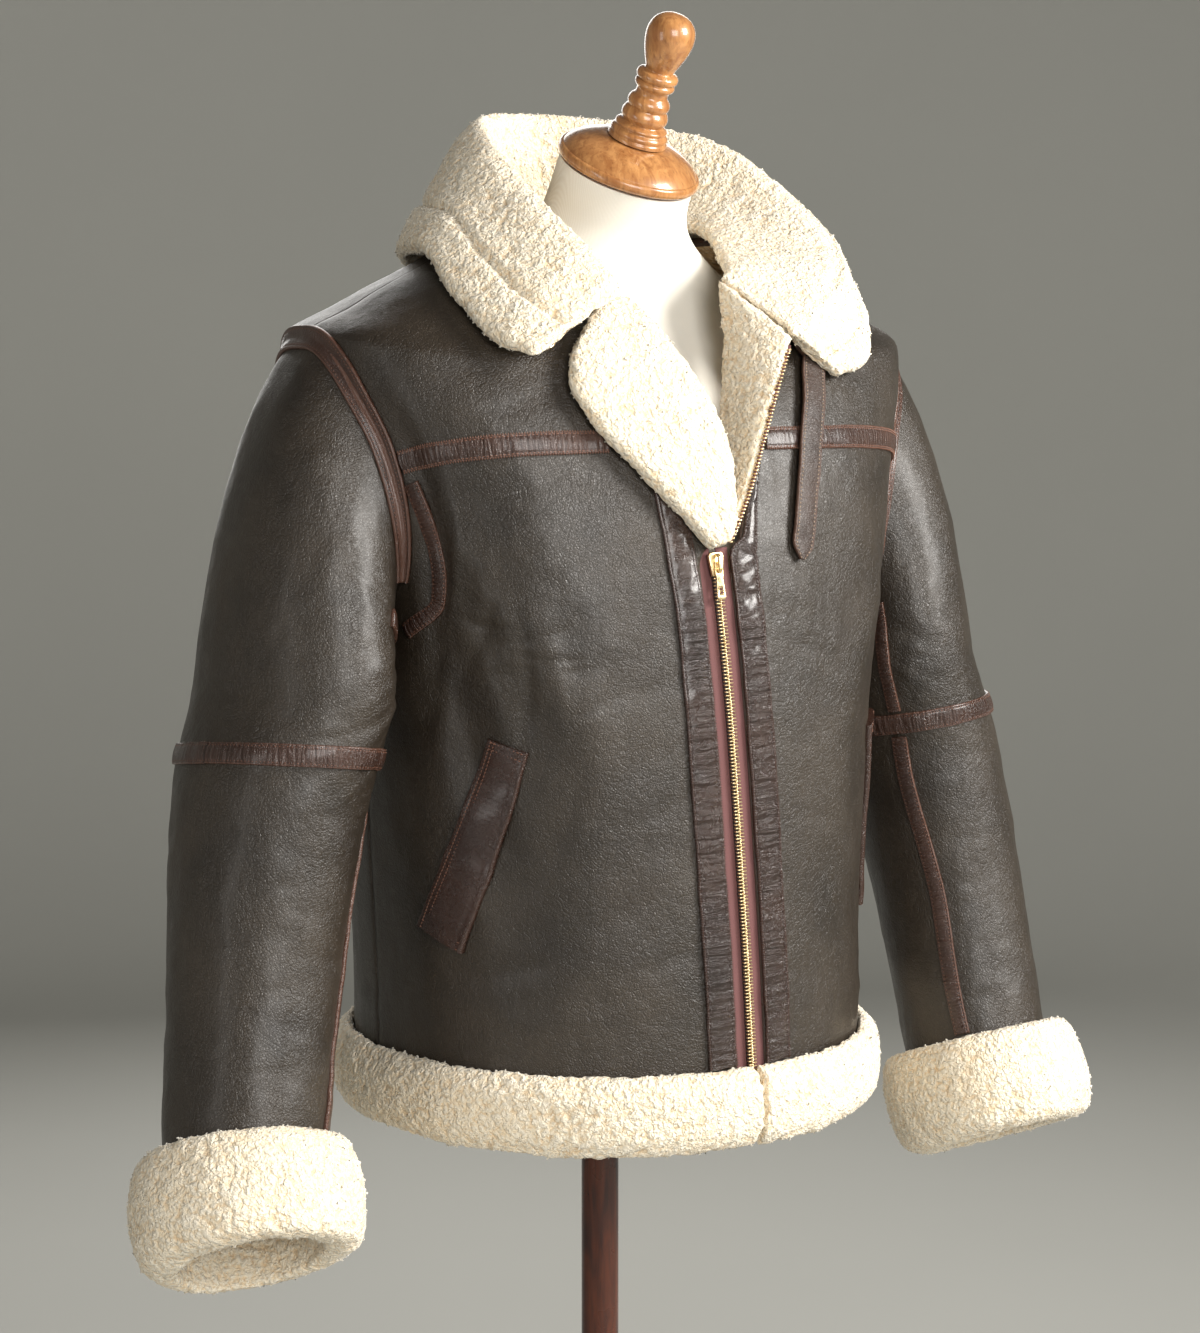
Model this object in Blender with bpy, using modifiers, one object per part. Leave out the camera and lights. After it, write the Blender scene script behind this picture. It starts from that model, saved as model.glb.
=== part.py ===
"""Sheepskin flying coat worn on a limbless dress form, at its real size.

Frame: origin at the middle of the stand's underside, +Z up. The coat faces -Y, so
the wearer's left is +X. An angle round the body starts at the middle of the front
and grows towards the wearer's left. A sleeve's turn starts at its outer side and
grows towards the front: 0 outer, 90 front, 180 inner, 270 back.
"""
import math

import bmesh
import bpy
import numpy as np
from mathutils import Matrix, Vector

MM = 0.001

# Cloth: sheepskin with the leather outside and the fleece inside.
BODY_WALL = 8.0 * MM
SLEEVE_WALL = 7.0 * MM
SEAM_GAP = 0.3 * MM
ARMHOLE_GAP = 0.7 * MM
STRIP_LIFT = 1.2 * MM
STRIP_WALL = 1.3 * MM
ELBOW_LIFT = STRIP_LIFT + 0.2 * MM

# Armholes and seams.
ARMHOLE_LOW = 1.196
ARMHOLE_HIGH = 1.405
ARMHOLE_FRONT_REACH = 20.5
ARMHOLE_BACK_REACH = 24.0
ARMHOLE_STEPS = 22
YOKE_STEP = 5
YOKE_DROOP = 3
YOKE_MIDDLE = 1.336
HEM_LEVEL = 0.868

# Zip.
ZIP_BOTTOM = 0.874
SLIDER_LEVEL = 1.246
TAPE_HALF = 12.5 * MM
CHAIN_HALF = 3.2 * MM
# Turns round each sleeve of the upper seam, the lower seam and the gusset, start and end.
SLEEVE_SEAMS = {
    -1: ((158.0, 152.0), (151.0, 134.0), (108.0, 146.0)),
    1: ((128.5, 126.0), (127.0, 130.0), (136.0, 166.0)),
}
# Upper end of the left placket, which narrows along the front edge up to the yoke.
PLACKET_TIP = ((1.262, 0.0068, 0.0192), (1.280, 0.0132, 0.0218), (1.298, 0.0195, 0.0250),
               (1.312, 0.0240, 0.0282), (1.3265, 0.0286, 0.0312))
PLACKET_WIDTH = 23.0 * MM
PULL_PIVOT = (0.0, -0.00475, 0.0005)

# Collar ring.
LATCH_ANGLE = -33.5
LATCH_LEVEL = 1.436
RING_RADIUS = 11.5 * MM
RING_WIRE = 1.5 * MM

# Dress form and stand.
POLE_RADIUS = 14.5 * MM
FORM_BOTTOM = 0.885
BASE_RADIUS = 0.190
BASE_THICK = 0.034
NECK_AXIS = Vector((0.07, -0.53, 1.0)).normalized()
CAP_CENTRE = Vector((0.0, -0.0390, 1.5300))
CAP_RADIUS = 0.0530


def table(columns, *rows):
    """Rows of numbers under named columns, as one array for each column."""
    return {name: np.array(column, float) for name, column in zip(columns.split(), zip(*rows))}


BODY = table(
    "level z_side z_front z_back width front back square",
    (0.800, 0.800, 0.800, 0.800, 0.192, 0.202, 0.168, 2.10),
    (0.860, 0.860, 0.860, 0.860, 0.193, 0.203, 0.169, 2.10),
    (0.940, 0.940, 0.940, 0.940, 0.194, 0.203, 0.168, 2.10),
    (1.030, 1.030, 1.030, 1.030, 0.198, 0.201, 0.170, 2.12),
    (1.120, 1.120, 1.120, 1.120, 0.203, 0.198, 0.174, 2.18),
    (1.200, 1.200, 1.200, 1.200, 0.209, 0.192, 0.178, 2.28),
    (1.270, 1.270, 1.270, 1.270, 0.219, 0.182, 0.177, 2.38),
    (1.330, 1.330, 1.328, 1.332, 0.231, 0.168, 0.170, 2.45),
    (1.375, 1.375, 1.364, 1.385, 0.243, 0.153, 0.158, 2.50),
    (1.405, 1.405, 1.385, 1.412, 0.246, 0.140, 0.144, 2.50),
    (1.430, 1.428, 1.402, 1.436, 0.209, 0.130, 0.128, 2.40),
    (1.460, 1.458, 1.419, 1.460, 0.152, 0.119, 0.110, 2.20),
    (1.490, 1.490, 1.434, 1.484, 0.094, 0.108, 0.094, 2.00),
)

# Largest folds of the body: place, lean from upright, half length, half width, height.
BODY_FOLDS = table(
    "angle level lean long wide high",
    (-44, 1.200, -30, 0.090, 0.020, 0.0040),
    (-57, 1.110, -12, 0.110, 0.020, -0.0050),
    (-30, 1.120, 8, 0.110, 0.024, 0.0035),
    (40, 1.200, 28, 0.085, 0.020, 0.0035),
    (58, 1.100, 10, 0.110, 0.022, -0.0045),
    (28, 1.080, -6, 0.120, 0.026, 0.0030),
    (128, 1.180, -24, 0.100, 0.022, 0.0045),
    (-126, 1.170, 26, 0.100, 0.022, 0.0045),
    (150, 1.080, 14, 0.110, 0.026, -0.0040),
    (-148, 1.060, -16, 0.110, 0.026, -0.0040),
    (180, 1.140, 4, 0.120, 0.030, 0.0030),
)

# Sleeve centre lines, from the upper arm to the wrist.
SLEEVE_COLUMNS = "along out y z thick wide inturn pitch splay"
SLEEVES = {
    -1: table(
        SLEEVE_COLUMNS,
        (0.00, 0.270, -0.024, 1.150, 0.059, 0.088, 16, 2, 8),
        (0.25, 0.293, -0.030, 1.075, 0.063, 0.078, 14, 8, 10),
        (0.60, 0.316, -0.050, 0.950, 0.058, 0.066, 10, 17, 9),
        (1.00, 0.342, -0.086, 0.816, 0.055, 0.060, 6, 34, 8),
    ),
    1: table(
        SLEEVE_COLUMNS,
        (0.00, 0.268, -0.018, 1.150, 0.058, 0.088, 16, 2, 8),
        (0.25, 0.284, -0.028, 1.075, 0.062, 0.078, 14, 9, 7),
        (0.60, 0.299, -0.056, 0.950, 0.058, 0.066, 10, 16, 4),
        (1.00, 0.302, -0.094, 0.819, 0.055, 0.060, 6, 24, 2),
    ),
}
UPPER_SHARE = 0.42
ELBOW_SHARE = 0.51
ELBOW_TILT = {-1: 0.018, 1: 0.0}

# Opening at the front: the right lapel's roll line and the left front's edge.
ROLL_LINE = table(
    "level x",
    (1.250, -0.018), (1.276, -0.004), (1.312, 0.000), (1.350, -0.006), (1.400, -0.021), (1.430, -0.031),
    (1.460, -0.043), (1.490, -0.055),
)
LEFT_EDGE = table(
    "z x y root_x root_y",
    (1.262, -0.004, -0.186, -0.001, -0.180),
    (1.300, 0.012, -0.185, 0.010, -0.160),
    (1.340, 0.028, -0.180, 0.020, -0.142),
    (1.375, 0.046, -0.170, 0.031, -0.128),
    (1.410, 0.067, -0.156, 0.040, -0.114),
    (1.450, 0.088, -0.142, 0.042, -0.104),
)

# Collar stations from the right front end, round the back, to the left front end.
# The seam, roll and edge columns are points of the neck seam, the top fold and the hem.
COLLAR = table(
    "seam_x seam_y seam_z roll_x roll_y roll_z edge_x edge_y edge_z",
    (-0.060, -0.122, 1.436, -0.071, -0.131, 1.442, -0.143, -0.150, 1.396),
    (-0.074, -0.098, 1.452, -0.085, -0.104, 1.467, -0.157, -0.122, 1.405),
    (-0.086, -0.054, 1.473, -0.094, -0.056, 1.500, -0.163, -0.070, 1.438),
    (-0.088, -0.004, 1.488, -0.094, -0.002, 1.532, -0.155, -0.004, 1.471),
    (-0.076, 0.046, 1.492, -0.080, 0.050, 1.554, -0.130, 0.074, 1.470),
    (-0.044, 0.079, 1.489, -0.047, 0.084, 1.566, -0.080, 0.134, 1.458),
    (0.000, 0.088, 1.487, 0.005, 0.095, 1.568, 0.000, 0.156, 1.450),
    (0.044, 0.079, 1.489, 0.076, 0.084, 1.564, 0.098, 0.134, 1.458),
    (0.076, 0.046, 1.492, 0.126, 0.040, 1.548, 0.170, 0.070, 1.468),
    (0.088, -0.004, 1.488, 0.152, -0.012, 1.512, 0.200, -0.014, 1.452),
    (0.082, -0.052, 1.478, 0.157, -0.062, 1.480, 0.174, -0.094, 1.420),
    (0.066, -0.090, 1.466, 0.137, -0.108, 1.451, 0.146, -0.134, 1.387),
    (0.044, -0.106, 1.449, 0.073, -0.150, 1.409, 0.117, -0.145, 1.379),
)
COLLAR_WALL = 15.0 * MM

# Right lapel: outer edge from the slider up to the collar.
LAPEL_EDGE = table(
    "level x",
    (1.258, -0.026), (1.276, -0.040), (1.312, -0.072), (1.352, -0.102), (1.380, -0.110), (1.405, -0.106),
    (1.430, -0.090), (1.455, -0.074),
)
LAPEL_WALL = 12.0 * MM
LAPEL_LIFT = 4.5 * MM

# Finishing pieces.
HEM_HEIGHT = 58.0 * MM
CUFF_HEIGHT = 64.0 * MM
CUFF_SHARE = 0.962
WELT = table(
    "share front_angle front_level rear_angle rear_level",
    (0.0, 44.3, 1.116, 53.3, 1.125),
    (0.5, 52.4, 1.043, 62.6, 1.057),
    (1.0, 61.9, 0.968, 73.9, 0.984),
)

COLOURS = {
    "leather": ((0.022, 0.017, 0.015), 0.42, 0.0),
    "trim": ((0.075, 0.022, 0.015), 0.28, 0.0),
    "fleece": ((0.80, 0.62, 0.42), 0.95, 0.0),
    "tape": ((0.11, 0.025, 0.028), 0.85, 0.0),
    "brass": ((0.75, 0.52, 0.22), 0.30, 1.0),
    "linen": ((0.78, 0.72, 0.62), 0.80, 0.0),
    "walnut": ((0.22, 0.065, 0.018), 0.25, 0.0),
    "mahogany": ((0.060, 0.012, 0.008), 0.30, 0.0),
}


# ------------------------------------------------------------------ numbers
def smooth(position, places, values):
    """Monotone cubic through a short table, so that no value overshoots its rows."""
    step = np.diff(places)
    rise = np.diff(values) / step
    slope = np.empty_like(values)
    slope[0] = rise[0]
    slope[-1] = rise[-1]
    agree = rise[:-1] * rise[1:] > 0
    total = np.where(agree, rise[:-1] + rise[1:], 1.0)
    slope[1:-1] = np.where(agree, 2.0 * rise[:-1] * rise[1:] / total, 0.0)
    position = np.clip(position, places[0], places[-1])
    row = np.clip(np.searchsorted(places, position) - 1, 0, len(step) - 1)
    t = (position - places[row]) / step[row]
    start = values[row] * (1 + 2 * t) * (1 - t) ** 2 + slope[row] * step[row] * t * (1 - t) ** 2
    end = values[row + 1] * t * t * (3 - 2 * t) - slope[row + 1] * step[row] * t * t * (1 - t)
    return start + end


def unit(vectors):
    return vectors / np.linalg.norm(vectors, axis=-1, keepdims=True)


def blend(first, second, share):
    return first + (second - first) * share


def signed_power(value, power):
    return np.sign(value) * np.abs(value) ** power


# --------------------------------------------------------- surface of the body
def fold_height(angle, level):
    """Sum of soft leaning ridges and troughs, each a bell across and along its run."""
    total = np.zeros(np.broadcast(angle, level).shape)
    girth = 0.2
    for row in range(len(BODY_FOLDS["angle"])):
        fold = {name: column[row] for name, column in BODY_FOLDS.items()}
        turn = (angle - fold["angle"] + 180.0) % 360.0 - 180.0
        sideways = np.radians(turn) * girth
        upward = level - fold["level"]
        lean = math.radians(fold["lean"])
        along = upward * math.cos(lean) + sideways * math.sin(lean)
        across = sideways * math.cos(lean) - upward * math.sin(lean)
        total = total + fold["high"] * np.exp(-(along / fold["long"]) ** 2 - (across / fold["wide"]) ** 2)
    return total


def body_frame(angle, level):
    """Superellipse rings: the width and two depths of a level, z between side and middle."""
    read = {name: smooth(level, BODY["level"], BODY[name]) for name in BODY}
    side = np.sin(np.radians(angle))
    middle = np.cos(np.radians(angle))
    power = 2.0 / read["square"]
    depth = np.where(middle > 0, read["front"], read["back"])
    z_middle = np.where(middle > 0, read["z_front"], read["z_back"])
    x = read["width"] * signed_power(side, power)
    y = -depth * signed_power(middle, power)
    z = z_middle + (read["z_side"] - z_middle) * np.abs(side) ** 3
    return np.stack([x, y, z], axis=-1)


def body_normal(angle, level):
    turn = body_frame(angle + 0.5, level) - body_frame(angle - 0.5, level)
    rise = body_frame(angle, level + 0.002) - body_frame(angle, level - 0.002)
    return unit(np.cross(turn, rise))


def body_point(angle, level, out=0.0):
    """A point of the coat's leather side, moved out along the surface's normal."""
    angle = np.asarray(angle, float)
    level = np.asarray(level, float)
    height = np.asarray(out + fold_height(angle, level))[..., None]
    return body_frame(angle, level) + body_normal(angle, level) * height


def angle_at(x, level):
    """The angle at which the front of a ring has this x."""
    width = smooth(level, BODY["level"], BODY["width"])
    square = smooth(level, BODY["level"], BODY["square"])
    return np.degrees(np.arcsin(signed_power(x / width, square / 2.0)))


def zip_x(level):
    """The zip hangs a little aslant: its top lies towards the wearer's right."""
    share = (np.asarray(level, float) - ZIP_BOTTOM) / (SLIDER_LEVEL - ZIP_BOTTOM)
    return blend(0.006, -0.017, np.clip(share, -0.2, 1.0))


# --------------------------------------------------------------- armholes
def armhole_spot(turn, side):
    """Angle and level of the armhole seam at a turn of the sleeve."""
    t = np.radians(turn)
    level = (ARMHOLE_LOW + ARMHOLE_HIGH) / 2 + (ARMHOLE_HIGH - ARMHOLE_LOW) / 2 * np.cos(t)
    reach = np.where(np.sin(t) > 0, ARMHOLE_FRONT_REACH, ARMHOLE_BACK_REACH)
    offset = reach * signed_power(np.sin(t), 0.8)
    return side * (90.0 - offset), level


def sleeve_start(turn, side):
    """Direction in which the sleeve leaves the armhole: out at the top, down below."""
    t = np.radians(turn)
    top = (1 + np.cos(t)) / 2
    outward = side * (0.34 + 0.15 * top)
    forward = -0.16 * np.sin(t)
    downward = -(0.62 + 0.32 * (1 - top))
    return unit(np.stack([outward, forward, downward], axis=-1))


def dot(first, second):
    return np.sum(first * second, axis=-1, keepdims=True)


def armhole_corner(turn, side):
    """Directions at the armhole seam: the one that halves the corner on its inner side,
    and the one across that cut, towards the sleeve."""
    angle, level = armhole_spot(turn, side)
    body = body_normal(angle, level)
    seam = body_point(angle, level)
    ahead = unit(body_point(*armhole_spot(turn + 1.0, side)) - body_point(*armhole_spot(turn - 1.0, side)))
    into_hole = unit(np.cross(ahead, body))
    into_hole = into_hole * np.sign(dot(into_hole, body_point(side * 90.0, YOKE_MIDDLE - 0.04) - seam))
    leave = sleeve_start(turn, side)
    leave = unit(leave - ahead * dot(leave, ahead))
    sleeve = body * dot(leave, into_hole) - into_hole * dot(leave, body)
    fold = ((1 - np.cos(np.radians(turn))) / 2)[..., None]
    mitre = unit((into_hole - leave) * fold - body - sleeve)
    across = body * dot(mitre, into_hole) - into_hole * dot(mitre, body)
    return mitre, across * np.sign(dot(across, leave))


def yoke_level(share):
    """Height of the yoke seam, from the middle (0) to the armhole (1)."""
    low = armhole_spot(np.array(YOKE_STEP * 360.0 / ARMHOLE_STEPS), 1)[1]
    return blend(YOKE_MIDDLE, low, np.asarray(share, float) ** YOKE_DROOP)


# ---------------------------------------------------------------- meshes
def material(name):
    made = bpy.data.materials.get(name)
    if made:
        return made
    colour, rough, metal = COLOURS[name]
    made = bpy.data.materials.new(name)
    made.use_nodes = True
    shader = made.node_tree.nodes["Principled BSDF"]
    shader.inputs["Base Color"].default_value = (*colour, 1.0)
    shader.inputs["Roughness"].default_value = rough
    shader.inputs["Metallic"].default_value = metal
    return made


def add(name, mesh, finish):
    """Puts a mesh in the coat's collection as a named object with its material."""
    thing = bpy.data.objects.new(name, mesh)
    thing.data.materials.append(material(finish))
    bpy.data.collections["shearling_coat"].objects.link(thing)
    return thing


def grid_faces(rows, columns, closed):
    """Quads of a grid whose normals point to the left of row and column directions."""
    last = columns if closed else columns - 1
    row, column = np.meshgrid(np.arange(rows - 1), np.arange(last), indexing="ij")
    right = (column + 1) % columns
    here, below = row * columns, (row + 1) * columns
    corners = [here + column, here + right, below + right, below + column]
    return np.stack([corner.ravel() for corner in corners], axis=-1)


def mesh_from(name, points, faces, finish):
    """One closed mesh from points and faces, turned round where its volume is negative."""
    made = bpy.data.meshes.new(name)
    made.from_pydata(np.asarray(points).reshape(-1, 3).tolist(), [], faces)
    edit = bmesh.new()
    edit.from_mesh(made)
    if edit.calc_volume(signed=True) < 0:
        bmesh.ops.reverse_faces(edit, faces=edit.faces)
    edit.to_mesh(made)
    edit.free()
    made.shade_smooth()
    made.set_sharp_from_angle(angle=math.radians(40))
    return add(name, made, finish)


def shell(name, outer, inner, finish, closed=False):
    """Loft between an outer and an inner grid of the same size, with rims between them."""
    rows, columns = outer.shape[:2]
    count = rows * columns
    top = grid_faces(rows, columns, closed)
    faces = top.tolist() + (top[:, ::-1] + count).tolist()
    spot = np.arange(count).reshape(rows, columns)
    loops = [spot[0], spot[-1][::-1]]
    if closed:
        loops = [np.append(loop, loop[0]) for loop in loops]
    else:
        loops += [spot[:, -1], spot[:, 0][::-1]]
    for loop in loops:
        for near, far in zip(loop[:-1], loop[1:]):
            faces.append([far, near, near + count, far + count])
    points = np.concatenate([outer.reshape(-1, 3), inner.reshape(-1, 3)])
    return mesh_from(name, points, faces, finish)


def tube(name, rings, finish, round_trip=False):
    """Closed sections joined in order, with a cap at each end unless it comes round."""
    rings = np.asarray(rings)
    rows, columns = rings.shape[:2]
    faces = grid_faces(rows, columns, True).tolist()
    if round_trip:
        last = (rows - 1) * columns
        faces += [[last + k, last + (k + 1) % columns, (k + 1) % columns, k] for k in range(columns)]
    else:
        faces.append(list(range(columns))[::-1])
        faces.append([(rows - 1) * columns + k for k in range(columns)])
    return mesh_from(name, rings, faces, finish)


def strip(name, middle, normal, width, finish, wall=STRIP_WALL, lift=STRIP_LIFT, closed=False):
    """Flat leather strip along a line of points: its section lies across the normal."""
    middle = np.asarray(middle)
    if closed:
        ahead = np.roll(middle, -1, axis=0) - np.roll(middle, 1, axis=0)
    else:
        ahead = np.gradient(middle, axis=0)
    across = unit(np.cross(unit(ahead), normal))
    half = np.asarray(width) / 2
    half = half[:, None] if half.ndim else half
    low = middle + normal * lift
    high = middle + normal * (lift + wall)
    dome = normal * 0.25 * wall
    rings = np.stack([
        low - across * half, low + dome * 0.4, low + across * half,
        high + across * half, high + dome, high - across * half,
    ], axis=1)
    return tube(name, rings, finish, round_trip=closed)


def body_strip(name, angles, levels, width, finish="trim", **options):
    normal = body_normal(np.asarray(angles, float), np.asarray(levels, float))
    return strip(name, body_point(angles, levels), normal, width, finish, **options)


def turned(name, profile, finish, place=Vector(), axis=Vector((0, 0, 1)), steps=18):
    """Round piece: a profile of (radius, height) points, top first, on a Screw modifier."""
    made = bpy.data.meshes.new(name)
    points = [(radius, 0.0, height) for radius, height in profile]
    made.from_pydata(points, [(k, k + 1) for k in range(len(points) - 1)], [])
    thing = add(name, made, finish)
    screw = thing.modifiers.new("Turn", "SCREW")
    screw.steps = steps
    screw.render_steps = steps
    screw.use_merge_vertices = True
    screw.merge_threshold = 0.05 * MM
    screw.use_smooth_shade = True
    turn = Vector((0, 0, 1)).rotation_difference(axis)
    thing.rotation_mode = "QUATERNION"
    thing.rotation_quaternion = turn
    thing.location = place
    return thing


# ------------------------------------------------------------- body panels
def edge_levels(side_rows, arm_turns, side):
    """Angles, levels and turns down the outer edge of a panel: side seam, then armhole."""
    seam = np.linspace(HEM_LEVEL, ARMHOLE_LOW, side_rows, endpoint=False)
    angle, level = armhole_spot(np.array(arm_turns, float), side)
    angles = np.concatenate([np.full(side_rows, side * 90.0), angle])
    return angles, np.concatenate([seam, level])


def walled(angles, levels, wall, mitres=None):
    """Outer and inner grids; a mitre column replaces the inner points of an edge."""
    outer = body_point(angles, levels)
    inner = body_point(angles, levels, -wall)
    for column, rows, direction in mitres or []:
        inner[rows, column] = outer[rows, column] + direction * wall * 1.05
    return outer, inner


def shrink(angles, levels, gap=SEAM_GAP / 2):
    """Pulls the four sides of a patch in by half a seam gap, a little more on sloping seams."""
    turn = np.degrees(gap / 0.2)
    angles = angles.copy()
    levels = levels.copy()
    sense = np.sign(angles[:, -1] - angles[:, 0])
    angles[:, 0] += sense * turn
    angles[:, -1] -= sense * turn
    levels[0] += gap * 1.3
    levels[-1] -= gap * 1.3
    return angles, levels


def front_edge_x(level, side):
    """The front panels stop at the zip's tape, and above it at the opening."""
    level = np.asarray(level, float)
    closed = zip_x(level) + side * (TAPE_HALF + SEAM_GAP)
    if side < 0:
        opened = smooth(level, ROLL_LINE["level"], ROLL_LINE["x"]) - 0.005
        return blend(closed, opened, np.clip((level - SLIDER_LEVEL) / 0.02, 0, 1))
    flap = smooth(level, LEFT_EDGE["z"], (LEFT_EDGE["x"] + LEFT_EDGE["root_x"]) / 2) + 0.0085
    return np.where(level > SLIDER_LEVEL, np.maximum(flap, closed), closed)


def front_panel(side, columns=11, side_rows=7):
    step = 360.0 / ARMHOLE_STEPS
    turns = np.arange(180.0, YOKE_STEP * step - 1, -step)
    edge_angle, edge_level = edge_levels(side_rows, turns, side)
    share = np.linspace(0, 1, columns)
    rise = (edge_level - HEM_LEVEL) / (edge_level[-1] - HEM_LEVEL)
    front_level = blend(HEM_LEVEL, YOKE_MIDDLE, blend(rise, np.linspace(0, 1, len(rise)), 0.4))
    levels = front_level[:, None] + (edge_level - front_level)[:, None] * share ** YOKE_DROOP
    start = angle_at(front_edge_x(levels[:, 0], side), levels[:, 0])
    angles = blend(start[:, None], edge_angle[:, None], share)
    angles, levels = shrink(angles, levels)
    arm = slice(side_rows, None)
    outer, inner = walled(angles, levels, BODY_WALL, [(-1, arm, armhole_corner(turns, side)[0])])
    name = "front_left" if side > 0 else "front_right"
    return shell(name, outer, inner, "leather")


def yoke_front(side, columns=11, shoulder_rows=5):
    step = 360.0 / ARMHOLE_STEPS
    turns = np.arange(YOKE_STEP * step, -1, -step)
    arm_angle, arm_level = armhole_spot(turns, side)
    top = np.linspace(ARMHOLE_HIGH, 1.484, shoulder_rows + 1)[1:]
    edge_angle = np.concatenate([arm_angle, np.full(shoulder_rows, side * 90.0)])
    edge_level = np.concatenate([arm_level, top])
    front_top = 1.484 if side < 0 else 1.446
    front_level = np.linspace(YOKE_MIDDLE, front_top, len(edge_level))
    share = np.linspace(0, 1, columns)
    levels = blend(front_level[:, None], edge_level[:, None], share ** YOKE_DROOP)
    start = angle_at(front_edge_x(levels[:, 0], side), levels[:, 0])
    angles = blend(start[:, None], edge_angle[:, None], share)
    angles, levels = shrink(angles, levels)
    arm = slice(0, len(turns))
    outer, inner = walled(angles, levels, BODY_WALL, [(-1, arm, armhole_corner(turns, side)[0])])
    name = "yoke_front_left" if side > 0 else "yoke_front_right"
    return shell(name, outer, inner, "leather")


def back_panel(columns=21, side_rows=7):
    step = 360.0 / ARMHOLE_STEPS
    turns = np.arange(180.0, (ARMHOLE_STEPS - YOKE_STEP) * step + 1, step)
    left_angle, edge_level = edge_levels(side_rows, turns, 1)
    share = np.abs(np.linspace(-1, 1, columns))
    rise = (edge_level - HEM_LEVEL) / (edge_level[-1] - HEM_LEVEL)
    middle_level = blend(HEM_LEVEL, YOKE_MIDDLE, blend(rise, np.linspace(0, 1, len(rise)), 0.4))
    levels = blend(middle_level[:, None], edge_level[:, None], share ** YOKE_DROOP)
    angles = blend(left_angle[:, None], 360.0 - left_angle[:, None], np.linspace(0, 1, columns))
    angles, levels = shrink(angles, levels)
    arm = slice(side_rows, None)
    outer, inner = walled(angles, levels, BODY_WALL, [
        (0, arm, armhole_corner(turns, 1)[0]), (-1, arm, armhole_corner(turns, -1)[0]),
    ])
    return shell("back", outer, inner, "leather")


def yoke_back(columns=21, shoulder_rows=5):
    step = 360.0 / ARMHOLE_STEPS
    turns = np.arange((ARMHOLE_STEPS - YOKE_STEP) * step, 361, step)
    arm_angle, arm_level = armhole_spot(turns, 1)
    top = np.linspace(ARMHOLE_HIGH, 1.484, shoulder_rows + 1)[1:]
    left_angle = np.concatenate([arm_angle, np.full(shoulder_rows, 90.0)])
    edge_level = np.concatenate([arm_level, top])
    share = np.abs(np.linspace(-1, 1, columns))
    middle_level = np.linspace(YOKE_MIDDLE, 1.484, len(edge_level))
    levels = blend(middle_level[:, None], edge_level[:, None], share ** YOKE_DROOP)
    angles = blend(left_angle[:, None], 360.0 - left_angle[:, None], np.linspace(0, 1, columns))
    angles, levels = shrink(angles, levels)
    arm = slice(0, len(turns))
    outer, inner = walled(angles, levels, BODY_WALL, [
        (0, arm, armhole_corner(turns, 1)[0]), (-1, arm, armhole_corner(turns, -1)[0]),
    ])
    return shell("yoke_back", outer, inner, "leather")


# ------------------------------------------------------------------ sleeves
def sleeve_axis(along, side):
    """Centre, outward, forward and downward directions of the sleeve's rings."""
    rows = SLEEVES[side]
    read = {name: smooth(along, rows["along"], rows[name]) for name in rows}
    pitch = np.radians(read["pitch"])
    splay = np.radians(read["splay"])
    down = unit(np.stack([side * np.tan(splay), -np.tan(pitch), -np.ones_like(pitch)], axis=-1))
    inturn = np.radians(read["inturn"])
    wide = np.stack([-side * np.sin(inturn), -np.cos(inturn), np.zeros_like(inturn)], axis=-1)
    wide = unit(wide - down * np.sum(wide * down, axis=-1, keepdims=True))
    thick = np.cross(wide, down) * side
    centre = np.stack([side * read["out"], read["y"], read["z"]], axis=-1)
    return centre, thick, wide, down, read["thick"], read["wide"]


def sleeve_ring(turn, along, side, out=0.0):
    """Points of an elliptical ring square to the centre line."""
    centre, thick, wide, down, small, large = sleeve_axis(np.asarray(along, float), side)
    t = np.radians(turn)
    first = (small + out) * np.cos(t)
    second = (large + out) * np.sin(t)
    return centre + thick * first[..., None] + wide * second[..., None]


def sleeve_skin(turn, down_share, side):
    """Sleeve surface: from the armhole (0) through a cubic to the upper arm, then rings."""
    turn, down_share = np.broadcast_arrays(np.asarray(turn, float), np.asarray(down_share, float))
    cap = np.clip(down_share / UPPER_SHARE, 0, 1)[..., None]
    along = np.clip((down_share - UPPER_SHARE) / (1 - UPPER_SHARE), 0, 1)
    start = body_point(*armhole_spot(turn, side))
    end = sleeve_ring(turn, np.zeros_like(turn), side)
    reach = np.linalg.norm(end - start, axis=-1, keepdims=True)
    leave = sleeve_start(turn, side) * reach
    arrive = sleeve_axis(np.zeros_like(turn), side)[3] * reach
    curve = (start * (1 + 2 * cap) * (1 - cap) ** 2 + leave * cap * (1 - cap) ** 2
             + end * cap ** 2 * (3 - 2 * cap) - arrive * cap ** 2 * (1 - cap))
    lower = sleeve_ring(turn, along, side)
    return np.where(down_share[..., None] < UPPER_SHARE, curve, lower)


def elbow_share(turn, side):
    """The elbow seam's place down the sleeve: higher at the front and inner side."""
    return ELBOW_SHARE - ELBOW_TILT[side] * (0.5 + 0.5 * np.sin(np.radians(np.asarray(turn, float) - 35.0)))


def sleeve_normal(turn, down_share, side):
    around = sleeve_skin(turn + 2.0, down_share, side) - sleeve_skin(turn - 2.0, down_share, side)
    lower = np.minimum(np.asarray(down_share) + 0.01, 1.0)
    upper = np.maximum(np.asarray(down_share) - 0.01, 0.0)
    run = sleeve_skin(turn, lower, side) - sleeve_skin(turn, upper, side)
    return unit(np.cross(around, run)) * side


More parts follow.
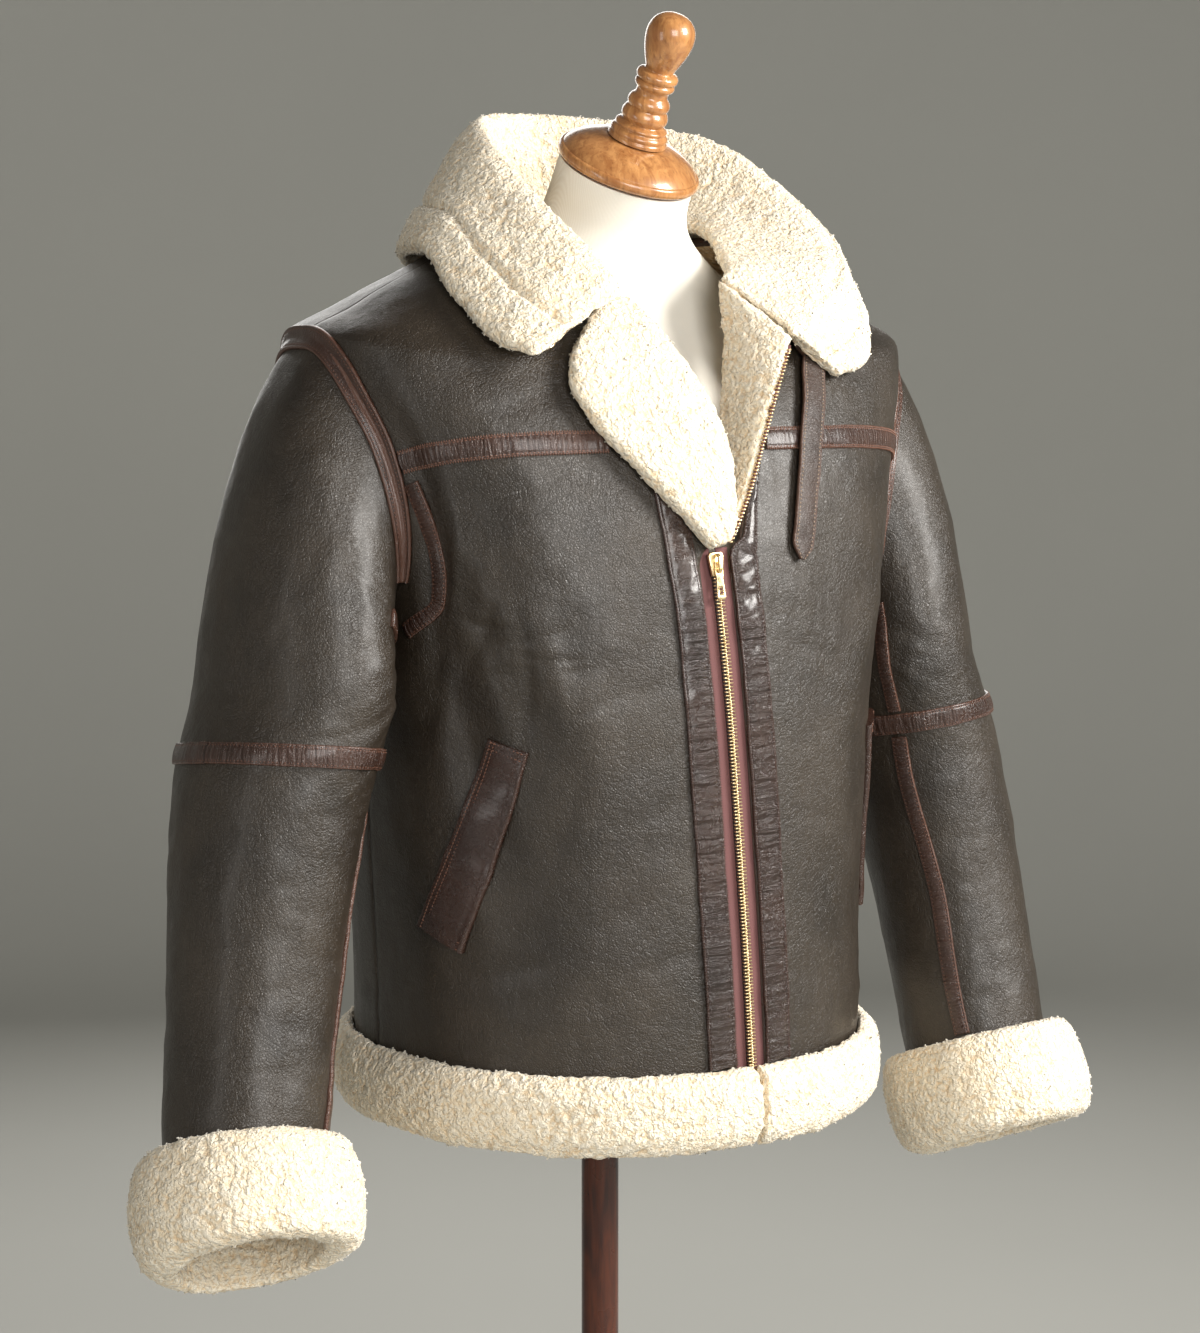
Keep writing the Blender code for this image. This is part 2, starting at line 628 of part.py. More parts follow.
def sleeve_part(name, side, shares, first_is_armhole):
    turns = np.arange(ARMHOLE_STEPS) * 360.0 / ARMHOLE_STEPS
    turn, share = np.meshgrid(turns, shares)
    rim = -1 if first_is_armhole else 0
    share[rim] = share[rim] + elbow_share(turns, side) - ELBOW_SHARE
    outer = sleeve_skin(turn, share, side)
    inner = outer - sleeve_normal(turn, share, side) * SLEEVE_WALL
    if first_is_armhole:
        mitre, across = armhole_corner(turns, side)
        away = across * ARMHOLE_GAP
        inner[0] = outer[0] + mitre * BODY_WALL * 1.05 + away
        outer[0] = outer[0] + away
    return shell(name, outer, inner, "leather", closed=True)


def sleeves():
    seam = ELBOW_SHARE
    gap = 0.0006
    for side, word in ((-1, "right"), (1, "left")):
        upper = np.array([0.0, 0.05, 0.12, 0.21, 0.31, UPPER_SHARE, seam - gap])
        lower = np.array([seam + gap, 0.60, 0.69, 0.78, 0.87, 0.94, 1.0])
        sleeve_part("sleeve_upper_" + word, side, upper, True)
        sleeve_part("sleeve_lower_" + word, side, lower, False)


# ----------------------------------------------------------- collar and edges
def rounded_band(low, high, out, thick, bulge, name, finish, round_trip=False):
    """Padded band between two lines: eight points round each section, fuller outside."""
    middle = (low + high) / 2
    along = high - low
    rings = np.stack([
        low + out * thick * 0.15,
        low + along * 0.02 + out * thick * 0.70,
        low + along * 0.22 + out * (thick + bulge * 0.75),
        middle + out * (thick + bulge),
        low + along * 0.78 + out * (thick + bulge * 0.75),
        low + along * 0.98 + out * thick * 0.70,
        high + out * thick * 0.15,
        middle,
    ], axis=1)
    return tube(name, rings, finish, round_trip=round_trip)


def collar():
    """Turned-down collar: at each station a curve from the seam over the roll to the edge."""
    stations = np.arange(len(COLLAR["seam_x"]), dtype=float)
    fine = np.linspace(0, stations[-1], 31)
    read = {name: smooth(fine, stations, column) for name, column in COLLAR.items()}
    seam, roll, edge = (np.stack([read[part + "_x"], read[part + "_y"], read[part + "_z"]], axis=-1)
                        for part in ("seam", "roll", "edge"))
    ends = np.minimum(fine, stations[-1] - fine)
    swell = COLLAR_WALL * (0.55 + 0.45 * np.clip(ends / 0.8, 0, 1))[:, None]
    rise = unit(roll - seam)
    fall = unit(edge - roll)
    away = unit(np.cross(np.gradient(roll, axis=0), rise))
    away = away * np.sign(np.sum(away * (edge - roll), axis=-1, keepdims=True))
    up = unit(rise - fall)
    drop = unit(np.cross(np.gradient(edge, axis=0), fall))
    half = swell / 2
    outside = [
        seam - away * half * 0.6,
        blend(seam, roll, 0.5) - away * half,
        blend(seam, roll, 0.9) - away * half + up * half * 0.5,
        roll + up * half * 1.5,
        blend(roll, edge, 0.10) + drop * half + up * half * 0.8,
        blend(roll, edge, 0.45) + drop * half * 1.25,
        blend(roll, edge, 0.80) + drop * half * 1.15,
        edge + drop * half * 0.7,
    ]
    inside = [
        edge - drop * half * 0.5 + fall * half * 0.2,
        blend(roll, edge, 0.80) - drop * half * 0.8,
        blend(roll, edge, 0.45) - drop * half * 0.8,
        roll - up * half * 0.7,
        blend(seam, roll, 0.5) + away * half * 0.8,
        seam + away * half * 0.5,
    ]
    return tube("collar", np.stack(outside + inside, axis=1), "fleece")


def hem_band(name, start, end, stations):
    """Fleece turned up over the hem: hangs a little below the leather and bulges out."""
    angles = np.linspace(start, end, stations)
    low = body_point(angles, np.full(stations, HEM_LEVEL - 0.042), 0.0005)
    high = body_point(angles, np.full(stations, HEM_LEVEL - 0.042 + HEM_HEIGHT), 0.0012)
    low[:, 2] = HEM_LEVEL - 0.040
    out = body_normal(angles, np.full(stations, HEM_LEVEL + 0.01))
    rounded_band(low, high, out, 0.010, 0.006, name, "fleece")


def cuff(side, word, steps=ARMHOLE_STEPS):
    """Turned-up fleece cuff round the wrist: a thick ring, wider than the sleeve."""
    turns = np.arange(steps) * 360.0 / steps
    wrist = sleeve_ring(turns, np.ones(steps), side)
    down = sleeve_axis(np.ones(steps), side)[3]
    out = sleeve_normal(turns, np.full(steps, 0.99), side)
    top = sleeve_skin(turns, np.full(steps, CUFF_SHARE), side)
    bottom = wrist + down * (CUFF_HEIGHT - 0.012)
    rings = np.stack([
        top + out * 0.0012,
        top + out * 0.015 - down * 0.002,
        blend(top, bottom, 0.22) + out * 0.0225,
        blend(top, bottom, 0.60) + out * 0.0240,
        blend(top, bottom, 0.90) + out * 0.0190,
        bottom + out * 0.0080,
        bottom - out * 0.0040,
        blend(top, bottom, 0.88) - out * 0.0110,
        blend(top, bottom, 0.55) - out * 0.0120,
        wrist + down * 0.0010 - out * 0.0080,
        wrist + down * 0.0010 + out * 0.0012,
    ], axis=1)
    return tube("cuff_" + word, rings, "fleece", round_trip=True)


def lapel_right(stations=14):
    """Fleece side of the right front turned out flat on the chest, from roll to edge."""
    share = np.linspace(0, 1, stations)
    roll_level = blend(1.264, 1.466, share)
    edge_level = blend(LAPEL_EDGE["level"][0], LAPEL_EDGE["level"][-1], share)
    roll = angle_at(smooth(roll_level, ROLL_LINE["level"], ROLL_LINE["x"]), roll_level)
    edge = angle_at(smooth(edge_level, LAPEL_EDGE["level"], LAPEL_EDGE["x"]), edge_level)
    low = body_point(roll, roll_level, LAPEL_LIFT)
    high = body_point(edge, edge_level, LAPEL_LIFT)
    out = unit(body_normal(roll, roll_level) + body_normal(edge, edge_level))
    middle = body_point((roll + edge) / 2, (roll_level + edge_level) / 2, LAPEL_LIFT)
    bow = np.maximum(np.sum((middle - (low + high) / 2) * out, axis=-1, keepdims=True), 0)
    thick = LAPEL_WALL
    rings = np.stack([
        low + out * 0.0002, low + out * thick * 0.75,
        blend(low, high, 0.18) + out * (thick * 1.05 + bow * 0.6),
        blend(low, high, 0.50) + out * (thick * 1.05 + bow),
        blend(low, high, 0.82) + out * (thick + bow * 0.6),
        high + out * thick * 0.75, high + out * 0.0002,
        blend(low, high, 0.75) + out * bow * 0.8,
        blend(low, high, 0.50) + out * bow * 1.05,
        blend(low, high, 0.25) + out * bow * 0.8,
    ], axis=1)
    return tube("lapel_right", rings, "fleece")


def left_flap(z, root_z=None):
    """Root and edge of the left front's standing strip, and its leather side's direction."""
    root_z = z if root_z is None else root_z
    edge_x, edge_y = (smooth(z, LEFT_EDGE["z"], LEFT_EDGE[name]) for name in ("x", "y"))
    root_x, root_y = (smooth(root_z, LEFT_EDGE["z"], LEFT_EDGE[name]) for name in ("root_x", "root_y"))
    edge = np.stack([edge_x, edge_y, z], axis=-1)
    root = np.stack([root_x, root_y, root_z], axis=-1)
    leather = unit(np.cross(edge - root, np.array([0.0, 0.0, 1.0])))
    return root, edge, leather * np.sign(leather[:, :1])


def facing_left(stations=12):
    """The left front above the slider stands forward and shows its fleece side."""
    z = np.linspace(1.268, 1.405, stations)
    root, edge, leather = left_flap(z, np.linspace(1.268, 1.446, stations))
    rings = np.stack([
        root + leather * 0.0030, root - leather * 0.0040,
        blend(root, edge, 0.5) - leather * 0.0055, edge - leather * 0.0035,
        edge + leather * 0.0010, blend(root, edge, 0.5) + leather * 0.0022,
    ], axis=1)
    return tube("facing_left", rings, "fleece")


# ------------------------------------------------------------ leather strips
def yoke_strips():
    """Strip over each yoke seam, from the armhole to the front edge and across the back."""
    arm = armhole_spot(np.array(YOKE_STEP * 360.0 / ARMHOLE_STEPS), 1)[0]
    for side, word, first in ((-1, "right", 0.25), (1, "left", 0.02)):
        start = angle_at(front_edge_x(np.array(YOKE_MIDDLE), side), np.array(YOKE_MIDDLE))
        share = np.linspace(first, 0.925, 15)
        angles = blend(start, side * arm, share)
        body_strip("yoke_strip_" + word, angles, yoke_level(share), 0.015)
    arm = armhole_spot(np.array(360.0 * (1 - YOKE_STEP / ARMHOLE_STEPS)), 1)[0]
    share = np.linspace(-0.925, 0.925, 21)
    angles = 180.0 + (180.0 - arm) * share
    body_strip("yoke_strip_back", angles, yoke_level(share), 0.015)


def armhole_strips(half=0.0095):
    """Strip astride each armhole seam: one half on the body, the other on the sleeve."""
    for side, word in ((-1, "right"), (1, "left")):
        turn = np.linspace(-126.0, 128.0, 27)
        angle, level = armhole_spot(turn, side)
        seam = body_point(angle, level)
        normal = body_normal(angle, level)
        away = sleeve_start(turn, side)
        ahead = unit(np.gradient(seam, axis=0))
        inward = unit(np.cross(ahead, normal))
        inward = inward * np.sign(dot(inward, seam - body_point(side * 90.0, YOKE_MIDDLE - 0.04)))
        away = unit(away - ahead * dot(away, ahead))
        cloth = inward * dot(away, normal) - normal * dot(away, inward)
        ridge = unit(normal + cloth)
        corner = ridge / np.maximum(dot(ridge, normal), 0.3)
        low, high = STRIP_LIFT + 0.4 * MM, STRIP_LIFT + 0.4 * MM + STRIP_WALL
        rings = np.stack([
            seam + inward * half + normal * low, seam + corner * low, seam + away * half + cloth * low,
            seam + away * half + cloth * high, seam + corner * high + ridge * 0.4 * MM,
            seam + inward * half + normal * high,
        ], axis=1)
        tube("armhole_strip_" + word, rings, "trim")


def sleeve_line(name, turns, shares, side, width, closed=False, lift=STRIP_LIFT):
    turns = np.asarray(turns, float)
    shares = np.asarray(shares, float)
    points = sleeve_skin(turns, shares, side)
    normal = sleeve_normal(turns, shares, side)
    return strip(name, points, normal, width, "trim", lift=lift, closed=closed)


def sleeve_strips():
    """Strips round the elbows, down the inner seams and on the gussets of the sleeves."""
    for side, word in ((-1, "right"), (1, "left")):
        high, low, across = SLEEVE_SEAMS[side]
        turns = np.arange(24) * 15.0
        seam = elbow_share(turns, side)
        sleeve_line("elbow_strip_" + word, turns, seam, side, 0.0155, closed=True, lift=ELBOW_LIFT)
        elbow = float(elbow_share(high[1], side))
        upper = np.linspace(0.17, elbow - 0.022, 10)
        sleeve_line("seam_upper_" + word, blend(*high, np.linspace(0, 1, 10)), upper, side, 0.010)
        lower = np.linspace(elbow + 0.022, 0.952, 14)
        sleeve_line("seam_lower_" + word, blend(*low, np.linspace(0, 1, 14)), lower, side, 0.012)
        gusset = np.linspace(0.205, 0.135, 7)
        sleeve_line("gusset_sleeve_" + word, np.linspace(*across, 7), gusset, side, 0.013)


def gusset_strips():
    """Curved strip on the front below each armhole, from the yoke seam to the underarm."""
    path = table(
        "step angle level",
        (0, 64.6, 1.3040), (1, 63.0, 1.2780), (2, 62.0, 1.2470), (3, 63.6, 1.2200), (4, 72.5, 1.1980),
    )
    fine = np.linspace(0, 4, 13)
    for side, word in ((-1, "right"), (1, "left")):
        angle = side * smooth(fine, path["step"], path["angle"])
        body_strip("gusset_strip_" + word, angle, smooth(fine, path["step"], path["level"]), 0.011)


def plackets():
    """Glossy strips down both sides of the zip, from the hem up beside the slider."""
    for side, word in ((-1, "right"), (1, "left")):
        level = np.linspace(0.886, 1.318 if side < 0 else 1.250, 20)
        middle = zip_x(level) + side * (TAPE_HALF + SEAM_GAP + PLACKET_WIDTH / 2)
        width = np.full(20, PLACKET_WIDTH - 0.0010)
        if side < 0:
            middle = middle - 0.010 * np.clip((level - 1.20) / 0.118, 0, 1) ** 1.5
        else:
            tip = np.array(PLACKET_TIP)
            level = np.concatenate([level, tip[:, 0]])
            middle = np.concatenate([middle, tip[:, 1:].mean(axis=1)])
            width = np.concatenate([width, tip[:, 2] - tip[:, 1]])
        body_strip("placket_" + word, angle_at(middle, level), level, width)


# ------------------------------------------------------------------ the zip
def zip_line(level, offset, out):
    return body_point(angle_at(zip_x(level) + offset, level), level, out)


def zip_pieces():
    """Two tapes, the closed chain between them and the open left half of the chain."""
    level = np.linspace(ZIP_BOTTOM, SLIDER_LEVEL - 0.008, 20)
    for side, word in ((-1, "right"), (1, "left")):
        near, far = side * (CHAIN_HALF + 0.0003), side * TAPE_HALF
        rings = np.stack([
            zip_line(level, near, -0.0032), zip_line(level, far, -0.0032),
            zip_line(level, far, -0.0020), zip_line(level, near, -0.0020),
        ], axis=1)
        tube("zip_tape_" + word, rings, "tape")
    rings = np.stack([
        zip_line(level, -CHAIN_HALF, -0.0036), zip_line(level, CHAIN_HALF, -0.0036),
        zip_line(level, CHAIN_HALF, -0.0006), zip_line(level, -CHAIN_HALF, -0.0006),
    ], axis=1)
    tube("zip_chain", rings, "brass")
    z = np.linspace(1.272, 1.396, 12)
    root, edge, leather = left_flap(z)
    ahead = unit(edge - root)
    start = edge + ahead * 0.0004
    rings = np.stack([
        start - leather * 0.0012, start + leather * 0.0014,
        start + leather * 0.0014 + ahead * 0.0045, start - leather * 0.0012 + ahead * 0.0045,
    ], axis=1)
    tube("zip_teeth_left", rings, "brass")


def zip_frame():
    """Slider's place: x along the hinge, z up the zip and -y out of the chest."""
    level = np.array([SLIDER_LEVEL - 0.01, SLIDER_LEVEL, SLIDER_LEVEL + 0.01])
    line = zip_line(level, 0.0, 0.0)
    up = Vector(line[2] - line[0]).normalized()
    out = Vector(body_normal(angle_at(zip_x(level[1]), level[1]), level[1]))
    across = up.cross(out).normalized()
    out = across.cross(up).normalized()
    turn = Matrix((across, -out, up)).transposed()
    return Matrix.Translation(Vector(line[1])) @ turn.to_4x4()


def outline_plate(name, outlines, half_thick, finish, frame, turn=None):
    """Flat plate from closed outlines (the first outside, the others holes), in a frame."""
    curve = bpy.data.curves.new(name, "CURVE")
    curve.dimensions = "2D"
    curve.fill_mode = "BOTH"
    curve.extrude = half_thick
    for outline in outlines:
        spline = curve.splines.new("POLY")
        spline.points.add(len(outline) - 1)
        for point, (x, y) in zip(spline.points, outline):
            point.co = (x, y, 0.0, 1.0)
        spline.use_cyclic_u = True
    thing = bpy.data.objects.new(name, curve)
    bpy.data.collections["shearling_coat"].objects.link(thing)
    graph = bpy.context.evaluated_depsgraph_get()
    made = bpy.data.meshes.new_from_object(thing.evaluated_get(graph))
    bpy.data.objects.remove(thing)
    edit = bmesh.new()
    edit.from_mesh(made)
    bmesh.ops.remove_doubles(edit, verts=edit.verts, dist=0.02 * MM)
    bmesh.ops.recalc_face_normals(edit, faces=edit.faces)
    edit.to_mesh(made)
    edit.free()
    plate = add(name, made, finish)
    plate.matrix_world = frame @ (turn or Matrix())
    return plate


EDGEWISE = Matrix(((0, 0, 1, 0), (1, 0, 0, 0), (0, 1, 0, 0), (0, 0, 0, 1)))


def slider_and_pull():
    """Slider over the chain with an arched bridge; the pull's top bar hangs in the bridge."""
    frame = zip_frame()
    upright = Matrix.Rotation(math.radians(90), 4, "X")
    body = [(-0.0045, -0.0085), (0.0045, -0.0085), (0.0052, -0.002), (0.0062, 0.006), (0.0050, 0.0085),
            (-0.0050, 0.0085), (-0.0062, 0.006), (-0.0052, -0.002)]
    place = frame @ Matrix.Translation((0, -0.0018, 0))
    outline_plate("zip_slider", [body], 0.0014, "brass", place, upright)
    arch = [(-0.0070, 0.0), (-0.0070, 0.0028), (-0.0045, 0.0050), (0.0045, 0.0050), (0.0070, 0.0028),
            (0.0070, 0.0), (0.0048, 0.0), (0.0040, 0.0026), (-0.0040, 0.0026), (-0.0048, 0.0)]
    bridge = [(-y, z) for z, y in arch]
    place = frame @ Matrix.Translation((0, -0.0035, 0.0005))
    outline_plate("zip_bridge", [bridge], 0.0013, "brass", place, EDGEWISE)
    pull = [(-0.0030, 0.0010), (0.0030, 0.0010), (0.0034, -0.0080), (0.0026, -0.0100),
            (0.0036, -0.0240), (0.0024, -0.0262), (-0.0024, -0.0262), (-0.0036, -0.0240),
            (-0.0026, -0.0100), (-0.0034, -0.0080)]
    window = [(-0.0018, -0.0010), (0.0018, -0.0010), (0.0018, -0.0072), (-0.0018, -0.0072)]
    hole = [(-0.0016, -0.0165), (0.0016, -0.0165), (0.0020, -0.0232), (-0.0020, -0.0232)]
    hang = frame @ Matrix.Translation(PULL_PIVOT)
    outline_plate("zip_pull", [pull, window, hole], 0.0006, "brass", hang, upright)
    stop = [(-0.0038, 0.0), (0.0038, 0.0), (0.0038, 0.0095), (-0.0038, 0.0095)]
    low = zip_line(np.array([ZIP_BOTTOM - 0.010]), 0.0, -0.0020)[0]
    outline_plate("zip_stop", [stop], 0.0018, "brass", Matrix.Translation(Vector(low)), upright)


# ---------------------------------------------------------- pockets and straps
def welts():
    """Pocket welts: a leather strip laid aslant over each side pocket's opening."""
    share = np.linspace(0, 1, 9)
    read = {name: smooth(share, WELT["share"], column) for name, column in WELT.items()}
    for side, word in ((-1, "right"), (1, "left")):
        front = (side * read["front_angle"], read["front_level"])
        rear = (side * read["rear_angle"], read["rear_level"])
        middle = ((front[0] + rear[0]) / 2, (front[1] + rear[1]) / 2)
        lines = (front, middle, rear)
        low = [body_point(*line, 0.0012) for line in lines]
        high = [body_point(*line, height) for line, height in zip(lines[::-1], (0.0052, 0.0046, 0.0032))]
        tube("welt_" + word, np.stack(low + high, axis=1), "trim")


def throat_strap():
    """Leather strap that hangs loose from under the left collar, with a pointed end."""
    level = np.array([1.425, 1.398, 1.370, 1.335, 1.300, 1.275, 1.258, 1.246])
    angle = np.array([21.5, 18.2, 16.4, 15.1, 13.9, 13.0, 12.4, 12.0])
    width = np.array([0.020, 0.020, 0.020, 0.020, 0.0198, 0.0195, 0.019, 0.003])
    lift = np.array([0.0036, 0.0044, 0.0046, 0.0044, 0.0040, 0.0036, 0.0032, 0.0030])
    points = body_point(angle, level, lift)
    strip("throat_strap", points, body_normal(angle, level), width, "trim", wall=0.0024, lift=0.0)


def latch_frame():
    """Place of the collar's ring: z up the chest and -y out of it, x along the hinge."""
    spot = body_point(LATCH_ANGLE, LATCH_LEVEL, 0.0045)
    out = Vector(body_normal(LATCH_ANGLE, LATCH_LEVEL))
    across = Vector((0, 0, 1)).cross(out).normalized()
    up = out.cross(across).normalized()
    turn = Matrix((across, -out, up)).transposed()
    return Matrix.Translation(Vector(spot)) @ turn.to_4x4()


def latch():
    """Brass ring that hangs in a folded leather tab under the right collar."""
    frame = latch_frame()
    bpy.ops.mesh.primitive_torus_add(
        major_radius=RING_RADIUS, minor_radius=RING_WIRE, major_segments=20, minor_segments=6)
    ring = bpy.context.object
    ring.name = "latch_ring"
    ring.data.materials.append(material("brass"))
    for holder in list(ring.users_collection):
        holder.objects.unlink(ring)
    bpy.data.collections["shearling_coat"].objects.link(ring)
    ring.data.transform(Matrix.Translation((0, 0, -RING_RADIUS)) @ Matrix.Rotation(math.radians(90), 4, "X"))
    ring.data.shade_smooth()
    ring.matrix_world = frame
    inner, outer = RING_WIRE + 0.0009, RING_WIRE + 0.0022
    bend = [math.radians(angle) for angle in (180, 216, 252, 288, 324, 360)]
    reach = RING_WIRE + 0.0106
    outside = [(outer * math.cos(a), outer * math.sin(a)) for a in bend]
    inside = [(inner * math.cos(a), inner * math.sin(a)) for a in bend[::-1]]
    profile = [(-outer, reach), *outside, (outer, reach), (inner, reach), *inside, (-inner, reach)]
    outline_plate("latch_tab", [profile], 0.0030, "trim", frame, EDGEWISE)


# ---------------------------------------------------------------- form, stand
FORM = table(
    "z y half_width half_depth",
    (0.885, -0.016, 0.140, 0.120),
    (0.900, -0.016, 0.156, 0.136),
    (1.000, -0.014, 0.152, 0.132),
    (1.100, -0.012, 0.166, 0.142),
    (1.220, -0.010, 0.180, 0.152),
    (1.300, -0.006, 0.186, 0.140),
    (1.350, -0.004, 0.190, 0.118),
    (1.385, -0.002, 0.184, 0.094),
    (1.412, -0.002, 0.158, 0.076),
    (1.436, -0.004, 0.122, 0.068),
    (1.456, -0.010, 0.090, 0.063),
    (1.476, -0.018, 0.065, 0.058),
)


def form_body(columns=24):
    """Limbless torso: elliptical rings that lean forward up the neck to the wooden cap."""
    turn = np.radians(np.arange(columns) * 360.0 / columns)
    rings = []
    for z, y, width, depth in zip(FORM["z"], FORM["y"], FORM["half_width"], FORM["half_depth"]):
        level = np.full(columns, z)
        rings.append(np.stack([width * np.sin(turn), y - depth * np.cos(turn), level], axis=-1))
    lean = Vector((0, 0, 1)).rotation_difference(NECK_AXIS).to_matrix()
    lean = np.array(lean)
    last = rings[-1].mean(axis=0)
    end = np.array(CAP_CENTRE - NECK_AXIS * 0.0015)
    for share in (0.45, 1.0):
        radius = blend(0.058, CAP_RADIUS - 0.0015, share)
        disc = np.stack([radius * np.sin(turn), -radius * np.cos(turn), np.zeros(columns)], axis=-1)
        part_turn = blend(np.eye(3), lean, share)
        rings.append(blend(last, end, share) + disc @ part_turn.T)
    tube("form_body", rings, "linen")


def wood():
    """Turned wooden neck cap and finial, the pole and the plain round base."""
    cap = [(0.0, 0.0240), (0.0238, 0.0236), (0.0320, 0.0212), (0.0400, 0.0178), (0.0475, 0.0132),
           (0.0520, 0.0088), (0.0545, 0.0045), (0.0535, 0.0012), (0.0515, 0.0), (0.0, 0.0)]
    turned("neck_cap", cap, "walnut", CAP_CENTRE, NECK_AXIS)
    finial = [(0.0, 0.1227), (0.0085, 0.1212), (0.0150, 0.1165), (0.0180, 0.1095), (0.0180, 0.1030),
              (0.0160, 0.0940), (0.0128, 0.0855), (0.0104, 0.0795), (0.0104, 0.0785), (0.0152, 0.0770),
              (0.0157, 0.0742), (0.0138, 0.0712), (0.0150, 0.0685), (0.0142, 0.0658), (0.0119, 0.0635),
              (0.0119, 0.0598), (0.0155, 0.0560), (0.0158, 0.0525), (0.0146, 0.0497), (0.0174, 0.0455),
              (0.0172, 0.0415), (0.0154, 0.0390), (0.0154, 0.0380), (0.0197, 0.0358), (0.0190, 0.0336),
              (0.0218, 0.0304), (0.0214, 0.0280), (0.0226, 0.0262), (0.0226, 0.0243), (0.0, 0.0243)]
    turned("finial", finial, "walnut", CAP_CENTRE, NECK_AXIS)
    top, foot = FORM_BOTTOM - SEAM_GAP, BASE_THICK + 0.020 + SEAM_GAP
    pole = [(0.0, top), (POLE_RADIUS, top), (POLE_RADIUS, foot), (0.0, foot)]
    turned("pole", pole, "mahogany")
    base = [(0.0, BASE_THICK + 0.020), (0.030, BASE_THICK + 0.020), (0.034, BASE_THICK + 0.012),
            (0.050, BASE_THICK + 0.004), (0.120, BASE_THICK - 0.001), (0.172, BASE_THICK - 0.006),
            (0.184, BASE_THICK - 0.011), (BASE_RADIUS, 0.016), (BASE_RADIUS, 0.004), (0.186, 0.0),
            (0.0, 0.0)]
    turned("base", base, "mahogany", steps=28)


def main():
    for thing in list(bpy.data.objects):
        bpy.data.objects.remove(thing)
    parts = bpy.data.collections.new("shearling_coat")
    bpy.context.scene.collection.children.link(parts)
    for side in (-1, 1):
        front_panel(side)
        yoke_front(side)
    back_panel()
    yoke_back()
    sleeves()
    collar()
    middle = float(angle_at(zip_x(HEM_LEVEL), np.array(HEM_LEVEL)))
    hem_band("hem_right", -90.4, middle - 0.9, 14)
    hem_band("hem_left", middle + 0.9, 90.4, 14)
    hem_band("hem_back", 90.7, 269.3, 23)
    for side, word in ((-1, "right"), (1, "left")):
        cuff(side, word)
    lapel_right()
    facing_left()
    yoke_strips()
    armhole_strips()
    sleeve_strips()
    gusset_strips()
    plackets()
    zip_pieces()
    slider_and_pull()
    welts()
    throat_strap()
    latch()
    form_body()
    wood()


main()
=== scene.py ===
"""Looks of the shearling coat and its dress form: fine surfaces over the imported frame.

Laid out as an add-on: one operator makes each group of pieces, main() runs them in order.
Angles round the body start at the middle of the front and grow towards the wearer's
left. A sleeve's turn starts at its outer side and grows towards the front.
"""

import math

import bmesh
import bpy
import numpy as np
from bpy.props import FloatProperty, FloatVectorProperty, PointerProperty
from bpy.types import Operator, Panel, PropertyGroup
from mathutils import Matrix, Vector


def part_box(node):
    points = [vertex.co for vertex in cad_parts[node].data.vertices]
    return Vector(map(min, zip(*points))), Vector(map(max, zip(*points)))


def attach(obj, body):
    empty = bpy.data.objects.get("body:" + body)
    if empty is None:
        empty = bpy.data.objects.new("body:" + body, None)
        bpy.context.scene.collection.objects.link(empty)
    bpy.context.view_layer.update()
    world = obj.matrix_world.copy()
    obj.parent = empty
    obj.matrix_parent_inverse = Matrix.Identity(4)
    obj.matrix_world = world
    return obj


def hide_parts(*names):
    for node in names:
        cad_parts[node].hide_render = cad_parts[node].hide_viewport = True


bl_info = {
    "name": "Shearling coat on a dress form",
    "version": (1, 0, 0),
    "blender": (4, 5, 0),
    "location": "View3D > Sidebar > Shearling",
    "description": "Builds a sheepskin flying coat, its dress form and a plain studio",
    "category": "Object",
}

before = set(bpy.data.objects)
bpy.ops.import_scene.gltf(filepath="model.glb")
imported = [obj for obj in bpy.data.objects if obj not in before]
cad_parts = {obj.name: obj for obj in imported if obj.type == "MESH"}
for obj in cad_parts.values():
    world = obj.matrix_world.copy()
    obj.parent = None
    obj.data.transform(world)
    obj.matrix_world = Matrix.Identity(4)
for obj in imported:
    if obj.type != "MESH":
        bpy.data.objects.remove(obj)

MM = 0.001
BODY = "coat_on_stand"
# Metres round the surface for each radian, where folds are laid out: body, sleeve, cuff.
BODY_GIRTH, SLEEVE_GIRTH, CUFF_GIRTH = 0.2, 0.072, 0.07
BODY_WALL = 8.0 * MM
SLEEVE_WALL = 7.0 * MM
DEEPEST_CREASE = 5.6 * MM
SEAM_GAP = 0.3 * MM
ARMHOLE_LOW, ARMHOLE_HIGH = 1.196, 1.405
SHOULDER_LEVEL, LEFT_OPENING_TOP = 1.484, 1.446
ARMHOLE_FRONT_REACH, ARMHOLE_BACK_REACH = 20.5, 24.0
ARMHOLE_STEPS, YOKE_STEP, YOKE_DROOP = 22, 5, 3
YOKE_MIDDLE = 1.336
HEM_LEVEL = 0.868
ZIP_BOTTOM, SLIDER_LEVEL = 0.874, 1.246
TAPE_HALF = 12.5 * MM
PLACKET_WIDTH = 23.0 * MM
UPPER_SHARE, ELBOW_SHARE, CUFF_SHARE = 0.42, 0.51, 0.962
ELBOW_TILT = {-1: 0.018, 1: 0.0}
COLLAR_WALL = 15.0 * MM
FLEECE_INSET = 1.2 * MM
LAPEL_WALL, LAPEL_LIFT = 12.0 * MM, 4.5 * MM
HEM_HEIGHT, CUFF_HEIGHT = 58.0 * MM, 64.0 * MM
SIDES = ((-1, "right"), (1, "left"))
# Turns round each sleeve of the upper seam, the lower seam and the gusset, start and end.
SLEEVE_SEAMS = {-1: ((158.0, 152.0), (151.0, 134.0), (108.0, 146.0)),
                1: ((128.5, 126.0), (127.0, 130.0), (136.0, 166.0))}
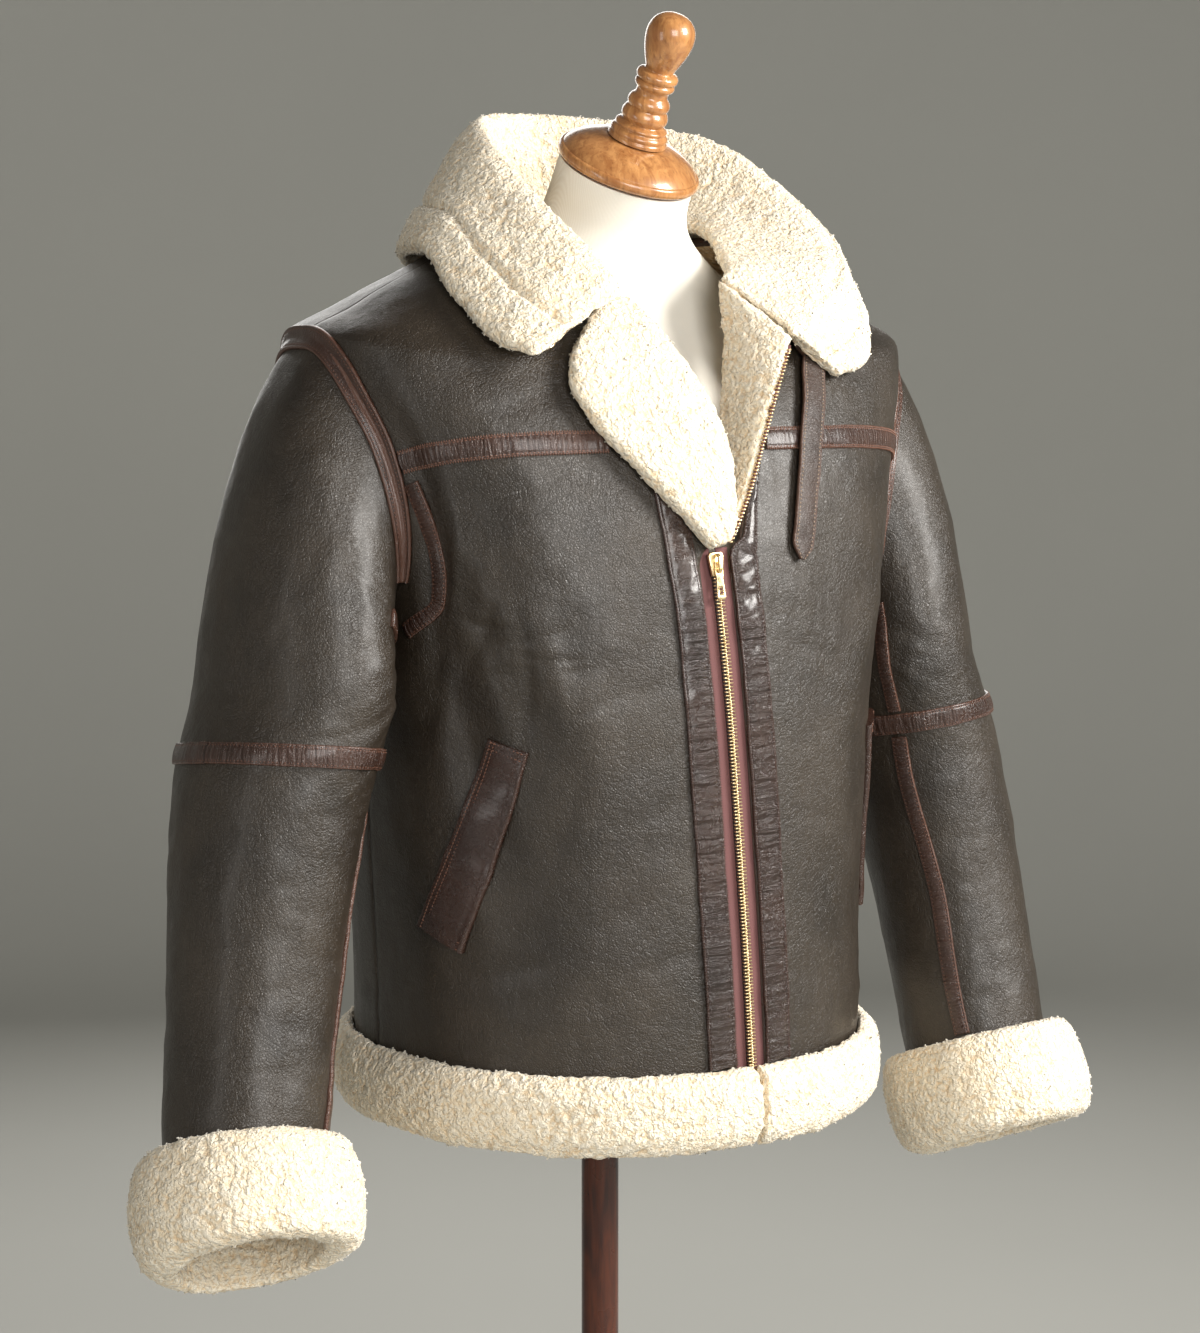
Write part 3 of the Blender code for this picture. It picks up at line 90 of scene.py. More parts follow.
# Upper end of the left placket: level, and x of its inner and outer edges.
PLACKET_TIP = np.array([(1.262, 0.0068, 0.0192), (1.280, 0.0132, 0.0218), (1.298, 0.0195, 0.0250),
                        (1.312, 0.0240, 0.0282), (1.3265, 0.0286, 0.0312)])


def table(columns, *rows):
    """Rows of numbers under named columns, as one array for each column."""
    return {name: np.array(column, float) for name, column in zip(columns.split(), zip(*rows))}


BODY_RINGS = table(
    "level z_side z_front z_back width front back square",
    (0.800, 0.800, 0.800, 0.800, 0.192, 0.202, 0.168, 2.10),
    (0.860, 0.860, 0.860, 0.860, 0.193, 0.203, 0.169, 2.10),
    (0.940, 0.940, 0.940, 0.940, 0.194, 0.203, 0.168, 2.10),
    (1.030, 1.030, 1.030, 1.030, 0.198, 0.201, 0.170, 2.12),
    (1.120, 1.120, 1.120, 1.120, 0.203, 0.198, 0.174, 2.18),
    (1.200, 1.200, 1.200, 1.200, 0.209, 0.192, 0.178, 2.28),
    (1.270, 1.270, 1.270, 1.270, 0.219, 0.182, 0.177, 2.38),
    (1.330, 1.330, 1.328, 1.332, 0.231, 0.168, 0.170, 2.45),
    (1.375, 1.375, 1.364, 1.385, 0.243, 0.153, 0.158, 2.50),
    (1.405, 1.405, 1.385, 1.412, 0.246, 0.140, 0.144, 2.50),
    (1.430, 1.428, 1.402, 1.436, 0.209, 0.130, 0.128, 2.40),
    (1.460, 1.458, 1.419, 1.460, 0.152, 0.119, 0.110, 2.20),
    (1.490, 1.490, 1.434, 1.484, 0.094, 0.108, 0.094, 2.00),
)

# Largest folds of the body: place, lean from upright, half length, half width, height.
BODY_FOLDS = table(
    "angle level lean long wide high",
    (-44, 1.200, -30, 0.090, 0.020, 0.0040),
    (-57, 1.110, -12, 0.110, 0.020, -0.0050),
    (-30, 1.120, 8, 0.110, 0.024, 0.0035),
    (40, 1.200, 28, 0.085, 0.020, 0.0035),
    (58, 1.100, 10, 0.110, 0.022, -0.0045),
    (28, 1.080, -6, 0.120, 0.026, 0.0030),
    (128, 1.180, -24, 0.100, 0.022, 0.0045),
    (-126, 1.170, 26, 0.100, 0.022, 0.0045),
    (150, 1.080, 14, 0.110, 0.026, -0.0040),
    (-148, 1.060, -16, 0.110, 0.026, -0.0040),
    (180, 1.140, 4, 0.120, 0.030, 0.0030),
)

# Smaller creases of the leather, in the same terms: soft troughs and ridges.
BODY_CREASES = table(
    "angle level lean long wide high",
    (-61, 1.262, 4, 0.070, 0.0130, -0.0052),
    (-38, 1.240, 6, 0.085, 0.0360, 0.0050),
    (36, 1.240, -6, 0.085, 0.0340, 0.0035),
    (-62, 1.265, 12, 0.045, 0.0060, -0.0022),
    (-43, 1.168, 4, 0.050, 0.0060, -0.0028),
    (-37, 1.160, 2, 0.055, 0.0090, 0.0014),
    (-42, 1.196, 82, 0.030, 0.0040, -0.0014),
    (-39, 1.182, 96, 0.026, 0.0036, -0.0012),
    (-46, 1.172, 78, 0.026, 0.0040, -0.0014),
    (-34, 1.174, 88, 0.022, 0.0036, -0.0009),
    (-52, 1.205, 100, 0.030, 0.0042, -0.0013),
    (-32, 1.145, 74, 0.024, 0.0040, -0.0008),
    (-58, 1.235, 22, 0.050, 0.0070, 0.0016),
    (-54, 1.190, 34, 0.060, 0.0065, -0.0014),
    (-66, 1.170, 8, 0.050, 0.0080, -0.0020),
    (-50, 1.150, -18, 0.060, 0.0090, 0.0012),
    (-38, 1.060, 28, 0.050, 0.0080, -0.0010),
    (-26, 1.000, 64, 0.045, 0.0070, -0.0009),
    (-48, 0.960, 74, 0.050, 0.0075, -0.0012),
    (-34, 0.925, 82, 0.060, 0.0060, 0.0010),
    (-18, 1.160, 70, 0.035, 0.0060, -0.0008),
    (-16, 1.075, 66, 0.030, 0.0055, -0.0008),
    (-17, 0.965, 72, 0.032, 0.0060, -0.0009),
    (-40, 1.300, 78, 0.050, 0.0070, -0.0009),
    (-28, 1.375, 60, 0.050, 0.0080, -0.0010),
    (18, 1.180, -68, 0.034, 0.0060, -0.0009),
    (20, 1.060, -74, 0.036, 0.0060, -0.0008),
    (19, 0.945, -70, 0.032, 0.0060, -0.0009),
    (46, 1.240, -26, 0.055, 0.0070, -0.0016),
    (52, 1.180, -36, 0.055, 0.0070, 0.0012),
    (64, 1.150, -8, 0.050, 0.0080, -0.0018),
    (34, 0.960, -70, 0.050, 0.0070, -0.0010),
    (48, 0.915, -82, 0.055, 0.0060, 0.0010),
    (118, 1.245, 24, 0.055, 0.0070, -0.0018),
    (126, 1.200, 34, 0.060, 0.0070, 0.0014),
    (112, 1.150, 8, 0.055, 0.0080, -0.0016),
    (150, 1.290, 74, 0.050, 0.0070, -0.0009),
    (168, 1.020, 70, 0.060, 0.0075, -0.0010),
    (146, 0.950, 80, 0.060, 0.0065, -0.0011),
    (-118, 1.240, -24, 0.055, 0.0070, -0.0018),
    (-127, 1.195, -36, 0.060, 0.0070, 0.0014),
    (-110, 1.140, -8, 0.055, 0.0080, -0.0016),
    (-152, 1.285, -76, 0.050, 0.0070, -0.0009),
    (-165, 0.990, -72, 0.060, 0.0075, -0.0010),
    (-140, 0.930, -80, 0.060, 0.0065, -0.0011),
    (178, 1.400, 80, 0.070, 0.0080, -0.0010),
)

SLEEVE_COLUMNS = "along out y z thick wide inturn pitch splay"
SLEEVES = {
    -1: table(
        SLEEVE_COLUMNS,
        (0.00, 0.270, -0.024, 1.150, 0.059, 0.088, 16, 2, 8),
        (0.25, 0.293, -0.030, 1.075, 0.063, 0.078, 14, 8, 10),
        (0.60, 0.316, -0.050, 0.950, 0.058, 0.066, 10, 17, 9),
        (1.00, 0.342, -0.086, 0.816, 0.055, 0.060, 6, 34, 8),
    ),
    1: table(
        SLEEVE_COLUMNS,
        (0.00, 0.268, -0.018, 1.150, 0.058, 0.088, 16, 2, 8),
        (0.25, 0.284, -0.028, 1.075, 0.062, 0.078, 14, 9, 7),
        (0.60, 0.299, -0.056, 0.950, 0.058, 0.066, 10, 16, 4),
        (1.00, 0.302, -0.094, 0.819, 0.055, 0.060, 6, 24, 2),
    ),
}

# Creases of a sleeve: turn, share of its length, lean from straight down, and sizes.
# The first rows are the fan that spreads from the inner elbow.
SLEEVE_CREASES = table(
    "turn share lean long wide high",
    (122, 0.575, 82, 0.040, 0.0042, -0.0026),
    (86, 0.452, 66, 0.034, 0.0042, -0.0013),
    (70, 0.470, 74, 0.030, 0.0040, -0.0012),
    (98, 0.432, 58, 0.036, 0.0042, -0.0014),
    (58, 0.445, 80, 0.026, 0.0040, -0.0009),
    (108, 0.170, 62, 0.034, 0.0044, -0.0014),
    (96, 0.205, 70, 0.030, 0.0044, -0.0011),
    (116, 0.557, 68, 0.046, 0.0042, -0.0026),
    (112, 0.538, 54, 0.046, 0.0040, -0.0022),
    (112, 0.595, 98, 0.038, 0.0042, -0.0020),
    (118, 0.480, 42, 0.044, 0.0050, -0.0024),
    (104, 0.455, 50, 0.050, 0.0060, 0.0016),
    (128, 0.420, 36, 0.044, 0.0050, -0.0022),
    (110, 0.385, 44, 0.050, 0.0060, -0.0018),
    (136, 0.350, 30, 0.050, 0.0060, -0.0024),
    (96, 0.330, 38, 0.055, 0.0070, 0.0014),
    (122, 0.290, 26, 0.050, 0.0060, -0.0022),
    (140, 0.230, 18, 0.050, 0.0060, -0.0024),
    (92, 0.690, 84, 0.034, 0.0050, -0.0014),
    (74, 0.660, 76, 0.030, 0.0055, -0.0012),
    (108, 0.745, 88, 0.032, 0.0050, -0.0016),
    (62, 0.790, 80, 0.034, 0.0060, -0.0013),
    (96, 0.835, 94, 0.032, 0.0055, -0.0015),
    (72, 0.890, 84, 0.036, 0.0060, -0.0016),
    (112, 0.905, 90, 0.034, 0.0055, -0.0014),
    (30, 0.720, 74, 0.034, 0.0060, -0.0010),
    (20, 0.870, 80, 0.040, 0.0060, -0.0012),
    (58, 0.530, 86, 0.034, 0.0060, -0.0012),
    (36, 0.300, 20, 0.060, 0.0090, -0.0012),
    (60, 0.200, 14, 0.060, 0.0090, 0.0012),
    (340, 0.460, 70, 0.040, 0.0070, -0.0010),
    (320, 0.620, 64, 0.040, 0.0070, -0.0012),
    (250, 0.540, 98, 0.040, 0.0050, -0.0020),
    (236, 0.570, 84, 0.044, 0.0050, -0.0020),
    (242, 0.480, 60, 0.046, 0.0055, -0.0018),
    (228, 0.400, 40, 0.050, 0.0060, -0.0018),
    (256, 0.320, 30, 0.050, 0.0070, -0.0014),
    (262, 0.760, 86, 0.036, 0.0055, -0.0013),
    (286, 0.850, 92, 0.036, 0.0060, -0.0012),
    (222, 0.890, 84, 0.036, 0.0055, -0.0014),
)

CUFF_CREASES = table(
    "turn z lean long wide high",
    (60, 0.78, 20, 0.040, 0.007, -0.0030),
    (118, 0.79, -14, 0.035, 0.007, -0.0026),
    (250, 0.78, 8, 0.040, 0.007, -0.0028),
    (170, 0.79, 12, 0.030, 0.006, -0.0020),
)

# The lapel's fold and its free edge on the chest, and the left front's root and edge.
ROLL_LINE = table(
    "level x",
    (1.250, -0.018), (1.276, -0.004), (1.312, 0.000), (1.350, -0.006), (1.400, -0.021), (1.430, -0.031),
    (1.460, -0.043), (1.490, -0.055),
)
LEFT_EDGE = table(
    "z x y root_x root_y",
    (1.262, -0.004, -0.186, -0.001, -0.180),
    (1.300, 0.012, -0.185, 0.010, -0.160),
    (1.340, 0.028, -0.180, 0.020, -0.142),
    (1.375, 0.046, -0.170, 0.031, -0.128),
    (1.410, 0.067, -0.156, 0.040, -0.114),
    (1.450, 0.088, -0.142, 0.042, -0.104),
)

# Collar stations from the right front end, round the back, to the left front end.
COLLAR = table(
    "seam_x seam_y seam_z roll_x roll_y roll_z edge_x edge_y edge_z",
    (-0.060, -0.122, 1.436, -0.071, -0.131, 1.442, -0.143, -0.150, 1.396),
    (-0.074, -0.098, 1.452, -0.085, -0.104, 1.467, -0.157, -0.122, 1.405),
    (-0.086, -0.054, 1.473, -0.094, -0.056, 1.500, -0.163, -0.070, 1.438),
    (-0.088, -0.004, 1.488, -0.094, -0.002, 1.532, -0.155, -0.004, 1.471),
    (-0.076, 0.046, 1.492, -0.080, 0.050, 1.554, -0.130, 0.074, 1.470),
    (-0.044, 0.079, 1.489, -0.047, 0.084, 1.566, -0.080, 0.134, 1.458),
    (0.000, 0.088, 1.487, 0.005, 0.095, 1.568, 0.000, 0.156, 1.450),
    (0.044, 0.079, 1.489, 0.076, 0.084, 1.564, 0.098, 0.134, 1.458),
    (0.076, 0.046, 1.492, 0.126, 0.040, 1.548, 0.170, 0.070, 1.468),
    (0.088, -0.004, 1.488, 0.152, -0.012, 1.512, 0.200, -0.014, 1.452),
    (0.082, -0.052, 1.478, 0.157, -0.062, 1.480, 0.174, -0.094, 1.420),
    (0.066, -0.090, 1.466, 0.137, -0.108, 1.451, 0.146, -0.134, 1.387),
    (0.044, -0.106, 1.449, 0.073, -0.150, 1.409, 0.117, -0.145, 1.379),
)
LAPEL_EDGE = table(
    "level x",
    (1.258, -0.026), (1.276, -0.040), (1.312, -0.072), (1.352, -0.102), (1.380, -0.110), (1.405, -0.106),
    (1.430, -0.090), (1.455, -0.074),
)
WELT = table(
    "share front_angle front_level rear_angle rear_level",
    (0.0, 44.3, 1.116, 53.3, 1.125),
    (0.5, 52.4, 1.043, 62.6, 1.057),
    (1.0, 61.9, 0.968, 73.9, 0.984),
)
GUSSET = table(
    "step angle level",
    (0, 64.6, 1.3040), (1, 63.0, 1.2780), (2, 62.0, 1.2470), (3, 63.6, 1.2200), (4, 72.5, 1.1980),
)
FORM = table(
    "z y half_width half_depth",
    (0.885, -0.016, 0.140, 0.120),
    (0.900, -0.016, 0.156, 0.136),
    (1.000, -0.014, 0.152, 0.132),
    (1.100, -0.012, 0.166, 0.142),
    (1.220, -0.010, 0.180, 0.152),
    (1.300, -0.006, 0.186, 0.140),
    (1.350, -0.004, 0.190, 0.118),
    (1.385, -0.002, 0.184, 0.094),
    (1.412, -0.002, 0.158, 0.076),
    (1.436, -0.004, 0.122, 0.068),
    (1.456, -0.010, 0.090, 0.063),
    (1.476, -0.018, 0.065, 0.058),
)
NECK_AXIS = np.array([0.07, -0.53, 1.0]) / np.linalg.norm([0.07, -0.53, 1.0])
CAP_CENTRE = np.array([0.0, -0.0390, 1.5300])
CAP_RADIUS = 0.0530
# The camera: sensor height in mm, focal length as a share of it, and downward slope of its axis.
SENSOR_HEIGHT, FOCAL_SHARE, CAMERA_DIP = 36.0, 2880.0 / 1333.0, 321.0 / 2880.0


# ------------------------------------------------------------------ numbers
def smooth(position, places, values):
    """Monotone cubic through a short table, so that no value overshoots its rows."""
    step = np.diff(places)
    rise = np.diff(values) / step
    slope = np.empty_like(values)
    slope[0] = rise[0]
    slope[-1] = rise[-1]
    agree = rise[:-1] * rise[1:] > 0
    total = np.where(agree, rise[:-1] + rise[1:], 1.0)
    slope[1:-1] = np.where(agree, 2.0 * rise[:-1] * rise[1:] / total, 0.0)
    position = np.clip(position, places[0], places[-1])
    row = np.clip(np.searchsorted(places, position) - 1, 0, len(step) - 1)
    t = (position - places[row]) / step[row]
    start = values[row] * (1 + 2 * t) * (1 - t) ** 2 + slope[row] * step[row] * t * (1 - t) ** 2
    end = values[row + 1] * t * t * (3 - 2 * t) - slope[row + 1] * step[row] * t * t * (1 - t)
    return start + end


def unit(vectors):
    """Vectors divided by their lengths."""
    return vectors / np.maximum(np.linalg.norm(vectors, axis=-1, keepdims=True), 1e-12)


def dot(first, second):
    """Scalar product of each pair of vectors, kept as a last axis of one."""
    return np.sum(first * second, axis=-1, keepdims=True)


def blend(first, second, share):
    """Straight line between two values, by a share from 0 to 1."""
    return first + (second - first) * share


def signed_power(value, power):
    """A power of the size of a value, with its sign kept."""
    return np.sign(value) * np.abs(value) ** power


def scatter(cell, seed, channel):
    """A number from 0 to 1 for each whole-numbered cell, the same on every run."""
    mixed = (cell[..., 0] * 73856093) ^ (cell[..., 1] * 19349663) ^ (cell[..., 2] * 83492791)
    mixed = (mixed + seed * 374761393 + channel * 668265263) & 0xFFFFFFFF
    mixed = ((mixed ^ (mixed >> 13)) * 1274126177) & 0xFFFFFFFF
    return ((mixed ^ (mixed >> 16)) & 0xFFFFFF) / float(0xFFFFFF)


def noise(points, size, seed, channel=0):
    """Smooth noise from -1 to 1 in space: numbers at the corners of cells, eased between."""
    place = points / size
    cell = np.floor(place).astype(np.int64)
    t = place - cell
    t = t * t * (3 - 2 * t)
    total = 0.0
    for dx in (0, 1):
        for dy in (0, 1):
            for dz in (0, 1):
                corner = cell + np.array([dx, dy, dz])
                weight = (t[..., 0] if dx else 1 - t[..., 0]) * (t[..., 1] if dy else 1 - t[..., 1])
                weight = weight * (t[..., 2] if dz else 1 - t[..., 2])
                total = total + weight * scatter(corner, seed, channel)
    return total * 2 - 1


def clumps(points, size, seed):
    """Rounded clumps: one minus the square of the distance to the nearest scattered centre."""
    place = points / size
    cell = np.floor(place).astype(np.int64)
    near = np.full(place.shape[:-1], 9.0)
    for dx in (-1, 0, 1):
        for dy in (-1, 0, 1):
            for dz in (-1, 0, 1):
                spot = cell + np.array([dx, dy, dz])
                centre = np.stack([spot[..., k] + scatter(spot, seed, k) for k in range(3)], axis=-1)
                near = np.minimum(near, np.sum((centre - place) ** 2, axis=-1))
    return 1 - np.minimum(near / 0.75, 1.0)


# --------------------------------------------------------- surface of the body
def bells(angle, upward_from, rows, first, girth, bow=0.12):
    """Sum of leaning bells over a surface unrolled to sideways and upward distances.

    upward_from gives the height, the name of its column and its scale. A bell's run bows
    sideways by the square of the distance along it.
    """
    height, column, scale = upward_from
    total = np.zeros(np.broadcast(angle, height).shape)
    for row in range(len(rows[first])):
        crease = {name: values[row] for name, values in rows.items()}
        turn = (angle - crease[first] + 180.0) % 360.0 - 180.0
        sideways = np.radians(turn) * girth
        upward = (height - crease[column]) * scale
        lean = math.radians(crease["lean"])
        along = upward * math.cos(lean) + sideways * math.sin(lean)
        across = sideways * math.cos(lean) - upward * math.sin(lean)
        across = across + bow * crease["long"] * (along / crease["long"]) ** 2
        total = total + crease["high"] * np.exp(-(along / crease["long"]) ** 2
                                                - (across / crease["wide"]) ** 2)
    return total


def fold_height(angle, level):
    """Sum of the body's largest soft folds, each a straight bell."""
    return bells(angle, (level, "level", 1.0), BODY_FOLDS, "angle", BODY_GIRTH, bow=0.0)


def body_frame(angle, level):
    """Superellipse rings: the width and two depths of a level, z between side and middle."""
    read = {name: smooth(level, BODY_RINGS["level"], BODY_RINGS[name]) for name in BODY_RINGS}
    side = np.sin(np.radians(angle))
    middle = np.cos(np.radians(angle))
    power = 2.0 / read["square"]
    depth = np.where(middle > 0, read["front"], read["back"])
    z_middle = np.where(middle > 0, read["z_front"], read["z_back"])
    x = read["width"] * signed_power(side, power)
    y = -depth * signed_power(middle, power)
    z = z_middle + (read["z_side"] - z_middle) * np.abs(side) ** 3
    return np.stack([x, y, z], axis=-1)


def body_normal(angle, level):
    """Outward normal: the cross product of a small step round the ring and one up it."""
    turn = body_frame(angle + 0.5, level) - body_frame(angle - 0.5, level)
    rise = body_frame(angle, level + 0.002) - body_frame(angle, level - 0.002)
    return unit(np.cross(turn, rise))


def body_point(angle, level, out=0.0):
    """A point of the coat's leather side, moved out along the surface's normal."""
    angle = np.asarray(angle, float)
    level = np.asarray(level, float)
    height = np.asarray(out + fold_height(angle, level))[..., None]
    return body_frame(angle, level) + body_normal(angle, level) * height


def angle_at(x, level):
    """The angle at which the front of a ring has this x."""
    width = smooth(level, BODY_RINGS["level"], BODY_RINGS["width"])
    square = smooth(level, BODY_RINGS["level"], BODY_RINGS["square"])
    return np.degrees(np.arcsin(signed_power(x / width, square / 2.0)))


def zip_x(level):
    """The zip hangs a little aslant: its top lies towards the wearer's right."""
    share = (np.asarray(level, float) - ZIP_BOTTOM) / (SLIDER_LEVEL - ZIP_BOTTOM)
    return blend(0.006, -0.017, np.clip(share, -0.2, 1.0))


def armhole_spot(turn, side):
    """Angle and level of the armhole seam at a turn of the sleeve."""
    t = np.radians(turn)
    level = (ARMHOLE_LOW + ARMHOLE_HIGH) / 2 + (ARMHOLE_HIGH - ARMHOLE_LOW) / 2 * np.cos(t)
    reach = np.where(np.sin(t) > 0, ARMHOLE_FRONT_REACH, ARMHOLE_BACK_REACH)
    offset = reach * signed_power(np.sin(t), 0.8)
    return side * (90.0 - offset), level


def sleeve_start(turn, side):
    """Direction in which the sleeve leaves the armhole: out at the top, down below."""
    t = np.radians(turn)
    top = (1 + np.cos(t)) / 2
    outward = side * (0.34 + 0.15 * top)
    forward = -0.16 * np.sin(t)
    downward = -(0.62 + 0.32 * (1 - top))
    return unit(np.stack([outward, forward, downward], axis=-1))


def armhole_corner(turn, side):
    """Directions at the armhole seam: the one that halves the corner on its inner side,
    and the one across that cut, towards the sleeve."""
    angle, level = armhole_spot(turn, side)
    body = body_normal(angle, level)
    seam = body_point(angle, level)
    ahead = unit(body_point(*armhole_spot(turn + 1.0, side)) - body_point(*armhole_spot(turn - 1.0, side)))
    into_hole = unit(np.cross(ahead, body))
    into_hole = into_hole * np.sign(dot(into_hole, body_point(side * 90.0, YOKE_MIDDLE - 0.04) - seam))
    leave = sleeve_start(turn, side)
    leave = unit(leave - ahead * dot(leave, ahead))
    sleeve = body * dot(leave, into_hole) - into_hole * dot(leave, body)
    fold = ((1 - np.cos(np.radians(turn))) / 2)[..., None]
    mitre = unit((into_hole - leave) * fold - body - sleeve)
    across = body * dot(mitre, into_hole) - into_hole * dot(mitre, body)
    return mitre, across * np.sign(dot(across, leave))


def front_edge_x(level, side):
    """The front panels stop at the zip's tape, and above it at the opening."""
    level = np.asarray(level, float)
    closed = zip_x(level) + side * (TAPE_HALF + SEAM_GAP)
    if side < 0:
        opened = smooth(level, ROLL_LINE["level"], ROLL_LINE["x"]) - 0.005
        above = np.clip((level - SLIDER_LEVEL) / 0.02, 0, 1)
        return np.where(level > SLIDER_LEVEL, blend(closed, opened, above), closed)
    flap = smooth(level, LEFT_EDGE["z"], (LEFT_EDGE["x"] + LEFT_EDGE["root_x"]) / 2) + 0.0085
    return np.where(level > SLIDER_LEVEL, np.maximum(flap, closed), closed)


# ------------------------------------------------------------------ sleeves
def sleeve_axis(along, side):
    """Centre, outward, forward and downward directions of the sleeve's rings."""
    rows = SLEEVES[side]
    read = {name: smooth(along, rows["along"], rows[name]) for name in rows}
    pitch = np.radians(read["pitch"])
    splay = np.radians(read["splay"])
    down = unit(np.stack([side * np.tan(splay), -np.tan(pitch), -np.ones_like(pitch)], axis=-1))
    inturn = np.radians(read["inturn"])
    wide = np.stack([-side * np.sin(inturn), -np.cos(inturn), np.zeros_like(inturn)], axis=-1)
    wide = unit(wide - down * np.sum(wide * down, axis=-1, keepdims=True))
    thick = np.cross(wide, down) * side
    centre = np.stack([side * read["out"], read["y"], read["z"]], axis=-1)
    return centre, thick, wide, down, read["thick"], read["wide"]


def sleeve_ring(turn, along, side, out=0.0):
    """Points of an elliptical ring square to the centre line."""
    centre, thick, wide, down, small, large = sleeve_axis(np.asarray(along, float), side)
    t = np.radians(turn)
    first = (small + out) * np.cos(t)
    second = (large + out) * np.sin(t)
    return centre + thick * first[..., None] + wide * second[..., None]


def sleeve_skin(turn, down_share, side):
    """Sleeve surface: from the armhole (0) through a cubic to the upper arm, then rings."""
    turn, down_share = np.broadcast_arrays(np.asarray(turn, float), np.asarray(down_share, float))
    cap = np.clip(down_share / UPPER_SHARE, 0, 1)[..., None]
    along = np.clip((down_share - UPPER_SHARE) / (1 - UPPER_SHARE), 0, 1)
    start = body_point(*armhole_spot(turn, side))
    end = sleeve_ring(turn, np.zeros_like(turn), side)
    reach = np.linalg.norm(end - start, axis=-1, keepdims=True)
    leave = sleeve_start(turn, side) * reach
    arrive = sleeve_axis(np.zeros_like(turn), side)[3] * reach
    curve = (start * (1 + 2 * cap) * (1 - cap) ** 2 + leave * cap * (1 - cap) ** 2
             + end * cap ** 2 * (3 - 2 * cap) - arrive * cap ** 2 * (1 - cap))
    lower = sleeve_ring(turn, along, side)
    return np.where(down_share[..., None] < UPPER_SHARE, curve, lower)


def elbow_share(turn, side):
    """The elbow seam's place down the sleeve: higher at the front and inner side."""
    return ELBOW_SHARE - ELBOW_TILT[side] * (0.5 + 0.5 * np.sin(np.radians(np.asarray(turn, float) - 35.0)))


def sleeve_normal(turn, down_share, side):
    """Outward normal: the cross product of a small step round the sleeve and one down it."""
    around = sleeve_skin(turn + 2.0, down_share, side) - sleeve_skin(turn - 2.0, down_share, side)
    lower = np.minimum(np.asarray(down_share) + 0.01, 1.0)
    upper = np.maximum(np.asarray(down_share) - 0.01, 0.0)
    run = sleeve_skin(turn, lower, side) - sleeve_skin(turn, upper, side)
    return unit(np.cross(around, run)) * side


# ---------------------------------------------------------------- materials
def new_material(name):
    """An empty node material with its Principled shader wired to the output."""
    made = bpy.data.materials.new(name)
    made.use_nodes = True
    tree = made.node_tree
    tree.nodes.clear()
    output = tree.nodes.new("ShaderNodeOutputMaterial")
    shader = tree.nodes.new("ShaderNodeBsdfPrincipled")
    tree.links.new(shader.outputs["BSDF"], output.inputs["Surface"])
    return made, tree, shader


def node(tree, kind, **settings):
    """A node with its properties and unlinked inputs set by name."""
    made = tree.nodes.new("ShaderNode" + kind)
    for name, value in settings.items():
        if hasattr(made, name):
            setattr(made, name, value)
        else:
            made.inputs[name.replace("_", " ")].default_value = value
    return made


def plain(shader, **values):
    """Sets the shader's own sockets that are the same all over a surface."""
    for name, value in values.items():
        shader.inputs[name.replace("_", " ")].default_value = value


def maths(tree, operation, first, second=None):
    """A Math node on two values, each a socket or a number."""
    made = tree.nodes.new("ShaderNodeMath")
    made.operation = operation
    for socket, value in zip(made.inputs, (first, second)):
        if value is None:
            continue
        if isinstance(value, bpy.types.NodeSocket):
            tree.links.new(value, socket)
        else:
            socket.default_value = value
    return made.outputs[0]


def colour_mix(tree, share, first, second):
    """Mixes two colours, each a socket or three numbers, by a share from 0 to 1."""
    made = tree.nodes.new("ShaderNodeMix")
    made.data_type = "RGBA"
    sockets = (made.inputs["Factor"], made.inputs[6], made.inputs[7])
    for socket, value in zip(sockets, (share, first, second)):
        if isinstance(value, bpy.types.NodeSocket):
            tree.links.new(value, socket)
        elif isinstance(value, (int, float)):
            socket.default_value = value
        else:
            socket.default_value = (*value, 1.0)
    return made.outputs[2]


def span(tree, value, low, high, to_low=0.0, to_high=1.0):
    """Maps a value from one range to another, clamped."""
    made = tree.nodes.new("ShaderNodeMapRange")
    tree.links.new(value, made.inputs["Value"])
    for name, number in (("From Min", low), ("From Max", high), ("To Min", to_low), ("To Max", to_high)):
        made.inputs[name].default_value = number
    return made.outputs["Result"]


def object_place(tree, stretch=(1.0, 1.0, 1.0)):
    """Object coordinates, stretched along the axes."""
    place = tree.nodes.new("ShaderNodeTexCoord")
    mapping = tree.nodes.new("ShaderNodeMapping")
    mapping.inputs["Scale"].default_value = stretch
    tree.links.new(place.outputs["Object"], mapping.inputs["Vector"])
    return mapping.outputs["Vector"]


def noise_at(tree, vector, scale, detail=4.0, rough=0.55, warp=0.0):
    """Smooth noise at a vector, as a value near 0.5."""
    made = node(tree, "TexNoise", Scale=scale, Detail=detail, Roughness=rough, Distortion=warp)
    tree.links.new(vector, made.inputs["Vector"])
    return made.outputs["Fac"]


def cells_at(tree, vector, scale, feature="F1"):
    """Distance of a cell pattern at a vector."""
    made = node(tree, "TexVoronoi", feature=feature, Scale=scale)
    tree.links.new(vector, made.inputs["Vector"])
    return made.outputs["Distance"]


def bump(tree, height, distance, strength, before=None):
    """A normal from a height in metres of distance, on top of an earlier normal."""
    made = node(tree, "Bump", Strength=strength, Distance=distance)
    tree.links.new(height, made.inputs["Height"])
    if before is not None:
        tree.links.new(before, made.inputs["Normal"])
    return made.outputs["Normal"]


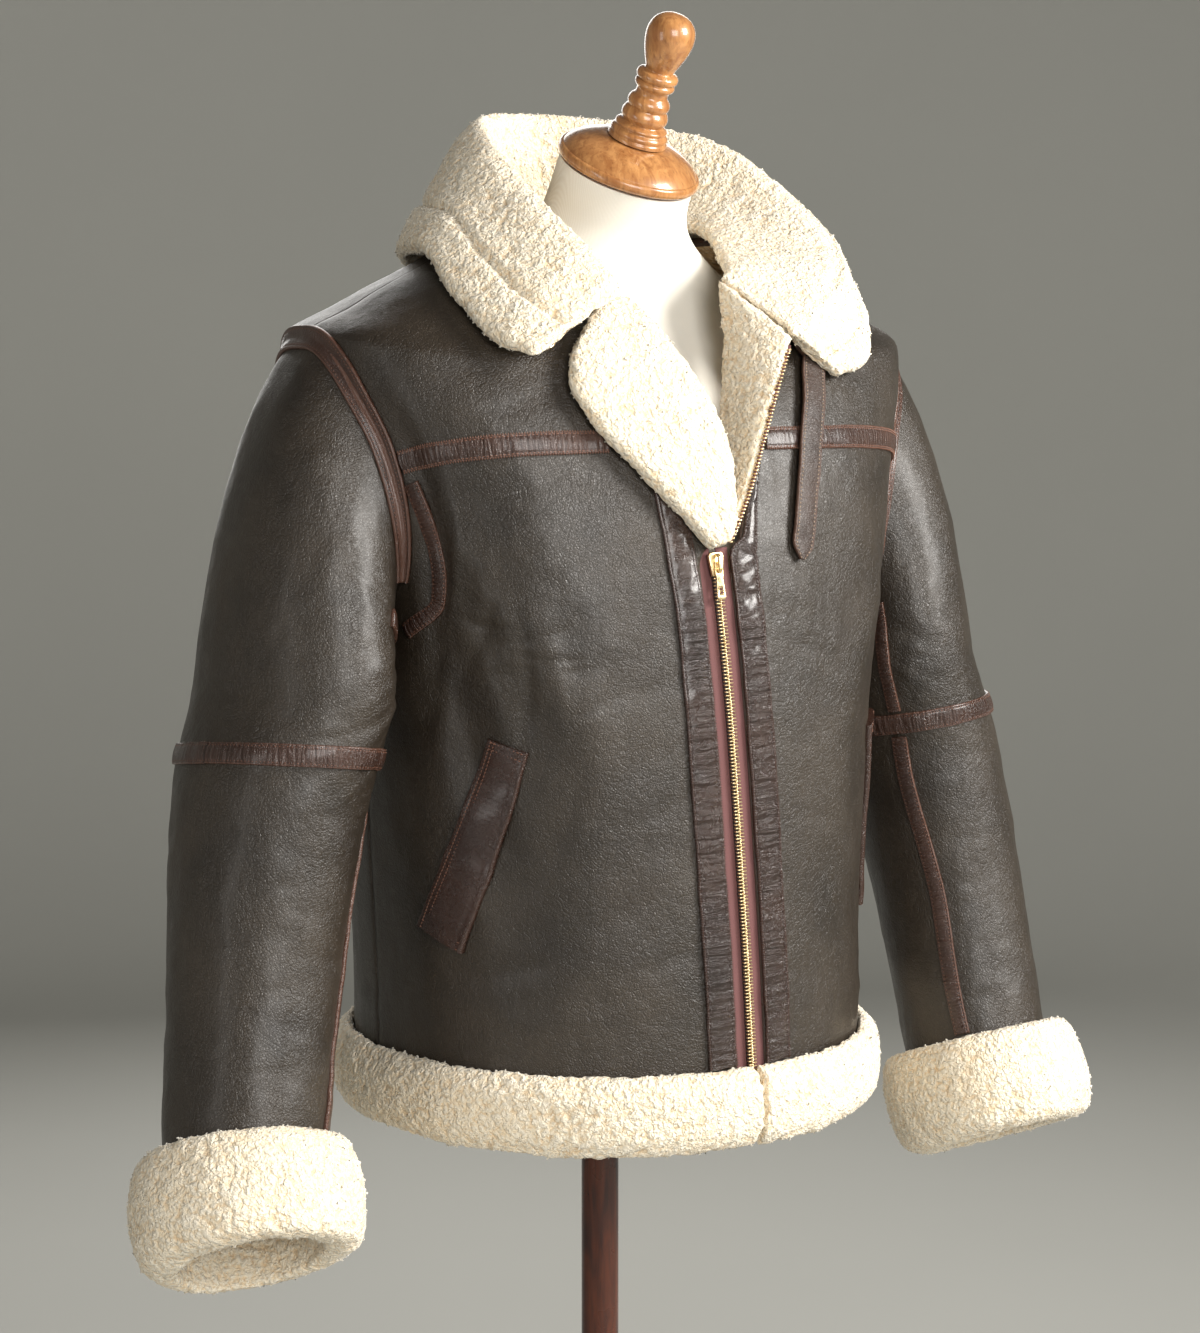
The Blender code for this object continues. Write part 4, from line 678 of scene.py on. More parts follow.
def grain_group():
    """Leather grain: pebbles between fine furrows, as a height and as a shade mask."""
    name = "Leather grain"
    if name in bpy.data.node_groups:
        return bpy.data.node_groups[name]
    tree = bpy.data.node_groups.new(name, "ShaderNodeTree")
    tree.interface.new_socket(name="Vector", in_out="INPUT", socket_type="NodeSocketVector")
    size = tree.interface.new_socket(name="Pebbles per metre", in_out="INPUT",
                                     socket_type="NodeSocketFloat")
    size.default_value = 900.0
    tree.interface.new_socket(name="Height", in_out="OUTPUT", socket_type="NodeSocketFloat")
    tree.interface.new_socket(name="Shade", in_out="OUTPUT", socket_type="NodeSocketFloat")
    start = tree.nodes.new("NodeGroupInput")
    end = tree.nodes.new("NodeGroupOutput")
    vector = start.outputs["Vector"]
    pebbles = tree.nodes.new("ShaderNodeTexVoronoi")
    pebbles.feature = "DISTANCE_TO_EDGE"
    tree.links.new(vector, pebbles.inputs["Vector"])
    tree.links.new(start.outputs["Pebbles per metre"], pebbles.inputs["Scale"])
    furrow = span(tree, pebbles.outputs["Distance"], 0.0, 0.22)
    fine = noise_at(tree, vector, 2400.0, 2.0)
    height = maths(tree, "ADD", maths(tree, "MULTIPLY", furrow, 0.75), maths(tree, "MULTIPLY", fine, 0.35))
    tree.links.new(height, end.inputs["Height"])
    cloud = noise_at(tree, vector, 14.0, 5.0, 0.6)
    tree.links.new(span(tree, cloud, 0.32, 0.68), end.inputs["Shade"])
    return tree


def leather_material(name, dark, light, rough, coat, pebbles=1000.0, wrinkle=0.5, edge=None, pleats=0.0,
                     lean=0.0, folds_per_metre=330.0):
    """Dyed leather: pebbled grain, a net of fine wrinkles, soft creases and cloudy dye.

    Pleats are fine ridges across a strip, from noise on the strip's own lengths.
    """
    made, tree, shader = new_material(name)
    place = object_place(tree)
    grain = tree.nodes.new("ShaderNodeGroup")
    grain.node_tree = grain_group()
    tree.links.new(place, grain.inputs["Vector"])
    grain.inputs["Pebbles per metre"].default_value = pebbles
    net = span(tree, cells_at(tree, place, pebbles * 0.34, "DISTANCE_TO_EDGE"), 0.0, 0.13)
    creases = noise_at(tree, place, 75.0, 5.0, 0.62, 1.3)
    normal = bump(tree, creases, 0.0016, wrinkle)
    normal = bump(tree, net, 0.00030, wrinkle, normal)
    normal = bump(tree, grain.outputs["Height"], 0.00034, 0.75, normal)
    if pleats:
        lengths = node(tree, "UVMap", uv_map="lengths")
        squeeze = node(tree, "Mapping", Scale=(1.0, 0.15, 1.0), Rotation=(0.0, 0.0, math.radians(lean)))
        tree.links.new(lengths.outputs["UV"], squeeze.inputs["Vector"])
        folds = noise_at(tree, squeeze.outputs["Vector"], folds_per_metre, 2.0, 0.5, 0.35)
        normal = bump(tree, folds, 0.77 / folds_per_metre, pleats, normal)
    tree.links.new(normal, shader.inputs["Normal"])
    base = colour_mix(tree, grain.outputs["Shade"], dark, light)
    # Painted shade: the grain's furrows are darkened towards a darker copy of the dark tone.
    furrow = maths(tree, "MULTIPLY", span(tree, grain.outputs["Height"], 0.75, 0.25), 0.45)
    base = colour_mix(tree, furrow, base, tuple(c * 0.55 for c in dark))
    worn = maths(tree, "MULTIPLY", span(tree, creases, 0.55, 0.72), 0.35)
    base = colour_mix(tree, worn, base, light)
    if edge is not None:
        rim = node(tree, "Attribute", attribute_name="rim")
        base = colour_mix(tree, rim.outputs["Fac"], base, edge)
    tree.links.new(base, shader.inputs["Base Color"])
    gloss = maths(tree, "ADD", maths(tree, "MULTIPLY", grain.outputs["Shade"], 0.08), rough)
    gloss = maths(tree, "SUBTRACT", gloss, maths(tree, "MULTIPLY", span(tree, creases, 0.42, 0.68), 0.08))
    tree.links.new(gloss, shader.inputs["Roughness"])
    plain(shader, Specular_IOR_Level=0.55, Coat_Weight=coat, Coat_Roughness=0.30 if coat < 0.3 else 0.20)
    return made


def curl_group():
    """Tight curls: rounded bumps of two sizes on a warped place, as a height from 0 to 1."""
    name = "Tight curls"
    if name in bpy.data.node_groups:
        return bpy.data.node_groups[name]
    tree = bpy.data.node_groups.new(name, "ShaderNodeTree")
    tree.interface.new_socket(name="Vector", in_out="INPUT", socket_type="NodeSocketVector")
    size = tree.interface.new_socket(name="Curls per metre", in_out="INPUT", socket_type="NodeSocketFloat")
    size.default_value = 240.0
    tree.interface.new_socket(name="Height", in_out="OUTPUT", socket_type="NodeSocketFloat")
    start = tree.nodes.new("NodeGroupInput")
    end = tree.nodes.new("NodeGroupOutput")
    bend = node(tree, "TexNoise", Scale=210.0, Detail=2.0)
    tree.links.new(start.outputs["Vector"], bend.inputs["Vector"])
    moved = node(tree, "VectorMath", operation="MULTIPLY_ADD")
    tree.links.new(bend.outputs["Color"], moved.inputs[0])
    moved.inputs[1].default_value = (0.0045, 0.0045, 0.0045)
    tree.links.new(start.outputs["Vector"], moved.inputs[2])
    total = None
    for share, factor in ((0.62, 1.0), (0.38, 1.9)):
        cells = node(tree, "TexVoronoi", feature="F1")
        tree.links.new(moved.outputs["Vector"], cells.inputs["Vector"])
        tree.links.new(maths(tree, "MULTIPLY", start.outputs["Curls per metre"], factor),
                       cells.inputs["Scale"])
        dome = maths(tree, "MULTIPLY", span(tree, cells.outputs["Distance"], 0.75, 0.10), share)
        total = dome if total is None else maths(tree, "ADD", total, dome)
    tree.links.new(total, end.inputs["Height"])
    return tree


def fleece_material(name, pale, mid, valley_shade):
    """Curly fleece: pale tops over golden valleys that are painted shade, with tight curls and fibres in
    the bump.
    """
    made, tree, shader = new_material(name)
    place = object_place(tree)
    curls = tree.nodes.new("ShaderNodeGroup")
    curls.node_tree = curl_group()
    curls.inputs["Curls per metre"].default_value = 240.0
    tree.links.new(place, curls.inputs["Vector"])
    height = curls.outputs["Height"]
    fibres = noise_at(tree, place, 1300.0, 3.0, 0.6)
    clouds = noise_at(tree, place, 26.0, 3.0)
    depth = node(tree, "Attribute", attribute_name="depth")
    # Painted shade: the depth mark and the curls' height turn the pile's valleys golden and its tops pale.
    shade = maths(tree, "ADD", maths(tree, "MULTIPLY", depth.outputs["Fac"], 0.45),
                  maths(tree, "MULTIPLY", height, 0.75))
    tone = colour_mix(tree, span(tree, shade, 0.15, 0.50), valley_shade, mid)
    tone = colour_mix(tree, span(tree, shade, 0.40, 0.80), tone, pale)
    tone = colour_mix(tree, maths(tree, "MULTIPLY", span(tree, clouds, 0.45, 0.75), 0.40), tone, mid)
    tree.links.new(tone, shader.inputs["Base Color"])
    normal = bump(tree, height, 0.0026, 0.85)
    normal = bump(tree, fibres, 0.0005, 0.6, normal)
    tree.links.new(normal, shader.inputs["Normal"])
    plain(shader, Roughness=0.92, Specular_IOR_Level=0.12, Sheen_Weight=0.30, Sheen_Roughness=0.5)
    return made


def curl_material():
    """The separate locks: the fleece's tips, a little paler than what lies below."""
    made, tree, shader = new_material("fleece_locks")
    place = object_place(tree)
    depth = node(tree, "Attribute", attribute_name="depth")
    speck = noise_at(tree, place, 700.0, 2.0)
    # Painted shade from the depth mark: a lock is darker at its root and over the pile's painted valleys;
    # the speck noise is random tone.
    shade = maths(tree, "ADD", depth.outputs["Fac"],
                  maths(tree, "MULTIPLY", maths(tree, "SUBTRACT", speck, 0.5), 0.5))
    tone = colour_mix(tree, span(tree, shade, 0.0, 0.8), (0.90, 0.76, 0.55), (0.93, 0.85, 0.70))
    tree.links.new(tone, shader.inputs["Base Color"])
    plain(shader, Roughness=0.9, Specular_IOR_Level=0.12, Sheen_Weight=0.35)
    return made


def thread_material(name, colour):
    """Sewing thread: a fine twist of a darker and a paler tone."""
    made, tree, shader = new_material(name)
    twist = noise_at(tree, object_place(tree), 2600.0, 2.0)
    tree.links.new(colour_mix(tree, twist, tuple(c * 0.6 for c in colour), colour),
                   shader.inputs["Base Color"])
    plain(shader, Roughness=0.55)
    return made


def tape_material():
    """Zip tape: fine herringbone of two maroons, from the strip's own lengths."""
    made, tree, shader = new_material("zip_tape")
    lengths = tree.nodes.new("ShaderNodeUVMap")
    lengths.uv_map = "lengths"
    split = tree.nodes.new("ShaderNodeSeparateXYZ")
    tree.links.new(lengths.outputs["UV"], split.inputs["Vector"])
    column = maths(tree, "PINGPONG", split.outputs["Y"], 0.0022)
    slope = maths(tree, "ADD", split.outputs["X"], column)
    rib = maths(tree, "PINGPONG", slope, 0.0006)
    rib = span(tree, rib, 0.0, 0.0006)
    tree.links.new(colour_mix(tree, rib, (0.09, 0.030, 0.032), (0.24, 0.105, 0.100)),
                   shader.inputs["Base Color"])
    tree.links.new(bump(tree, rib, 0.0003, 0.6), shader.inputs["Normal"])
    plain(shader, Roughness=0.8)
    return made


def brass_material():
    """Brass: warm, brushed finely, darker and duller where a cloudy tarnish lies."""
    made, tree, shader = new_material("brass")
    place = object_place(tree)
    cloud = noise_at(tree, place, 260.0, 4.0)
    tarnish = span(tree, cloud, 0.48, 0.75)
    tree.links.new(colour_mix(tree, tarnish, (0.90, 0.72, 0.42), (0.55, 0.36, 0.16)),
                   shader.inputs["Base Color"])
    tree.links.new(span(tree, cloud, 0.3, 0.8, 0.20, 0.48), shader.inputs["Roughness"])
    tree.links.new(bump(tree, noise_at(tree, place, 3000.0, 2.0), 0.00005, 0.4), shader.inputs["Normal"])
    plain(shader, Metallic=1.0)
    return made


def linen_material():
    """Linen cover of the form: fine crossed threads with slubs, warm white."""
    made, tree, shader = new_material("linen")
    place = object_place(tree)
    warp = node(tree, "TexWave", wave_type="BANDS", bands_direction="X", Scale=420.0, Distortion=1.2)
    weft = node(tree, "TexWave", wave_type="BANDS", bands_direction="Z", Scale=420.0, Distortion=1.2)
    for wave in (warp, weft):
        tree.links.new(place, wave.inputs["Vector"])
    weave = maths(tree, "MULTIPLY", warp.outputs["Fac"], weft.outputs["Fac"])
    slub = noise_at(tree, place, 90.0, 4.0)
    tone = colour_mix(tree, weave, (0.80, 0.76, 0.68), (0.90, 0.88, 0.82))
    tone = colour_mix(tree, maths(tree, "MULTIPLY", slub, 0.25), tone, (0.82, 0.76, 0.64))
    tree.links.new(tone, shader.inputs["Base Color"])
    tree.links.new(bump(tree, weave, 0.0003, 0.35), shader.inputs["Normal"])
    plain(shader, Roughness=0.85, Specular_IOR_Level=0.2)
    return made


def wood_material(name, dark, light, streak, coat, stretch=(1.0, 1.0, 0.12)):
    """Varnished turned wood: long grain streaks under a clear glossy coat."""
    made, tree, shader = new_material(name)
    grain = noise_at(tree, object_place(tree, stretch), 150.0, 6.0, 0.60, 0.8)
    pores = noise_at(tree, object_place(tree, (stretch[0], stretch[1], stretch[2] * 0.6)), 520.0, 3.0, 0.6)
    cloud = noise_at(tree, object_place(tree), 22.0, 3.0)
    tone = colour_mix(tree, span(tree, grain, 0.36, 0.64), dark, light)
    tone = colour_mix(tree, maths(tree, "MULTIPLY", span(tree, pores, 0.55, 0.75), 0.55), tone, streak)
    tone = colour_mix(tree, maths(tree, "MULTIPLY", span(tree, cloud, 0.5, 0.8), 0.4), tone, dark)
    tree.links.new(tone, shader.inputs["Base Color"])
    tree.links.new(bump(tree, pores, 0.0001, 0.35), shader.inputs["Normal"])
    tree.links.new(span(tree, cloud, 0.3, 0.8, 0.24, 0.36), shader.inputs["Roughness"])
    plain(shader, Coat_Weight=coat, Coat_Roughness=0.10)
    return made


def finish(name):
    """The material of that name, made the first time it is asked for."""
    if name not in MADE:
        MADE[name] = FINISHES[name]()
    return MADE[name]


MADE = {}
FINISHES = {
    "leather": lambda: leather_material(
        "leather", (0.018, 0.012, 0.007), (0.042, 0.030, 0.019), 0.41, 0.20, 520.0, 0.6,
        edge=(0.10, 0.055, 0.035)),
    "trim": lambda: leather_material(
        "trim", (0.024, 0.009, 0.005), (0.074, 0.031, 0.019), 0.31, 0.35, 900.0, 0.5,
        edge=(0.11, 0.048, 0.030), pleats=1.0),
    "placket": lambda: leather_material(
        "placket", (0.016, 0.007, 0.005), (0.048, 0.023, 0.015), 0.24, 0.60, 900.0, 0.6,
        edge=(0.060, 0.026, 0.017), pleats=1.0, lean=38.0, folds_per_metre=190.0),
    "welt": lambda: leather_material(
        "welt", (0.020, 0.007, 0.005), (0.060, 0.025, 0.016), 0.25, 0.50, 800.0, 0.6,
        edge=(0.045, 0.018, 0.011), pleats=0.15),
    "leather_strap": lambda: leather_material(
        "leather_strap", (0.028, 0.015, 0.010), (0.066, 0.038, 0.027), 0.42, 0.10, 700.0, 0.6,
        edge=(0.13, 0.07, 0.05), pleats=0.2, lean=20.0),
    # The fleece's third colour is the painted shade of its valleys.
    "fleece": lambda: fleece_material("fleece", (0.93, 0.85, 0.70), (0.91, 0.77, 0.56), (0.80, 0.58, 0.35)),
    # Painted shade: the coat's inside is the same fleece, in darker golden colours for the shade it lies
    # in.
    "lining_shaded": lambda: fleece_material("lining_shaded", (0.86, 0.70, 0.46), (0.74, 0.52, 0.28), (0.50, 0.29, 0.12)),
    "fleece_locks": curl_material,
    "thread": lambda: thread_material("thread", (0.24, 0.11, 0.07)),
    "thread_dark": lambda: thread_material("thread_dark", (0.030, 0.014, 0.010)),
    "thread_pale": lambda: thread_material("thread_pale", (0.40, 0.28, 0.19)),
    "zip_tape": tape_material,
    "brass": brass_material,
    "linen": linen_material,
    "walnut": lambda: wood_material(
        "walnut", (0.33, 0.130, 0.040), (0.56, 0.27, 0.095), (0.12, 0.040, 0.012), 0.6),
    "mahogany": lambda: wood_material(
        "mahogany", (0.028, 0.005, 0.0016), (0.085, 0.018, 0.005), (0.012, 0.003, 0.001), 0.20),
}


# ---------------------------------------------------------------- meshes
def piece(name, points, faces, slots, rides=BODY, record_slot=None, replaces=(), face_slot=None, marks=None,
          lengths=None, sharp=None):
    """A mesh piece on a body, with its materials, marks for shading and lengths as a UV map."""
    made = bpy.data.meshes.new(name)
    made.from_pydata(np.asarray(points, float).reshape(-1, 3).tolist(), [], faces)
    for slot in slots:
        made.materials.append(finish(slot))
    if face_slot is not None:
        made.polygons.foreach_set("material_index", np.asarray(face_slot, np.int32))
    for mark, values in (marks or {}).items():
        attribute = made.attributes.new(mark, "FLOAT", "POINT")
        attribute.data.foreach_set("value", np.asarray(values, np.float32).ravel())
    if lengths is not None:
        corners = np.empty(len(made.loops), np.int32)
        made.loops.foreach_get("vertex_index", corners)
        layer = made.uv_layers.new(name="lengths")
        layer.data.foreach_set("uv", np.asarray(lengths, np.float32).reshape(-1, 2)[corners].ravel())
    turn_outwards(made)
    made.shade_smooth()
    if sharp is not None:
        made.set_sharp_from_angle(angle=math.radians(sharp))
    made.update()
    thing = in_scene(name, made)
    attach(thing, rides)
    if replaces:
        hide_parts(*replaces)
    return thing


def in_scene(name, data):
    """A new object for this mesh, lamp or camera, linked to the scene."""
    thing = bpy.data.objects.new(name, data)
    bpy.context.scene.collection.objects.link(thing)
    return thing


def turn_outwards(made):
    """Turns a closed mesh round if its signed volume is negative."""
    made.calc_loop_triangles()
    corners = np.empty(len(made.loop_triangles) * 3, np.int32)
    made.loop_triangles.foreach_get("vertices", corners)
    points = np.empty(len(made.vertices) * 3, np.float32)
    made.vertices.foreach_get("co", points)
    first, second, third = points.reshape(-1, 3)[corners.reshape(-1, 3)].transpose(1, 0, 2)
    if np.sum(first * np.cross(second, third)) < 0:
        made.flip_normals()


def grid_quads(rows, columns, wrap_columns=False, wrap_rows=False, offset=0):
    """Quads of a grid of points, counted row by row."""
    down = np.arange(rows if wrap_rows else rows - 1)
    along = np.arange(columns if wrap_columns else columns - 1)
    row, column = np.meshgrid(down, along, indexing="ij")
    right = (column + 1) % columns
    below = (row + 1) % rows
    quads = [row * columns + column, row * columns + right, below * columns + right,
             below * columns + column]
    return np.stack([corner.ravel() for corner in quads], axis=-1) + offset


def tube_faces(rows, columns, closed=False):
    """Faces of a tube of rings: quads round it and, where it isn't a loop, a face on each end."""
    faces = grid_quads(rows, columns, True, closed).tolist()
    if not closed:
        last = (rows - 1) * columns
        faces += [list(range(columns))[::-1], [last + k for k in range(columns)]]
    return faces


def poled(rings, top, bottom):
    """Points and faces of a tube of rings whose ends run to a point each."""
    rows, columns = rings.shape[:2]
    count = rows * columns
    last = (rows - 1) * columns
    faces = grid_quads(rows, columns, True).tolist()
    faces += [[count, (k + 1) % columns, k] for k in range(columns)]
    faces += [[count + 1, last + k, last + (k + 1) % columns] for k in range(columns)]
    return np.concatenate([rings.reshape(-1, 3), top[None], bottom[None]]), faces


def grid_normals(points, wrap_columns=False, wrap_rows=False):
    """Unit normals of a grid of points from its neighbours' differences."""
    def difference(axis, wrap):
        if wrap:
            return np.roll(points, -1, axis=axis) - np.roll(points, 1, axis=axis)
        return np.gradient(points, axis=axis)
    return unit(np.cross(difference(1, wrap_columns), difference(0, wrap_rows)))


def rows_length(points):
    """Mean length of the rows and of the columns of a grid, and its area."""
    across = np.linalg.norm(np.diff(points, axis=1), axis=-1)
    down = np.linalg.norm(np.diff(points, axis=0), axis=-1)
    first = points[1:, 1:] - points[:-1, :-1]
    second = points[1:, :-1] - points[:-1, 1:]
    area = np.linalg.norm(np.cross(first, second), axis=-1).sum() / 2
    return across.sum(1).mean(), down.sum(0).mean(), area


def declare(surface, closed=False):
    """Works out the width, length and area of the surface a piece follows; nothing is kept or stated."""
    if closed:
        surface = np.concatenate([surface, surface[:, :1]], axis=1)
    width, length, area = rows_length(surface)
    width = max(width, area / length * 1.001)


def skin(name, outer, inner, materials, wrap=False, coarse=4, **options):
    """Closed thin shell: a fine outer grid, a coarser inner grid and a rim between them.

    Every coarse-th row and column of the inner grid is kept, so each rim face has the
    inner edge's two points and the outer edge's points between them.
    """
    rows, columns = outer.shape[:2]
    keep_rows = np.arange(0, rows, coarse)
    keep_columns = np.arange(0, columns, coarse)
    inner = inner[np.ix_(keep_rows, keep_columns)]
    outer_index = np.arange(rows * columns).reshape(rows, columns)
    inner_index = rows * columns + np.arange(inner.shape[0] * inner.shape[1]).reshape(inner.shape[:2])
    outside = grid_quads(rows, columns, wrap).tolist()
    inside = grid_quads(*inner.shape[:2], wrap, offset=rows * columns)[:, ::-1].tolist()
    loops = [(outer_index[0], inner_index[0], True), (outer_index[-1], inner_index[-1], False)]
    if not wrap:
        loops += [(outer_index[:, 0], inner_index[:, 0], False),
                  (outer_index[:, -1], inner_index[:, -1], True)]
    rim = []
    for fine, plain, turned in loops:
        if wrap:
            fine = np.append(fine, fine[0])
            plain = np.append(plain, plain[0])
        for step in range(len(plain) - 1):
            face = fine[step * coarse:(step + 1) * coarse + 1].tolist() + [plain[step + 1], plain[step]]
            rim.append(face[::-1] if turned else face)
    points = np.concatenate([outer.reshape(-1, 3), inner.reshape(-1, 3)])
    face_slot = [0] * len(outside) + [1] * len(inside) + [2] * len(rim)
    # The depth mark gives the lining side's painted pile shade a middle value.
    depth = np.full(len(points), 0.55)
    return piece(name, points, outside + inside + rim, materials, face_slot=face_slot,
                 marks={"depth": depth}, **options)


# ------------------------------------------------------- leather with its creases
def uneven(points):
    """Slight lumps and fine upright puckers of hand-dyed sheepskin."""
    upright = points * np.array([1.0, 1.0, 0.22])
    return (noise(points, 0.030, 11) * 0.0007 + noise(points, 0.012, 12) * 0.00032
            + noise(upright, 0.0065, 13) * 0.00022)


def body_leather(angle, level, out=0.0):
    """The body's surface with its creases, raised by out along the normal.

    Troughs are held above the wall's inner side by a hyperbolic tangent.
    """
    angle, level = np.broadcast_arrays(np.asarray(angle, float), np.asarray(level, float))
    base = body_point(angle, level)
    rise = bells(angle, (level, "level", 1.0), BODY_CREASES, "angle", BODY_GIRTH) * SIZES.crease_depth
    side_seam = np.exp(-(np.radians(np.abs((angle + 180) % 360 - 180) - 90) * BODY_GIRTH / 0.0022) ** 2)
    rise = rise - np.where(level < ARMHOLE_LOW, side_seam, 0) * 0.0009
    rise = np.where(rise < 0, np.tanh(rise / DEEPEST_CREASE) * DEEPEST_CREASE, rise)
    return base + body_normal(angle, level) * (rise + uneven(base) + out)[..., None]


def sleeve_leather(turn, share, side, out=0.0):
    """The sleeve's surface with its creases, calm where it meets the armhole."""
    turn, share = np.broadcast_arrays(np.asarray(turn, float), np.asarray(share, float))
    base = sleeve_skin(turn, share, side)
    place = (turn + (6.0 if side > 0 else 0.0)) % 360.0
    rise = bells(place, (share, "share", -0.60), SLEEVE_CREASES, "turn", SLEEVE_GIRTH) * SIZES.crease_depth
    rise = rise * (0.62 + 0.38 * noise(base, 0.035, 15)) * (0.45 if side > 0 else 0.9)
    rise = (rise + uneven(base) * 1.2) * np.clip(share / 0.05, 0, 1)
    return base + sleeve_normal(turn, share, side) * (rise + out)[..., None]


def edge_line(row, side, first_turn, way, seam_rows=7):
    """A lower panel's outer edge: up the side seam, then round the armhole."""
    turn = first_turn + way * 360.0 / ARMHOLE_STEPS * np.maximum(row - seam_rows, 0)
    angle, level = armhole_spot(turn, side)
    seam = row < seam_rows
    straight = HEM_LEVEL + (ARMHOLE_LOW - HEM_LEVEL) * row / seam_rows
    return np.where(seam, side * 90.0, angle), np.where(seam, straight, level), turn, ~seam


def yoke_line(row, side, first_turn, way):
    """A yoke's outer edge: up the armhole, then along the shoulder seam."""
    turn = first_turn + way * 360.0 / ARMHOLE_STEPS * np.minimum(row, YOKE_STEP)
    angle, level = armhole_spot(turn, side)
    arm = row <= YOKE_STEP
    top = ARMHOLE_HIGH + (SHOULDER_LEVEL - ARMHOLE_HIGH) * (row - YOKE_STEP) / 5.0
    return np.where(arm, angle, side * 90.0), np.where(arm, level, top), turn, arm


def panel(name, node, angles, levels, arms):
    """Body panel from its grid of angles and levels; arms gives (column, rows, turns, side)."""
    outer = body_leather(angles, levels)
    inner = body_point(angles, levels, -BODY_WALL)
    for column, rows, turns, side in arms:
        seam = body_point(angles[rows, column], levels[rows, column])
        inner[rows, column] = seam + armhole_corner(turns[rows], side)[0] * BODY_WALL * 1.05
    thing = skin(name, outer, inner, ("leather", "lining_shaded", "trim"), record_slot="leather", replaces=[node])
    declare(outer)


def front_panels():
    """Front panels: rows from the hem to the yoke seam, columns from the zip to the side."""
    fine = SIZES.grid_step
    rows = panel_count(0.475, fine)
    columns = panel_count(0.32, fine)
    for side, word in SIDES:
        row = np.linspace(0, 13, rows)
        edge_angle, edge_level, turns, arm = edge_line(row, side, 180.0, -1)
        share = np.linspace(0, 1, columns)
        rise = (edge_level - HEM_LEVEL) / (edge_level[-1] - HEM_LEVEL)
        front_level = blend(HEM_LEVEL, YOKE_MIDDLE, blend(rise, np.linspace(0, 1, rows), 0.4))
        levels = front_level[:, None] + (edge_level - front_level)[:, None] * share ** YOKE_DROOP
        start = angle_at(front_edge_x(levels[:, 0], side), levels[:, 0])
        angles = blend(start[:, None], edge_angle[:, None], share)
        panel("front_panel_" + word, "front_" + word, angles, levels, [(-1, arm, turns, side)])
    rows = panel_count(0.15, fine)
    first = YOKE_STEP * 360.0 / ARMHOLE_STEPS
    for side, word in SIDES:
        row = np.linspace(0, 10, rows)
        edge_angle, edge_level, turns, arm = yoke_line(row, side, first, -1)
        front_level = np.linspace(YOKE_MIDDLE, SHOULDER_LEVEL if side < 0 else LEFT_OPENING_TOP, rows)
        levels = blend(front_level[:, None], edge_level[:, None], share ** YOKE_DROOP)
        start = angle_at(front_edge_x(levels[:, 0], side), levels[:, 0])
        angles = blend(start[:, None], edge_angle[:, None], share)
        panel("yoke_panel_" + word, "yoke_front_" + word, angles, levels, [(-1, arm, turns, side)])


def back_panels():
    """Back panel and back yoke: columns from the left side round to the right side."""
    fine = SIZES.grid_step
    columns = panel_count(0.62, fine)
    across = np.linspace(-1, 1, columns)
    first = (ARMHOLE_STEPS - YOKE_STEP) * 360.0 / ARMHOLE_STEPS
    for name, node, tall, last, line, start_turn in (
            ("back_panel", "back", 0.475, 13, edge_line, 180.0),
            ("yoke_panel_back", "yoke_back", 0.15, 10, yoke_line, first)):
        rows = panel_count(tall, fine)
        row = np.linspace(0, last, rows)
        left_angle, edge_level, turns, arm = line(row, 1, start_turn, 1)
        if node == "back":
            rise = (edge_level - HEM_LEVEL) / (edge_level[-1] - HEM_LEVEL)
            middle = blend(HEM_LEVEL, YOKE_MIDDLE, blend(rise, np.linspace(0, 1, rows), 0.4))
        else:
            middle = np.linspace(YOKE_MIDDLE, SHOULDER_LEVEL, rows)
        levels = blend(middle[:, None], edge_level[:, None], np.abs(across) ** YOKE_DROOP)
        angles = blend(left_angle[:, None], 360.0 - left_angle[:, None], (across + 1) / 2)
        panel(name, node, angles, levels, [(0, arm, turns, 1), (-1, arm, turns, -1)])


def panel_count(length, step, coarse=4):
    """Points along a length at about this step, so that every coarse-th one ends on the edge."""
    return int(round(length / step / coarse)) * coarse + 1


def sleeve_pieces():
    """Sleeves: rings round the arm from the armhole to the elbow seam, and on to the wrist."""
    around = int(round(0.46 / SIZES.grid_step / 4)) * 4
    turns = np.arange(around) * 360.0 / around
    for side, word in SIDES:
        for name, node, start, end in (
                ("upper_arm_", "sleeve_upper_", 0.0, ELBOW_SHARE),
                ("forearm_", "sleeve_lower_", ELBOW_SHARE, 1.0)):
            rows = panel_count(0.60 * (end - start), SIZES.grid_step)
            share = np.linspace(start, end, rows)
            lean = (elbow_share(turns, side) - ELBOW_SHARE)[None, :]
            hold = (share / ELBOW_SHARE if start == 0 else (1 - share) / (1 - ELBOW_SHARE))[:, None]
            shares = share[:, None] + lean * hold
            grid = np.broadcast_to(turns, shares.shape)
            outer = sleeve_leather(grid, shares, side)
            base = sleeve_skin(grid, shares, side)
            inner = base - sleeve_normal(grid, shares, side) * SLEEVE_WALL
            if start == 0:
                inner[0] = base[0] + armhole_corner(turns, side)[0] * BODY_WALL * 1.05
            thing = skin(name + word, outer, inner, ("leather", "lining_shaded", "trim"), wrap=True,
                         record_slot="leather",
                         replaces=[node + word])
            declare(outer, closed=True)


# --------------------------------------------------------- gathered leather strips
STITCHES = []
TICKS = []
RECORD_SLOTS = {"trim": "trim", "welt": "trim", "placket": "trim", "leather": "leather"}
